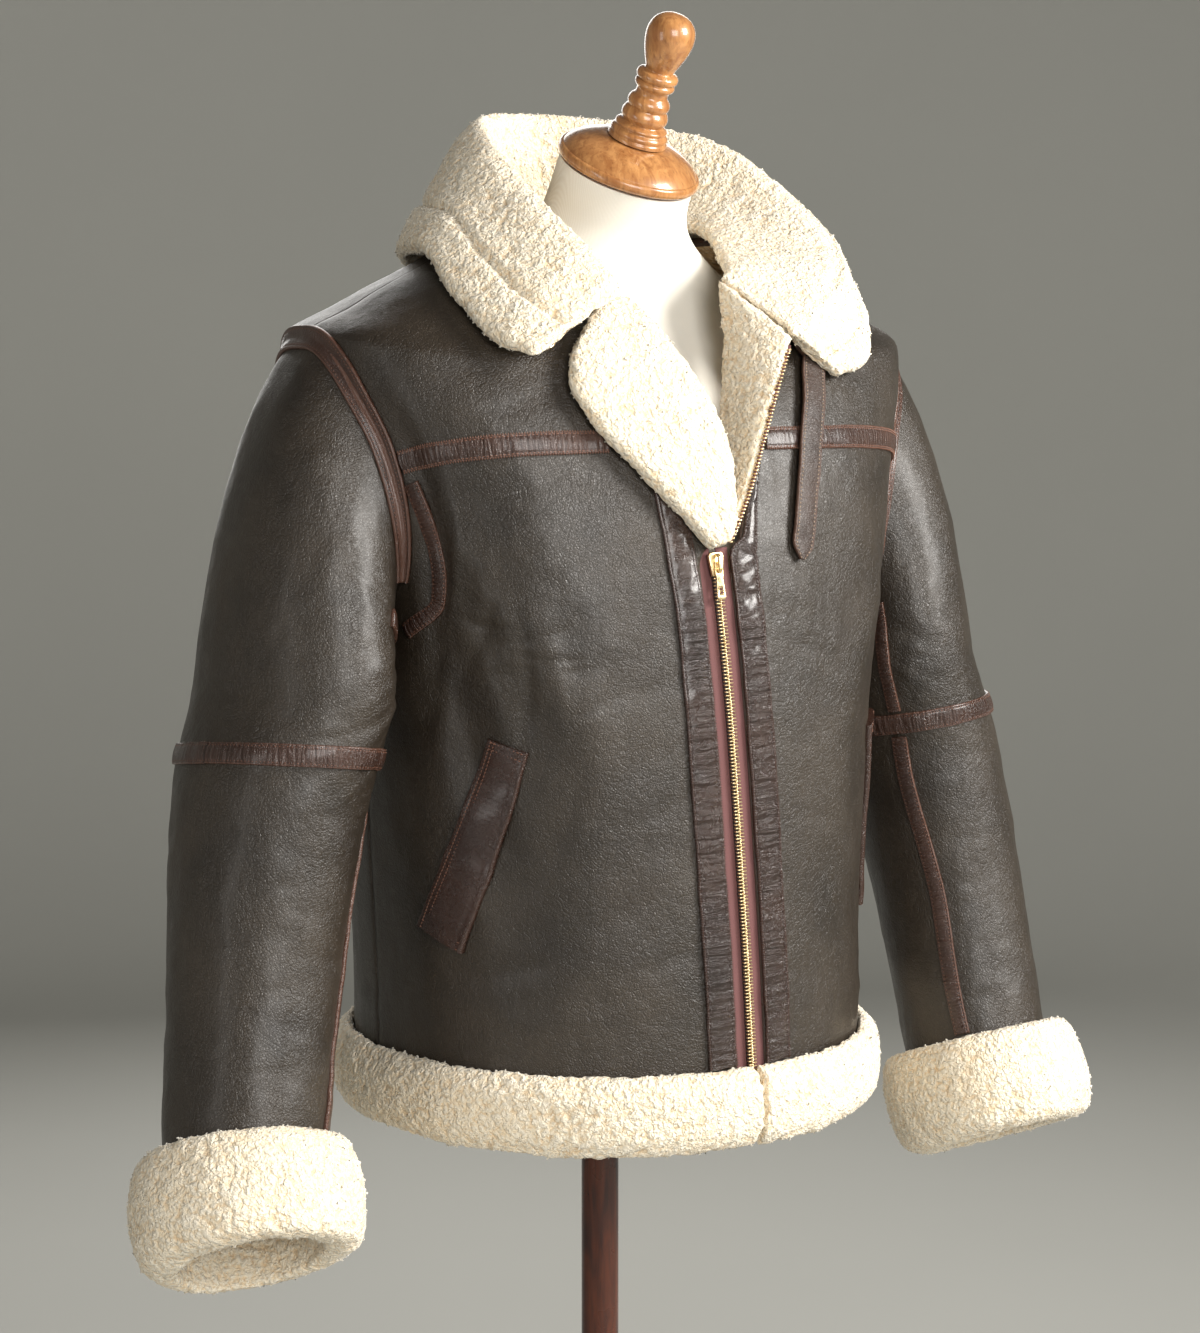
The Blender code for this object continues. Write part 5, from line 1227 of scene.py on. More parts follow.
# Half a strip's section from its edge to its middle: share of the half width, and height.
RIBBON_HALF = np.array([(1.0, -0.25), (1.0, 0.55), (0.94, 0.95), (0.82, 0.80),
                        (0.68, 0.98), (0.50, 1.08), (0.30, 1.13), (0.10, 1.16)])
RIBBON_ACROSS = np.concatenate([-RIBBON_HALF[:, 0], RIBBON_HALF[::-1, 0]])
RIBBON_HEIGHT = np.concatenate([RIBBON_HALF[:, 1], RIBBON_HALF[::-1, 1]])
RIBBON_RIM = np.clip((np.abs(RIBBON_ACROSS) - 0.86) / 0.1, 0, 1)


def run_of(points):
    """Distance along a line of points from its start."""
    steps = np.linalg.norm(np.diff(points, axis=0), axis=-1)
    return np.concatenate([[0.0], np.cumsum(steps)])


def gathers(run, across, seed, pitch):
    """Cross ridges: rounded crests and sharp valleys at an uneven pitch, stronger in places."""
    along = np.stack([run, run * 0 + seed, run * 0], axis=-1)
    phase = run / pitch + noise(along, 0.011, 21) * 0.45
    strength = 0.65 + 0.35 * noise(along, 0.019, 22)
    lean = 0.18 * np.sign(across) * np.abs(across)
    ridge = np.abs(np.sin(np.pi * (phase[:, None] + lean * noise(along, 0.03, 23)[:, None]))) ** 0.8
    return (ridge - 0.6) * strength[:, None] * np.clip(1.25 - np.abs(across), 0, 1)


def wrinkles(run, across, seed):
    """Slanting wrinkles of a loose strip: ridged noise on lengths turned by forty degrees."""
    along = run[:, None] + 0 * across
    slant = np.stack([(along + across) * 0.30, along - across, 0 * along + seed], axis=-1)
    fine = 1 - 2 * np.abs(noise(slant, 0.0056, seed + 3))
    broad = 1 - 2 * np.abs(noise(slant, 0.0140, seed + 4))
    return fine * 0.55 + broad * 0.45


def ribbon(name, middle, normal, half, node=None, closed=False, gather=0.30 * MM, pitch=3.8 * MM,
           high=2.5 * MM,
           seed=0, rows=(0.72,), slot="trim", tone="thread", spin=None, crumple=0.0, ticks=None):
    """Leather strip on a line of points: a domed section with thin edges and cross gathers.

    Its height over the line is the section's own height plus the gathers, along the normal.
    """
    if closed:
        ahead = np.roll(middle, -1, axis=0) - np.roll(middle, 1, axis=0)
    else:
        ahead = np.gradient(middle, axis=0)
    across = unit(np.cross(unit(ahead), normal)) if spin is None else spin
    half = np.broadcast_to(np.asarray(half, float), middle.shape[:1])
    run = run_of(middle)
    wave = 1 + 0.035 * noise(np.stack([run, run * 0 + seed, run * 0], axis=-1), 0.016, 31)
    rise = RIBBON_HEIGHT * high + gathers(run, RIBBON_ACROSS, seed, pitch) * gather
    if crumple:
        inside = np.clip(1.6 - 1.6 * np.abs(RIBBON_ACROSS), 0, 1)
        rise = rise + wrinkles(run, RIBBON_ACROSS * half[:, None], seed) * inside * crumple
    rise[:, 0] = RIBBON_HEIGHT[0] * high
    rise[:, -1] = rise[:, 0]
    flat = middle[:, None] + across[:, None] * (RIBBON_ACROSS * (half * wave)[:, None])[..., None]
    rings = flat + normal[:, None] * rise[..., None]
    rim = np.broadcast_to(RIBBON_RIM, rings.shape[:2])
    thing = piece(name, rings, tube_faces(*rings.shape[:2], closed), [slot],
                  record_slot=RECORD_SLOTS.get(slot),
                  replaces=[node] if node else (), marks={"rim": rim},
                  lengths=np.stack([run[:, None] + 0 * rise, RIBBON_ACROSS * half[:, None]], axis=-1))
    for place in rows:
        for sign in (-1, 1):
            line = middle + across * (half * wave * place * sign)[:, None] + normal * (0.84 * high)
            STITCHES.append((line, normal, tone, closed))
    if ticks:
        for sign in (-1, 1):
            line = middle + across * (half * wave * sign * 0.97)[:, None] + normal * (0.80 * high)
            TICKS.append((line, normal, across, ticks))
    return thing


def body_ribbon(name, angle_of, length, half, **options):
    """Strip on the body: angle_of gives angles and levels for shares from 0 to 1."""
    share = np.linspace(0, 1, max(int(length / SIZES.ribbon_step), 12))
    angles, levels = angle_of(share)
    points = body_leather(angles, levels)
    return ribbon(name, points, body_normal(angles, levels), half, **options)


def yoke_level(share):
    """The yoke seam falls from the middle to the armhole by a power of the share across."""
    low = armhole_spot(np.array(YOKE_STEP * 360.0 / ARMHOLE_STEPS), 1)[1]
    return blend(YOKE_MIDDLE, low, np.abs(np.asarray(share, float)) ** YOKE_DROOP)


def body_strips():
    """Strips of the body: over the yoke seams, round the armholes, gussets and plackets."""
    arm = float(armhole_spot(np.array(YOKE_STEP * 360.0 / ARMHOLE_STEPS), 1)[0])
    for seed, (side, word, first) in enumerate(((-1, "right", 0.25), (1, "left", 0.02))):
        start = float(angle_at(front_edge_x(np.array(YOKE_MIDDLE), side), np.array(YOKE_MIDDLE)))

        def yoke_path(share, side=side, first=first, start=start):
            share = blend(first, 0.945, share)
            return blend(start, side * arm, share), yoke_level(share)
        body_ribbon("yoke_strip_front_" + word, yoke_path, 0.26, 7.8 * MM, node="yoke_strip_" + word,
                    seed=seed,
                    gather=0.42 * MM, rows=(0.80,), ticks="thread")
    back_arm = float(armhole_spot(np.array(360.0 * (1 - YOKE_STEP / ARMHOLE_STEPS)), 1)[0])

    def back_path(share):
        share = blend(-0.925, 0.925, share)
        return 180.0 + (180.0 - back_arm) * share, yoke_level(share)
    body_ribbon("yoke_strip_rear", back_path, 0.52, 7.8 * MM, node="yoke_strip_back", seed=3,
                gather=0.42 * MM,
                rows=(0.80,))
    for side, word in SIDES:
        def gusset_path(share, side=side):
            angle, level = (smooth(share * 4, GUSSET["step"], GUSSET[name]) for name in ("angle", "level"))
            return side * angle, level
        body_ribbon("gusset_" + word, gusset_path, 0.125, 5.8 * MM, node="gusset_strip_" + word,
                    seed=7 + side,
                    gather=0.2 * MM)
        count = int(0.44 / SIZES.ribbon_step)
        level = np.linspace(0.886, 1.318 if side < 0 else 1.3265, count)
        middle = zip_x(level) + side * (TAPE_HALF + SEAM_GAP + PLACKET_WIDTH / 2)
        half = np.full(count, 11.2 * MM)
        if side < 0:
            middle = middle - 0.010 * np.clip((level - 1.20) / 0.118, 0, 1) ** 1.5
        else:
            tip = level > 1.250
            places = np.concatenate([[1.240, 1.250], PLACKET_TIP[:, 0]])
            inner = np.concatenate([np.full(2, zip_x(np.array(1.25)) + TAPE_HALF + SEAM_GAP),
                                    PLACKET_TIP[:, 1]])
            outer = np.concatenate([inner[:2] + 22.4 * MM, PLACKET_TIP[:, 2]])
            inner, outer = smooth(level, places, inner), smooth(level, places, outer)
            middle = np.where(tip, (inner + outer) / 2, middle)
            half = np.where(tip, (outer - inner) / 2, half)
        angle = angle_at(middle, level)
        ribbon("placket_strip_" + word, body_leather(angle, level), body_normal(angle, level), half,
               node="placket_" + word,
               seed=11 + side, gather=0.12 * MM, pitch=5.0 * MM, rows=(0.80,), tone="thread_dark",
               crumple=0.62 * MM,
               ticks="thread_dark", slot="placket")
        armhole_ribbon(side, word)


def armhole_ribbon(side, word, half=9.6 * MM):
    """Strip astride the armhole seam: its section folds over the seam, half on each side."""
    turn = np.linspace(-126.0, 128.0, 330)
    angle, level = armhole_spot(turn, side)
    seam = body_point(angle, level)
    normal = body_normal(angle, level)
    away = sleeve_start(turn, side)
    ahead = unit(np.gradient(seam, axis=0))
    inward = unit(np.cross(ahead, normal))
    inward = inward * np.sign(dot(inward, seam - body_point(side * 90.0, YOKE_MIDDLE - 0.04)))
    away = unit(away - ahead * dot(away, ahead))
    cloth = inward * dot(away, normal) - normal * dot(away, inward)
    ridge = unit(normal + cloth)
    run = run_of(seam)
    rise = RIBBON_HEIGHT * 2.7 * MM + gathers(run, RIBBON_ACROSS, 5.0 + side, 3.4 * MM) * 0.26 * MM
    rise[:, 0] = -0.4 * MM
    rise[:, -1] = -0.4 * MM
    out = np.abs(RIBBON_ACROSS) * half
    lean = np.clip(np.abs(RIBBON_ACROSS) / 0.6, 0, 1)
    sheet = np.where((RIBBON_ACROSS < 0)[None, :, None], inward[:, None], away[:, None])
    up = np.where((RIBBON_ACROSS < 0)[None, :, None], normal[:, None], cloth[:, None])
    up = unit(ridge[:, None] * (1 - lean)[None, :, None] + up * lean[None, :, None])
    rings = seam[:, None] + sheet * out[None, :, None] + up * rise[..., None]
    rim = np.broadcast_to(RIBBON_RIM, rings.shape[:2])
    piece("armhole_band_" + word, rings, tube_faces(*rings.shape[:2]), ["trim"], record_slot="trim",
          replaces=["armhole_strip_" + word],
          marks={"rim": rim})
    for sheet_way, sheet_up in ((inward, normal), (away, cloth)):
        STITCHES.append((seam + sheet_way * half * 0.72 + sheet_up * 2.3 * MM, sheet_up, "thread", False))


def sleeve_ribbon(name, turns, shares, side, half, closed=False, **options):
    """Strip on a sleeve, along turns and shares of its length."""
    points = sleeve_leather(turns, shares, side)
    return ribbon(name, points, sleeve_normal(turns, shares, side), half, closed=closed, **options)


def sleeve_strips():
    """Strips of the sleeves: the ring at the elbow, the seams above and below, the gusset."""
    for side, word in SIDES:
        high, low, across = SLEEVE_SEAMS[side]
        turns = np.arange(380) * 360.0 / 380
        sleeve_ribbon("elbow_ring_" + word, turns, elbow_share(turns, side), side, 7.8 * MM, closed=True,
                      node="elbow_strip_" + word, seed=17 + side, gather=0.40 * MM, high=2.7 * MM)
        elbow = float(elbow_share(high[1], side))
        share = np.linspace(0, 1, 120)
        sleeve_ribbon("upper_seam_" + word, blend(*high, share), blend(0.17, elbow - 0.022, share), side,
                      5.2 * MM,
                      node="seam_upper_" + word, seed=21 + side, gather=0.25 * MM)
        share = np.linspace(0, 1, 200)
        sway = np.sin(share * 9.0) * 1.2
        sleeve_ribbon("lower_seam_" + word, blend(*low, share) + sway, blend(elbow + 0.022, 0.952, share),
                      side,
                      6.2 * MM, node="seam_lower_" + word, seed=25 + side, gather=0.28 * MM)
        share = np.linspace(0, 1, 70)
        sleeve_ribbon("sleeve_gusset_" + word, blend(*across, share), blend(0.205, 0.135, share), side,
                      6.6 * MM,
                      node="gusset_sleeve_" + word, seed=29 + side, gather=0.32 * MM)


# ---------------------------------------------------------------- many small shapes
def scattered(name, shape, faces, centres, ahead, up, slots, sizes=None, rides=BODY, **options):
    """One mesh of many copies of a small shape, each in its own frame of ahead, side and up."""
    up = unit(up - ahead * dot(up, ahead))
    side = np.cross(up, ahead)
    if sizes is None:
        sizes = np.ones((len(centres), 3))
    local = shape[None] * sizes[:, None]
    points = (centres[:, None] + ahead[:, None] * local[..., :1] + side[:, None] * local[..., 1:2]
              + up[:, None] * local[..., 2:3])
    count = len(shape)
    offsets = (np.arange(len(centres)) * count)[:, None, None]
    quads = (np.asarray(faces)[None] + offsets).reshape(-1, len(faces[0]))
    return piece(name, points, quads.tolist(), slots, rides=rides, **options)


def even_steps(line, pitch, closed=False):
    """Places at an even pitch along a line of points: row numbers with fractions."""
    run = run_of(np.concatenate([line, line[:1]]) if closed else line)
    count = int(run[-1] / pitch)
    return np.interp((np.arange(count) + 0.5) * run[-1] / count, run, np.arange(len(run)))


def read_line(values, places):
    """Values of a line read between its points, at row numbers with fractions."""
    values = np.concatenate([values, values[:1]])
    low = np.floor(places).astype(int)
    return blend(values[low], values[np.minimum(low + 1, len(values) - 1)], (places - low)[:, None])


def box_ring(lengths, sizes):
    """Four-sided spindle: one square ring for each length, its half size, and end caps."""
    corner = np.array([(-1, -1), (1, -1), (1, 1), (-1, 1)], float)
    points = [np.column_stack([np.full(4, x), corner * half]) for x, half in zip(lengths, sizes)]
    faces = []
    for ring in range(len(lengths) - 1):
        for k in range(4):
            a, b = ring * 4 + k, ring * 4 + (k + 1) % 4
            faces.append([a, b, b + 4, a + 4])
    last = (len(lengths) - 1) * 4
    faces += [[3, 2, 1, 0], [last, last + 1, last + 2, last + 3]]
    return np.concatenate(points), faces


def stitching():
    """Every line of sewing: short raised threads at an even pitch, one piece for each thread."""
    shape, faces = box_ring((-1.0, 0.0, 1.0), (0.45, 1.0, 0.45))
    lift = np.repeat([-0.7, 0.5, -0.7], 4)
    shape[:, 2] += lift
    faces = outward_faces(shape, faces)
    for tone, name in (("thread", "sewing_brown"), ("thread_pale", "sewing_pale"),
                       ("thread_dark", "sewing_dark")):
        centres, ahead, up = [], [], []
        for line, normal, colour, closed in STITCHES:
            if colour != tone:
                continue
            places = even_steps(line, SIZES.stitch_pitch, closed)
            here = read_line(line, places)
            before = read_line(line, np.maximum(places - 0.4, 0))
            after = read_line(line, np.minimum(places + 0.4, len(line) - (0.01 if closed else 1.0)))
            centres.append(here)
            ahead.append(unit(after - before))
            up.append(read_line(np.broadcast_to(normal, line.shape), places))
        for line, normal, across, colour in TICKS:
            if colour != tone:
                continue
            places = even_steps(line, SIZES.tick_pitch, False)
            centres.append(read_line(line, places))
            ahead.append(read_line(across, places))
            up.append(read_line(normal, places))
        if centres:
            centres = np.concatenate(centres)
            size = np.array([SIZES.stitch_pitch * 0.38, 0.36 * MM, 0.30 * MM])
            scattered(name, shape * size, faces, centres, np.concatenate(ahead), unit(np.concatenate(up)),
                      [tone])


def outward_faces(shape, faces):
    """The faces, turned round if the small closed shape's signed volume is negative."""
    volume = 0.0
    for face in faces:
        for k in range(1, len(face) - 1):
            volume += np.dot(shape[face[0]], np.cross(shape[face[k]], shape[face[k + 1]]))
    return faces if volume > 0 else [face[::-1] for face in faces]


# ---------------------------------------------------------------- fleece
LOCKS = []


def fleece_relief(points, seed, size):
    """Curly pile: rounded clumps and winding ridges on a warped grid, and how pale each point is, as
    painted shade that darkens the valleys.
    """
    warp = np.stack([noise(points, size * 1.7, seed + 1, k) for k in range(3)], axis=-1)
    bent = points + warp * size * 0.55
    curls = clumps(bent, size, seed)
    small = clumps(bent + 0.5 * size, size * 0.52, seed + 5)
    ridge = 1 - np.abs(noise(bent, size * 0.75, seed + 6))
    swell = noise(points, size * 4.0, seed + 7)
    height = curls * 0.55 + small * 0.22 + (ridge - 0.5) * 0.30 + swell * 0.30
    # Painted shade: low in the valleys between clumps, high on their tops.
    shade = np.clip(curls * 0.55 + small * 0.25 + ridge * 0.25 + swell * 0.08, 0, 1)
    return height, shade


def round_section(rings, count):
    """Closed sections of few points as smooth closed curves of many, by cubic pieces."""
    steps = np.linalg.norm(np.roll(rings, -1, axis=1) - rings, axis=-1).mean(axis=0)
    places = np.concatenate([[0.0], np.cumsum(steps)])
    whole = places[-1]
    wrapped = np.concatenate([rings, rings[:, :1]], axis=1)
    before = np.roll(rings, 1, axis=1)
    after = np.roll(rings, -1, axis=1)
    gap = steps + np.roll(steps, 1)
    slope = (after - before) / gap[None, :, None]
    slope = np.concatenate([slope, slope[:, :1]], axis=1)
    want = np.arange(count) / count * whole
    row = np.clip(np.searchsorted(places, want, side="right") - 1, 0, len(steps) - 1)
    width = steps[row][None, :, None]
    t = ((want - places[row]) / steps[row])[None, :, None]
    return (wrapped[:, row] * (1 + 2 * t) * (1 - t) ** 2 + slope[:, row] * width * t * (1 - t) ** 2
            + wrapped[:, row + 1] * t * t * (3 - 2 * t) - slope[:, row + 1] * width * t * t * (1 - t))


def woolly(name, node, rings, round_trip, high, seed, cap=5.0 * MM):
    """Fleece body from its smooth sections: rounded ends, relief along the normals, locks on top.

    An end's rings shrink towards its middle while they move out, as on half an ellipsoid.
    Returns the piece and the outer half of its sections, whose lengths are the cut.
    """
    whole = rings
    shrink = np.ones(len(rings))
    if not round_trip:
        centre = rings.mean(axis=1, keepdims=True)
        steps = np.linspace(0.94, 0.04, 11)
        ends = []
        for end, inner in ((0, 1), (-1, -2)):
            ahead = unit(centre[end] - centre[inner])
            bulge = cap * np.sqrt(1 - steps ** 2)[:, None, None]
            ends.append(centre[end] + (rings[end] - centre[end]) * steps[:, None, None] + ahead * bulge)
        whole = np.concatenate([ends[0][::-1], rings, ends[1]])
        shrink = np.concatenate([steps[::-1], shrink, steps])
    normals = grid_normals(whole, True, round_trip)
    centre = whole.mean(axis=1, keepdims=True)
    sense = np.sign(np.sum((whole - centre) * normals))
    normals = normals * sense
    relief, shade = fleece_relief(whole, seed, SIZES.curl_size)
    fade = np.clip(shrink * 2.5, 0, 1)[:, None]
    outer = whole + normals * ((relief * high - FLEECE_INSET) * fade)[..., None]
    # The depth mark carries the pile's painted shade to the fleece material.
    thing = piece(name, outer, tube_faces(*outer.shape[:2], round_trip), ["fleece"], record_slot="fleece",
                  replaces=[node], marks={"depth": shade})
    LOCKS.append((outer, normals, shade, seed))
    return thing, rings[:, :rings.shape[1] // 2]


def even_rows(lines, count):
    """Fractions along a line's points that are evenly spaced by its length."""
    run = run_of(lines)
    return np.interp(np.linspace(0, run[-1], count), run, np.arange(len(run)) / (len(run) - 1))


def collar_fleece():
    """Turned-down collar: from the seam over the roll to the edge, at stations round the neck."""
    stations = np.arange(len(COLLAR["seam_x"]), dtype=float)
    coarse = np.linspace(0, stations[-1], 200)
    middle = np.stack([(smooth(coarse, stations, COLLAR["roll_" + a])
                        + smooth(coarse, stations, COLLAR["edge_" + a])) / 2
                       for a in "xyz"], axis=-1)
    fine = even_rows(middle, SIZES.count(0.80)) * stations[-1]
    read = {name: smooth(fine, stations, column) for name, column in COLLAR.items()}
    seam, roll, edge = (np.stack([read[part + "_x"], read[part + "_y"], read[part + "_z"]], axis=-1)
                        for part in ("seam", "roll", "edge"))
    # The left front end's neck seam runs a little lower and nearer the middle.
    seam = seam + np.exp(-((fine - 10.6) / 1.1) ** 2)[:, None] * np.array([-0.014, -0.004, -0.012])
    ends = np.minimum(fine, stations[-1] - fine)
    swell = COLLAR_WALL * (0.55 + 0.45 * np.clip(ends / 0.8, 0, 1))[:, None]
    rise = unit(roll - seam)
    fall = unit(edge - roll)
    away = unit(np.cross(np.gradient(roll, axis=0), rise))
    away = away * np.sign(np.sum(away * (edge - roll), axis=-1, keepdims=True))
    drop = unit(np.cross(np.gradient(edge, axis=0), fall))
    up = unit(rise - fall)
    half = swell / 2
    rings = np.stack([
        seam - away * half * 0.6,
        blend(seam, roll, 0.5) - away * half,
        blend(seam, roll, 0.9) - away * half + up * half * 0.5,
        roll + up * half * 1.5,
        blend(roll, edge, 0.10) + drop * half + up * half * 0.8,
        blend(roll, edge, 0.45) + drop * half * 1.25,
        blend(roll, edge, 0.80) + drop * half * 1.15,
        edge + drop * half * 0.7,
        edge - drop * half * 0.5 + fall * half * 0.2,
        blend(roll, edge, 0.80) - drop * half * 0.8,
        blend(roll, edge, 0.45) - drop * half * 0.8,
        roll - up * half * 0.7,
        blend(seam, roll, 0.5) + away * half * 0.8,
        seam + away * half * 0.5,
    ], axis=1)
    rings = round_section(rings, SIZES.count(0.30))
    # A sewn groove runs along the fall at 62 hundredths of its length.
    long = np.linalg.norm(edge - roll, axis=-1)[:, None, None]
    fallen = dot(rings - roll[:, None], fall[:, None]) - 0.62 * long
    outside = np.clip(dot(rings - roll[:, None], drop[:, None]) / 0.004, 0, 1)
    rings = rings - drop[:, None] * np.exp(-(fallen / 0.0030) ** 2) * outside * 0.0042
    thing, surface = woolly("collar_fleece", "collar", rings, False, SIZES.fleece_height, 101)
    declare(surface)


def band_rings(low, high, out, thick, bulge):
    """Sections of a flat band from its lower to its upper edge, swelling by a bulge at mid height."""
    middle = (low + high) / 2
    along = high - low
    return np.stack([
        low + out * thick * 0.15, low + along * 0.02 + out * thick * 0.70,
        low + along * 0.22 + out * (thick + bulge * 0.75), middle + out * (thick + bulge),
        low + along * 0.78 + out * (thick + bulge * 0.75), low + along * 0.98 + out * thick * 0.70,
        high + out * thick * 0.15, middle,
    ], axis=1)


def hem_fleece():
    """Fleece turned up over the hem: a bulging band that hangs below the leather."""
    middle = float(angle_at(zip_x(HEM_LEVEL), np.array(HEM_LEVEL)))
    for seed, (name, start, end) in enumerate((
            ("hem_right", -90.4, middle - 0.9), ("hem_left", middle + 0.9, 90.4),
            ("hem_back", 90.7, 269.3))):
        rough = np.linspace(start, end, 120)
        line = body_point(rough, np.full(120, HEM_LEVEL))
        length = run_of(line)[-1]
        angles = blend(start, end, even_rows(line, SIZES.count(length)))
        flat = np.ones_like(angles)
        low = body_point(angles, flat * (HEM_LEVEL - 0.042), 0.0005)
        high = body_point(angles, flat * (HEM_LEVEL - 0.042 + HEM_HEIGHT), 0.0012)
        low[:, 2] = HEM_LEVEL - 0.040
        out = body_normal(angles, flat * (HEM_LEVEL + 0.01))
        rings = round_section(band_rings(low, high, out, 0.010, 0.006), SIZES.count(0.135))
        thing, surface = woolly("turned_" + name, name, rings, False, SIZES.fleece_height * 1.15,
                                111 + seed * 10, cap=2.5 * MM)
        declare(surface)


def cuff_fleece():
    """Turned-up fleece cuffs: a thick ring round each wrist."""
    steps = SIZES.count(0.43)
    turns = np.arange(steps) * 360.0 / steps
    for side, word in SIDES:
        wrist = sleeve_ring(turns, np.ones(steps), side)
        down = sleeve_axis(np.ones(steps), side)[3]
        out = sleeve_normal(turns, np.full(steps, 0.99), side)
        top = sleeve_skin(turns, np.full(steps, CUFF_SHARE), side)
        bottom = wrist + down * (CUFF_HEIGHT - 0.012)
        rings = np.stack([
            top + out * 0.0012, top + out * 0.015 - down * 0.002,
            blend(top, bottom, 0.22) + out * 0.0225, blend(top, bottom, 0.60) + out * 0.0240,
            blend(top, bottom, 0.90) + out * 0.0190, bottom + out * 0.0080, bottom - out * 0.0040,
            blend(top, bottom, 0.88) - out * 0.0045, blend(top, bottom, 0.55) - out * 0.0045,
            wrist + down * 0.0010 - out * 0.0045, wrist + down * 0.0010 + out * 0.0012,
        ], axis=1)
        rings = round_section(rings, SIZES.count(0.18))
        crease = bells(turns[:, None] + 0 * rings[..., 0], (rings[..., 2], "z", 1.0), CUFF_CREASES, "turn",
                       CUFF_GIRTH)
        rings = rings + out[:, None] * crease[..., None]
        thing, surface = woolly("turned_cuff_" + word, "cuff_" + word, rings, True,
                                SIZES.fleece_height * 1.1, 151 + side * 7)
        declare(surface)


def lapel_fleece():
    """Fleece side of the right front, turned out flat on the chest from the roll to its edge."""
    share = np.linspace(0, 1, SIZES.count(0.24))
    roll_level = blend(1.264, 1.466, share)
    edge_level = blend(LAPEL_EDGE["level"][0], LAPEL_EDGE["level"][-1], share)
    roll = angle_at(smooth(roll_level, ROLL_LINE["level"], ROLL_LINE["x"]), roll_level)
    edge = angle_at(smooth(edge_level, LAPEL_EDGE["level"], LAPEL_EDGE["x"]), edge_level)
    low = body_point(roll, roll_level, LAPEL_LIFT)
    high = body_point(edge, edge_level, LAPEL_LIFT)
    out = unit(body_normal(roll, roll_level) + body_normal(edge, edge_level))
    middle = body_point((roll + edge) / 2, (roll_level + edge_level) / 2, LAPEL_LIFT)
    bow = np.maximum(np.sum((middle - (low + high) / 2) * out, axis=-1, keepdims=True), 0)
    thick = LAPEL_WALL
    rings = np.stack([
        low + out * 0.0002, low + out * thick * 0.75,
        blend(low, high, 0.18) + out * (thick * 1.05 + bow * 0.6),
        blend(low, high, 0.50) + out * (thick * 1.05 + bow),
        blend(low, high, 0.82) + out * (thick + bow * 0.6),
        high + out * thick * 0.75, high + out * 0.0002,
        blend(low, high, 0.75) + out * bow * 0.8,
        blend(low, high, 0.50) + out * bow * 1.05,
        blend(low, high, 0.25) + out * bow * 0.8,
    ], axis=1)
    rings = round_section(rings, SIZES.count(0.19))
    thing, surface = woolly("lapel_fleece", "lapel_right", rings, False, SIZES.fleece_height, 171,
                            cap=3.0 * MM)
    declare(surface)


def left_flap(z, root_z=None):
    """Root and edge of the left front's standing strip, and its leather side's direction."""
    root_z = z if root_z is None else root_z
    edge = np.stack([smooth(z, LEFT_EDGE["z"], LEFT_EDGE["x"]), smooth(z, LEFT_EDGE["z"], LEFT_EDGE["y"]),
                     z], axis=-1)
    root = np.stack([
        smooth(root_z, LEFT_EDGE["z"], LEFT_EDGE["root_x"]),
        smooth(root_z, LEFT_EDGE["z"], LEFT_EDGE["root_y"]), root_z,
    ], axis=-1)
    leather = unit(np.cross(edge - root, np.array([0.0, 0.0, 1.0])))
    return root, edge, leather * np.sign(leather[:, :1])


def facing_fleece():
    """The left front above the slider stands forward and shows its fleece side."""
    rows = SIZES.count(0.155)
    z = np.linspace(1.268, 1.405, rows)
    root, edge, leather = left_flap(z, np.linspace(1.268, 1.446, rows))
    rings = np.stack([
        root + leather * 0.0030, root - leather * 0.0040,
        blend(root, edge, 0.5) - leather * 0.0055, edge - leather * 0.0035,
        edge + leather * 0.0010, blend(root, edge, 0.5) + leather * 0.0022,
    ], axis=1)
    rings = round_section(rings, SIZES.count(0.11))
    thing, surface = woolly("facing_fleece", "facing_left", rings, False, SIZES.fleece_height * 1.2, 181,
                            cap=1.5 * MM)
    declare(surface)


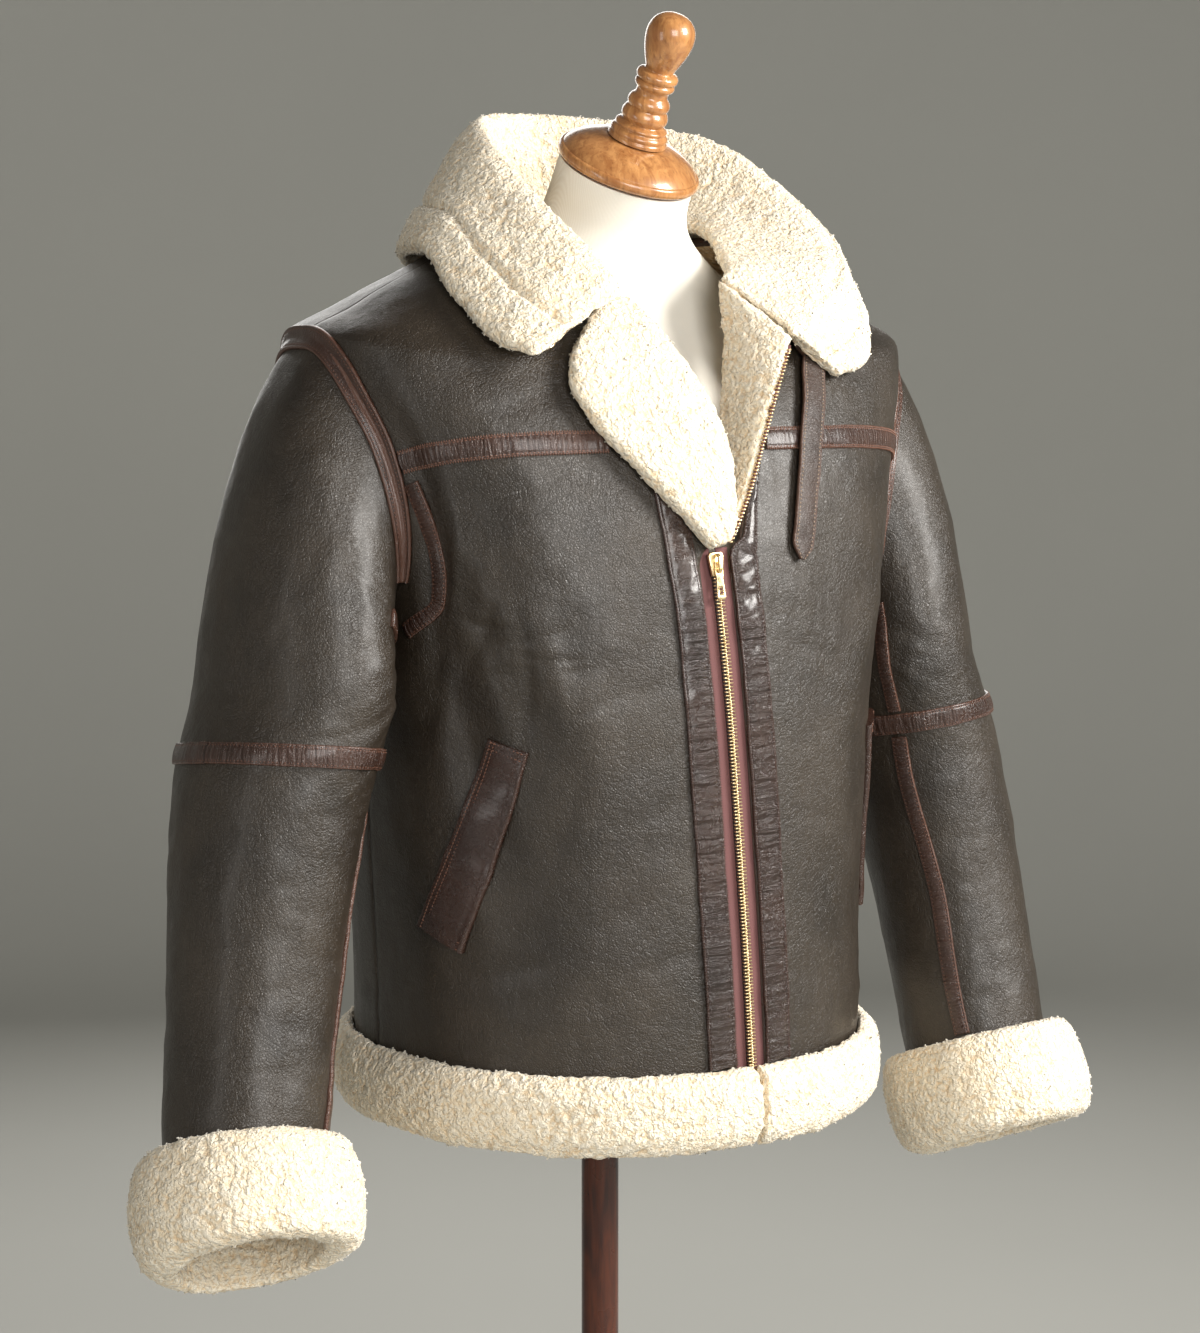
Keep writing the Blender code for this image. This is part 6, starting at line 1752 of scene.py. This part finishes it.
def fleece_locks():
    """Separate curled locks: short bent nubs set on the fleece, leaning every way.

    A lock's middle line is an arc that lifts off the surface and bends over; its thickness
    falls from root to tip.
    """
    rings = 3
    for order, (outer, normals, shade, seed) in enumerate(LOCKS):
        area = np.linalg.norm(np.cross(np.gradient(outer, axis=0), np.gradient(outer, axis=1)), axis=-1)
        chance = np.random.default_rng(seed)
        weight = area.ravel() / area.sum()
        count = int(area.sum() * SIZES.locks_per_metre)
        chosen = chance.choice(weight.size, count, p=weight)
        up = normals.reshape(-1, 3)[chosen]
        free = unit(chance.normal(size=(count, 3)))
        lean = unit(free - up * dot(free, up) + np.array([0, 0, -0.35]))
        lean = unit(lean - up * dot(lean, up))
        root = outer.reshape(-1, 3)[chosen] + lean * chance.uniform(0, 0.0010, (count, 1))
        size = chance.uniform(0.7, 1.3, (count, 1, 1))
        turn = np.linspace(0.0, 1.0, rings)[None, :, None] * chance.uniform(1.2, 2.4, (count, 1, 1))
        radius = SIZES.lock_radius * size
        middle = (root[:, None] - up[:, None] * 0.0009 + lean[:, None] * radius * (1 - np.cos(turn)) * 0.8
                  + up[:, None] * radius * np.sin(turn) * 1.4)
        side = np.cross(lean, up)
        out = up[:, None] * np.sin(turn) * 0.6 - lean[:, None] * np.cos(turn)
        thick = SIZES.lock_radius * 0.75 * size * np.array([1.0, 0.85, 0.40])[None, :, None]
        angles = np.radians([90, 210, 330])
        ring = (out[:, :, None] * np.cos(angles)[None, None, :, None]
                + side[:, None, None] * np.sin(angles)[None, None, :, None])
        points = middle[:, :, None] + ring * thick[:, :, None]
        faces = []
        for row in range(rings - 1):
            for k in range(3):
                a, b = row * 3 + k, row * 3 + (k + 1) % 3
                faces.append([a, b, b + 3, a + 3])
        per = rings * 3
        offsets = (np.arange(count) * per)[:, None, None]
        quads = (np.asarray(faces)[None] + offsets).reshape(-1, 4)
        ends = np.array([[2, 1, 0], [per - 3, per - 2, per - 1]])
        tips = (ends[None] + offsets).reshape(-1, 3)
        # Painted shade: each lock's colour mark darkens it towards its root and takes the pile's painted
        # shade below it.
        tone = np.repeat((shade.ravel()[chosen] * 0.45 + 0.40)[:, None], per, axis=1)
        tone = tone + np.repeat(np.linspace(-0.1, 0.35, rings), 3)[None]
        thing = piece("locks_%02d" % order, points.reshape(-1, 3), quads.tolist() + tips.tolist(),
                      ["fleece_locks"],
                      record_slot="fleece", marks={"depth": np.clip(tone, 0, 1)})
        leaf = unit(points - middle[:, :, None])
        soft = unit(up[:, None, None] * 1.0 + leaf * 0.55)
        thing.data.normals_split_custom_set_from_vertices(soft.reshape(-1, 3).tolist())


# ---------------------------------------------------------------- zip
def zip_line(level, offset, out):
    """Points beside the zip's middle line, at an offset along the front and out from it."""
    return body_point(angle_at(zip_x(level) + offset, level), level, out)


def zip_tapes():
    """Tapes on both sides of the teeth, woven in herringbone, set a little lower at their inner edge."""
    level = np.linspace(ZIP_BOTTOM, SLIDER_LEVEL + 0.012, 160)
    for side, word in SIDES:
        across = np.array([0.2, 0.25, 0.5, 0.75, 0.97, 1.0])
        offset = side * across * TAPE_HALF
        top = np.stack([zip_line(level, x, -0.0018 - 0.0008 * (k == 0)) for k, x in enumerate(offset)],
                       axis=1)
        under = np.stack([zip_line(level, x, -0.0030) for x in offset[::-1]], axis=1)
        rings = np.concatenate([top, under], axis=1)
        lengths = np.stack(np.broadcast_arrays((level - ZIP_BOTTOM)[:, None],
                                               np.concatenate([offset, offset[::-1]])[None]), axis=-1)
        thing = piece("tape_" + word, rings, tube_faces(*rings.shape[:2]), ["zip_tape"], record_slot="tape",
                      replaces=["zip_tape_" + word],
                      lengths=lengths)
        declare(top)


def tooth_shape():
    """A zip tooth: a rounded bar with a waist and a cupped head that reaches over the middle."""
    shape, faces = box_ring((-0.5, -0.42, 0.12, 0.30, 0.50, 0.60), (0.8, 1.0, 0.86, 1.12, 1.05, 0.6))
    return shape * np.array([1.0, 0.5, 0.5]), outward_faces(shape, faces)


def zip_teeth():
    """Teeth at an even pitch: both rows meshed below the slider, the left row alone above."""
    shape, faces = tooth_shape()
    pitch = SIZES.tooth_pitch
    centres, ahead, up = [], [], []
    for side in (-1, 1):
        level = np.arange(ZIP_BOTTOM + 0.002 + (pitch / 2 if side > 0 else 0), SLIDER_LEVEL - 0.006, pitch)
        middle = zip_line(level, side * 0.0015, 0.0010)
        over = zip_line(level, -side * 0.0015, 0.0010)
        centres.append(middle)
        ahead.append(unit(over - middle))
        up.append(body_normal(angle_at(zip_x(level), level), level))
    size = np.array([4.0 * MM, 1.05 * MM, 2.6 * MM])
    places = np.concatenate(centres)
    # The near-black cord is painted shade in the gaps between the teeth.
    zip_core_shaded()
    scattered("teeth_closed", shape * size, faces, places, np.concatenate(ahead), np.concatenate(up),
              ["brass"],
              record_slot="brass", replaces=["zip_chain"])
    z = np.arange(1.262, 1.398, pitch)
    root, edge, leather = left_flap(z)
    reach = unit(edge - root)
    scattered("teeth_left", shape * size, faces, edge + reach * 0.0022, reach, leather, ["brass"],
              record_slot="brass",
              replaces=["zip_teeth_left"])
    level = np.linspace(1.262, 1.400, 80)
    root, edge, leather = left_flap(level)
    line = edge + unit(edge - root) * 0.0008
    ribbon("tape_edge_left", line, leather, 2.6 * MM, gather=0.0, high=1.0 * MM, rows=(), slot="zip_tape")


def zip_core_shaded():
    """Near-black cord that the teeth are clamped on, down the middle of the tapes, as painted shade in the
    gaps between the teeth.
    """
    level = np.linspace(ZIP_BOTTOM, SLIDER_LEVEL, 120)
    rings = np.stack([
        zip_line(level, -0.0030, -0.0034), zip_line(level, 0.0030, -0.0034),
        zip_line(level, 0.0030, -0.0020), zip_line(level, -0.0030, -0.0020),
    ], axis=1)
    piece("zip_cord_shaded", rings, tube_faces(*rings.shape[:2]), ["thread_dark"])


def refined(name, node, slot, width, rides=BODY):
    """A packed hard piece with its corners rounded: doubles merged, flat faces joined, bevelled."""
    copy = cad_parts[node].data.copy()
    copy.name = name
    edit = bmesh.new()
    edit.from_mesh(copy)
    bmesh.ops.remove_doubles(edit, verts=edit.verts, dist=0.02 * MM)
    bmesh.ops.dissolve_limit(edit, angle_limit=math.radians(4), verts=edit.verts, edges=edit.edges)
    edit.to_mesh(copy)
    edit.free()
    copy.materials.clear()
    copy.materials.append(finish(slot))
    for attribute in [a.name for a in copy.attributes if a.name.startswith("custom_normal")]:
        copy.attributes.remove(copy.attributes[attribute])
    copy.shade_smooth()
    thing = in_scene(name, copy)
    bevel = thing.modifiers.new("Round", "BEVEL")
    bevel.width = width
    bevel.segments = 2
    bevel.limit_method = "ANGLE"
    bevel.angle_limit = math.radians(35)
    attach(thing, rides)
    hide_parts(node)
    return thing


def hard_pieces():
    """Slider, its bridge, the pull, the bottom stop, the collar's ring and its leather tab."""
    refined("slider", "zip_slider", "brass", 0.5 * MM)
    refined("slider_bridge", "zip_bridge", "brass", 0.35 * MM)
    refined("bottom_stop", "zip_stop", "brass", 0.5 * MM)
    refined("pull_tab", "zip_pull", "brass", 0.25 * MM, "pull")
    refined("ring_tab", "latch_tab", "trim", 0.3 * MM)
    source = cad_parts["latch_ring"].data
    points = np.empty(len(source.vertices) * 3)
    source.vertices.foreach_get("co", points)
    points = points.reshape(-1, 3)
    centre = points.mean(0)
    first, second, flat = np.linalg.svd(points - centre, full_matrices=False)[2]
    local = (points - centre) @ np.stack([first, second]).T
    reach = np.linalg.norm(local, axis=-1)
    wire = (reach.max() - reach.min()) / 2
    radius = (reach.max() + reach.min()) / 2
    turn = np.arange(72) * math.tau / 72
    bend = np.arange(14) * math.tau / 14
    spoke = first * np.cos(turn)[:, None] + second * np.sin(turn)[:, None]
    rings = (centre + spoke[:, None] * (radius + wire * np.cos(bend))[None, :, None]
             + flat * (wire * np.sin(bend))[None, :, None])
    piece("collar_ring", rings, grid_quads(72, 14, True, True).tolist(), ["brass"], rides="ring",
          record_slot="brass",
          replaces=["latch_ring"])


# ---------------------------------------------------------- pockets and straps
def pocket_welts():
    """Pocket welts: a leather strip laid aslant over each pocket, sewn along one edge and its ends."""
    share = np.linspace(-0.012, 1.012, 150)
    spot = np.clip(share, 0, 1)
    read = {name: smooth(spot, WELT["share"], column) for name, column in WELT.items()}
    for side, word in SIDES:
        front = body_leather(side * read["front_angle"], read["front_level"])
        rear = body_leather(side * read["rear_angle"], read["rear_level"])
        middle_angle = side * (read["front_angle"] + read["rear_angle"]) / 2
        middle_level = (read["front_level"] + read["rear_level"]) / 2
        normal = body_normal(middle_angle, middle_level)
        middle = (front + rear) / 2 + normal * 0.0006
        spin = unit(rear - front)
        half = np.linalg.norm(rear - front, axis=-1) / 2
        run = run_of(middle)
        lift = 0.0006 * noise(np.stack([run, run * 0, run * 0], axis=-1), 0.03, 41)[:, None]
        ribbon("pocket_welt_" + word, middle + normal * lift, normal, half * 1.02, node="welt_" + word,
               gather=0.10 * MM,
               high=4.4 * MM, seed=51 + side, rows=(), slot="welt", spin=spin)
        for place in (0.80, 0.62):
            STITCHES.append((middle + spin * (half * place)[:, None] + normal * 0.0044, normal, "thread",
                             False))
        for end in (3, 8, -9, -4):
            across = np.linspace(-0.85, 0.85, 12)[:, None]
            line = middle[end] + spin[end] * half[end] * across + normal[end] * 0.0045
            STITCHES.append((line, np.broadcast_to(normal[end], line.shape), "thread", False))


def hanging_strap():
    """Leather strap that hangs from under the left collar, with a pointed end."""
    level = np.array([1.425, 1.398, 1.370, 1.335, 1.300, 1.275, 1.258, 1.246])
    angle = np.array([21.5, 18.2, 16.4, 15.1, 13.9, 13.0, 12.4, 12.0])
    width = np.array([0.020, 0.020, 0.020, 0.020, 0.0198, 0.0195, 0.019, 0.003])
    lift = np.array([0.0036, 0.0044, 0.0046, 0.0044, 0.0040, 0.0036, 0.0032, 0.0030])
    step = np.arange(8.0)
    fine = np.linspace(0, 7, 170)
    read = [smooth(fine, step, column) for column in (level, angle, width, lift)]
    points = body_leather(read[1], read[0], read[3] + 0.0006)
    ribbon("collar_strap", points, body_normal(read[1], read[0]), read[2] / 2, node="throat_strap",
           gather=0.06 * MM,
           high=2.2 * MM, rows=(0.74,), slot="leather_strap", tone="thread_pale", seed=61)


# ---------------------------------------------------------------- form and stand
def rounded_profile(profile, passes=2):
    """A profile whose corners are cut in each pass, so that every turned edge is softly rounded."""
    points = np.array(profile, float)
    for _ in range(passes):
        quarter = blend(points[:-1], points[1:], 0.25)
        three = blend(points[:-1], points[1:], 0.75)
        middle = np.stack([quarter, three], axis=1).reshape(-1, 2)
        points = np.concatenate([points[:1], middle, points[-1:]])
    return points


def lathe(name, node, profile, slot, place=(0, 0, 0), axis=(0, 0, 1), steps=84, passes=2):
    """Turned piece: the profile's radius and height carried round an axis."""
    points = rounded_profile(profile, passes)[1:-1]
    axis = unit(np.array(axis, float))
    first = unit(np.cross(axis, [0.0, 1.0, 0.0]))
    second = np.cross(axis, first)
    turn = np.arange(steps) * math.tau / steps
    spoke = first * np.cos(turn)[:, None] + second * np.sin(turn)[:, None]
    rings = (np.array(place) + spoke[None] * points[:, 0][:, None, None] + axis
             * points[:, 1][:, None, None])
    top = np.array(place) + axis * profile[0][1]
    bottom = np.array(place) + axis * profile[-1][1]
    piece(name, *poled(rings, top, bottom), [slot], record_slot=slot, replaces=[node], sharp=50)


def stand():
    """Linen torso, turned neck cap and finial, pole and base.

    Above the shoulders the neck's rings run to the tilted cap by cubic pieces that leave and
    arrive smoothly.
    """
    z = np.concatenate([np.linspace(0.885, 1.34, 40), np.linspace(1.344, 1.452, 28)])
    read = {name: smooth(z, FORM["z"], FORM[name]) for name in ("y", "half_width", "half_depth")}
    columns = 112
    turn = np.arange(columns) * math.tau / columns
    rings = np.stack([
        read["half_width"][:, None] * np.sin(turn),
        read["y"][:, None] - read["half_depth"][:, None] * np.cos(turn),
        np.broadcast_to(z[:, None], (len(z), columns)),
    ], axis=-1)
    axis = NECK_AXIS
    first = unit(np.array([1.0, 0, 0]) - axis * axis[0])
    second = np.cross(axis, first)
    end = CAP_CENTRE - axis * 0.0015
    radius = CAP_RADIUS - 0.0015
    last = end + first * (radius * np.sin(turn))[:, None] - second * (radius * np.cos(turn))[:, None]
    low = rings[-1]
    rise = (rings[-1] - rings[-2]) / (z[-1] - z[-2]) * 0.070
    arrive = np.broadcast_to(axis, last.shape) * 0.100
    extra = []
    for t in np.linspace(0, 1, 25)[1:]:
        extra.append(low * (2 * t ** 3 - 3 * t ** 2 + 1) + rise * (t ** 3 - 2 * t ** 2 + t)
                     + last * (3 * t ** 2 - 2 * t ** 3) + arrive * (t ** 3 - t ** 2))
    rings = np.concatenate([rings, np.array(extra)])
    piece("torso", *poled(rings, rings[0].mean(0), end), ["linen"], record_slot="linen",
          replaces=["form_body"],
          sharp=60)
    cap = [(0.0, 0.0240), (0.0238, 0.0237), (0.0320, 0.0213), (0.0400, 0.0179), (0.0465, 0.0139),
           (0.0508, 0.0098),
           (0.0518, 0.0082), (0.0524, 0.0086), (0.0538, 0.0076), (0.0546, 0.0054), (0.0546, 0.0034),
           (0.0536, 0.0012),
           (0.0515, 0.0), (0.0, 0.0)]
    lathe("cap_turned", "neck_cap", cap, "walnut", CAP_CENTRE, NECK_AXIS)
    knob = [(0.0, 0.1227), (0.0060, 0.1221), (0.0110, 0.1200), (0.0152, 0.1162), (0.0176, 0.1110),
            (0.0182, 0.1060),
            (0.0178, 0.1010), (0.0166, 0.0955), (0.0148, 0.0900), (0.0128, 0.0850), (0.0111, 0.0812),
            (0.0105, 0.0794),
            (0.0108, 0.0786), (0.0140, 0.0779), (0.0155, 0.0762), (0.0158, 0.0742), (0.0151, 0.0722),
            (0.0138, 0.0713),
            (0.0134, 0.0706), (0.0147, 0.0697), (0.0151, 0.0680), (0.0143, 0.0661), (0.0124, 0.0647),
            (0.0119, 0.0620),
            (0.0123, 0.0594), (0.0144, 0.0575), (0.0158, 0.0552), (0.0160, 0.0530), (0.0152, 0.0507),
            (0.0145, 0.0498),
            (0.0159, 0.0484), (0.0173, 0.0457), (0.0176, 0.0435), (0.0170, 0.0411), (0.0157, 0.0396),
            (0.0154, 0.0383),
            (0.0176, 0.0373), (0.0196, 0.0361), (0.0198, 0.0348), (0.0189, 0.0337), (0.0197, 0.0328),
            (0.0215, 0.0313),
            (0.0219, 0.0296), (0.0212, 0.0281), (0.0222, 0.0271), (0.0226, 0.0256), (0.0226, 0.0243),
            (0.0, 0.0243)]
    lathe("finial_turned", "finial", knob, "walnut", CAP_CENTRE, NECK_AXIS, passes=1)
    low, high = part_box("pole")
    radius = (high[0] - low[0]) / 2
    pole = [(0.0, high[2]), (radius - 0.0008, high[2]), (radius, high[2] - 0.001),
            (radius, (low[2] + high[2]) / 2),
            (radius, low[2] + 0.001), (radius, low[2]), (0.0, low[2])]
    lathe("pole_turned", "pole", pole, "mahogany", steps=64)
    low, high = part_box("base")
    thick = high[2] - 0.020
    wide = (high[0] - low[0]) / 2
    base = [(0.0, thick + 0.020), (0.029, thick + 0.020), (0.032, thick + 0.019), (0.034, thick + 0.013),
            (0.036, thick + 0.009),
            (0.050, thick + 0.005), (0.085, thick + 0.002), (0.120, thick - 0.001), (0.160, thick - 0.0045),
            (0.172, thick - 0.006),
            (0.174, thick - 0.009), (0.184, thick - 0.011), (0.188, thick - 0.013), (wide, 0.018),
            (wide, 0.005), (0.188, 0.001),
            (0.186, 0.0), (0.0, 0.0)]
    lathe("base_turned", "base", base, "mahogany", steps=128)


# ---------------------------------------------------------------- settings
class Sizes:
    """Sizes that the operators read, filled from the scene's property groups."""
    def count(self, length):
        return max(int(round(length / self.fleece_step)), 16)


SIZES = Sizes()


def read_settings():
    """Copies the property groups' values to the sizes that the mesh functions use."""
    for group in (bpy.context.scene.shearling_leather, bpy.context.scene.shearling_fleece):
        for name in group.__annotations__:
            setattr(SIZES, name, getattr(group, name))


class ShearlingLeather(PropertyGroup):
    grid_step: FloatProperty(name="Grid step",
                             description="Distance between the points of the leather's grids",
                             default=0.0036, min=0.002, max=0.02, unit="LENGTH")
    ribbon_step: FloatProperty(name="Strip step", description="Distance between a strip's sections",
                               default=0.0013, min=0.0005, max=0.01, unit="LENGTH")
    crease_depth: FloatProperty(name="Crease depth",
                                description="Share of the full height of folds and creases",
                                default=1.0, min=0.0, max=2.0, subtype="FACTOR")
    stitch_pitch: FloatProperty(name="Stitch pitch",
                                description="Length of one stitch along a line of sewing",
                                default=0.0029, min=0.001, max=0.02, unit="LENGTH")
    tick_pitch: FloatProperty(name="Tick pitch",
                              description="Distance between the overcast stitches of an edge",
                              default=0.0019, min=0.001, max=0.02, unit="LENGTH")
    tooth_pitch: FloatProperty(name="Tooth pitch", description="Distance between the zip teeth of one row",
                               default=0.0025, min=0.001, max=0.02, unit="LENGTH")


class ShearlingFleece(PropertyGroup):
    fleece_step: FloatProperty(name="Fleece step",
                               description="Distance between the points of the fleece's grids",
                               default=0.0023, min=0.001, max=0.02, unit="LENGTH")
    curl_size: FloatProperty(name="Curl size", description="Width of one clump of curly pile",
                             default=0.0056, min=0.002, max=0.03, unit="LENGTH")
    fleece_height: FloatProperty(name="Pile height",
                                 description="Height of the clumps over the valleys between them",
                                 default=0.0030, min=0.0, max=0.02, unit="LENGTH")
    lock_radius: FloatProperty(name="Lock radius", description="Radius of one curled lock's hook",
                               default=0.0012, min=0.0005, max=0.01, unit="LENGTH")
    locks_per_metre: FloatProperty(name="Locks", description="Curled locks on each square metre of fleece",
                                   default=20000.0, min=0.0, max=100000.0)


class ShearlingStudio(PropertyGroup):
    distance: FloatProperty(name="Camera distance", description="From the stand's middle to the camera",
                            default=2.2, min=0.5, max=20.0, unit="LENGTH")
    camera_height: FloatProperty(name="Camera height", description="Height of the camera over the floor",
                                 default=1.40, min=0.0, max=5.0, unit="LENGTH")
    camera_turn: FloatProperty(name="Camera turn",
                               description="Angle of the camera towards the wearer's right",
                               default=math.radians(31.0), subtype="ANGLE", unit="ROTATION")
    key_power: FloatProperty(name="Key light", description="Power of the large soft light", default=150.0,
                             min=0.0)
    fill_power: FloatProperty(name="Fill light", description="Power of the weaker light", default=16.0,
                              min=0.0)
    floor_colour: FloatVectorProperty(name="Floor", description="Colour of the floor and backdrop",
                                      subtype="COLOR",
                                      default=(0.46, 0.46, 0.43), min=0.0, max=1.0)


# ---------------------------------------------------------------- stage
def backdrop():
    """Round sweep: a flat floor that curves up into a wall all round, far from the stand."""
    rows = 40
    columns = 96
    share = np.linspace(0, 1, rows)
    radius = np.where(share < 0.4, share / 0.4 * 4.0,
                      4.0 + 1.2 * np.sin(np.clip((share - 0.4) / 0.3, 0, 1) * math.pi / 2))
    height = np.where(share < 0.4, 0.0, 1.2 * (1 - np.cos(np.clip((share - 0.4) / 0.3, 0,
                                                                  1) * math.pi / 2)))
    height = height + np.clip(share - 0.7, 0, 1) / 0.3 * 3.5
    turn = np.arange(columns) * math.tau / columns
    points = np.stack([radius[:, None] * np.cos(turn), radius[:, None] * np.sin(turn),
                       np.broadcast_to(height[:, None], (rows, columns))], axis=-1)
    made = bpy.data.meshes.new("sweep")
    made.from_pydata(points.reshape(-1, 3).tolist(), [], grid_quads(rows, columns, True).tolist())
    made.shade_smooth()
    thing = in_scene("sweep", made)
    surface, tree, shader = new_material("sweep")
    colour = bpy.context.scene.shearling_studio.floor_colour
    cloud = noise_at(tree, object_place(tree), 1.2, 3.0)
    pale = tuple(colour)
    tree.links.new(colour_mix(tree, cloud, tuple(c * 0.96 for c in pale),
                              tuple(min(c * 1.04, 1) for c in pale)),
                   shader.inputs["Base Color"])
    plain(shader, Roughness=0.9)
    made.materials.append(surface)


def area_light(name, place, aim, size, power, colour=(1.0, 1.0, 1.0)):
    """A rectangular soft light at a place, aimed at a point and unseen by the camera."""
    lamp = bpy.data.lights.new(name, "AREA")
    lamp.shape = "RECTANGLE"
    lamp.size, lamp.size_y = size
    lamp.energy = power
    lamp.color = colour
    thing = in_scene(name, lamp)
    thing.location = place
    thing.rotation_mode = "QUATERNION"
    thing.rotation_quaternion = (Vector(aim) - Vector(place)).to_track_quat("-Z", "Y")
    thing.visible_camera = False


def studio():
    """Sweep, lights and the camera."""
    backdrop()
    settings = bpy.context.scene.shearling_studio
    world = bpy.data.worlds.new("Studio")
    bpy.context.scene.world = world
    bpy.context.scene.view_settings.view_transform = "Standard"
    world.use_nodes = True
    world.node_tree.nodes["Background"].inputs[0].default_value = (0.84, 0.82, 0.78, 1.0)
    world.node_tree.nodes["Background"].inputs[1].default_value = 0.12
    area_light("key", (1.75, -2.15, 2.40), (0.0, 0.0, 1.20), (1.1, 1.3), settings.key_power,
               (1.0, 0.975, 0.935))
    area_light("front", (-0.60, -3.0, 1.90), (0.0, 0.0, 1.15), (1.4, 1.4), settings.fill_power * 3.6,
               (1.0, 0.985, 0.96))
    area_light("fill", (-2.7, -0.8, 1.3), (0.0, 0.0, 0.95), (0.6, 1.6), settings.fill_power * 0.7,
               (1.0, 0.97, 0.94))
    area_light("back", (1.2, 2.8, 2.2), (0.0, 0.0, 1.1), (2.4, 2.0), settings.fill_power * 2.6,
               (1.0, 0.98, 0.95))
    camera = bpy.data.cameras.new("Camera")
    camera.sensor_fit = "VERTICAL"
    camera.sensor_height = SENSOR_HEIGHT
    camera.lens = FOCAL_SHARE * SENSOR_HEIGHT
    holder = in_scene("Camera", camera)
    turn = settings.camera_turn
    holder.location = (-settings.distance * math.sin(turn), -settings.distance * math.cos(turn),
                       settings.camera_height)
    aim = Vector((math.sin(turn), math.cos(turn), -CAMERA_DIP))
    holder.rotation_mode = "QUATERNION"
    holder.rotation_quaternion = aim.to_track_quat("-Z", "Y")
    bpy.context.scene.camera = holder


# ---------------------------------------------------------------- operators
def run(*steps):
    """Runs mesh functions in order with the settings' present values."""
    read_settings()
    for step in steps:
        step()
    return {"FINISHED"}


class SHEARLING_OT_panels(Operator):
    """Make the leather panels of the body"""
    bl_idname = "shearling.panels"
    bl_label = "Body panels"

    def execute(self, context):
        return run(front_panels, back_panels)


class SHEARLING_OT_sleeves(Operator):
    """Make both sleeves, above and below the elbow seam"""
    bl_idname = "shearling.sleeves"
    bl_label = "Sleeves"

    def execute(self, context):
        return run(sleeve_pieces)


class SHEARLING_OT_strips(Operator):
    """Make the gathered leather strips over the seams"""
    bl_idname = "shearling.strips"
    bl_label = "Seam strips"

    def execute(self, context):
        return run(body_strips, sleeve_strips)


class SHEARLING_OT_pockets(Operator):
    """Make the pocket welts and the strap under the collar"""
    bl_idname = "shearling.pockets"
    bl_label = "Welts and strap"

    def execute(self, context):
        return run(pocket_welts, hanging_strap)


class SHEARLING_OT_sewing(Operator):
    """Sew every strip that the earlier operators made"""
    bl_idname = "shearling.sewing"
    bl_label = "Sewing"

    def execute(self, context):
        return run(stitching)


class SHEARLING_OT_fleece(Operator):
    """Make the collar, lapel, facing, hem and cuffs of fleece"""
    bl_idname = "shearling.fleece"
    bl_label = "Fleece"

    def execute(self, context):
        return run(collar_fleece, lapel_fleece, facing_fleece, hem_fleece, cuff_fleece)


class SHEARLING_OT_locks(Operator):
    """Set separate curled locks on the fleece"""
    bl_idname = "shearling.locks"
    bl_label = "Curled locks"

    def execute(self, context):
        return run(fleece_locks)


class SHEARLING_OT_zip(Operator):
    """Make the zip's tapes and teeth, and round its hard pieces"""
    bl_idname = "shearling.zip"
    bl_label = "Zip and ring"

    def execute(self, context):
        return run(zip_tapes, zip_teeth, hard_pieces)


class SHEARLING_OT_stand(Operator):
    """Make the linen form, its turned cap and finial, pole and base"""
    bl_idname = "shearling.stand"
    bl_label = "Dress form"

    def execute(self, context):
        return run(stand)


class SHEARLING_OT_studio(Operator):
    """Make the sweep, the lights and the camera"""
    bl_idname = "shearling.studio"
    bl_label = "Studio"

    def execute(self, context):
        return run(studio)


STEPS = (SHEARLING_OT_panels, SHEARLING_OT_sleeves, SHEARLING_OT_strips, SHEARLING_OT_pockets,
         SHEARLING_OT_sewing,
         SHEARLING_OT_fleece, SHEARLING_OT_locks, SHEARLING_OT_zip, SHEARLING_OT_stand, SHEARLING_OT_studio)


class SHEARLING_PT_panel(Panel):
    """Settings and steps of the coat, in the order in which they run"""
    bl_idname = "SHEARLING_PT_panel"
    bl_label = "Shearling coat"
    bl_space_type = "VIEW_3D"
    bl_region_type = "UI"
    bl_category = "Shearling"

    def draw(self, context):
        scene = context.scene
        for group in (scene.shearling_leather, scene.shearling_fleece, scene.shearling_studio):
            column = self.layout.column(align=True)
            for name in group.__annotations__:
                column.prop(group, name)
        for step in STEPS:
            self.layout.operator(step.bl_idname)


GROUPS = (("shearling_leather", ShearlingLeather), ("shearling_fleece", ShearlingFleece),
          ("shearling_studio", ShearlingStudio))


def register():
    """Registers the groups, operators and panel, and hangs the groups on the scene."""
    for name, group in GROUPS:
        bpy.utils.register_class(group)
        setattr(bpy.types.Scene, name, PointerProperty(type=group))
    for step in STEPS:
        bpy.utils.register_class(step)
    bpy.utils.register_class(SHEARLING_PT_panel)


def unregister():
    """Takes everything off again in the opposite order."""
    bpy.utils.unregister_class(SHEARLING_PT_panel)
    for step in reversed(STEPS):
        bpy.utils.unregister_class(step)
    for name, group in reversed(GROUPS):
        delattr(bpy.types.Scene, name)
        bpy.utils.unregister_class(group)


def main():
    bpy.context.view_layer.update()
    register()
    for step in STEPS:
        group, name = step.bl_idname.split(".")
        getattr(getattr(bpy.ops, group), name)()


if __name__ == "__main__":
    main()
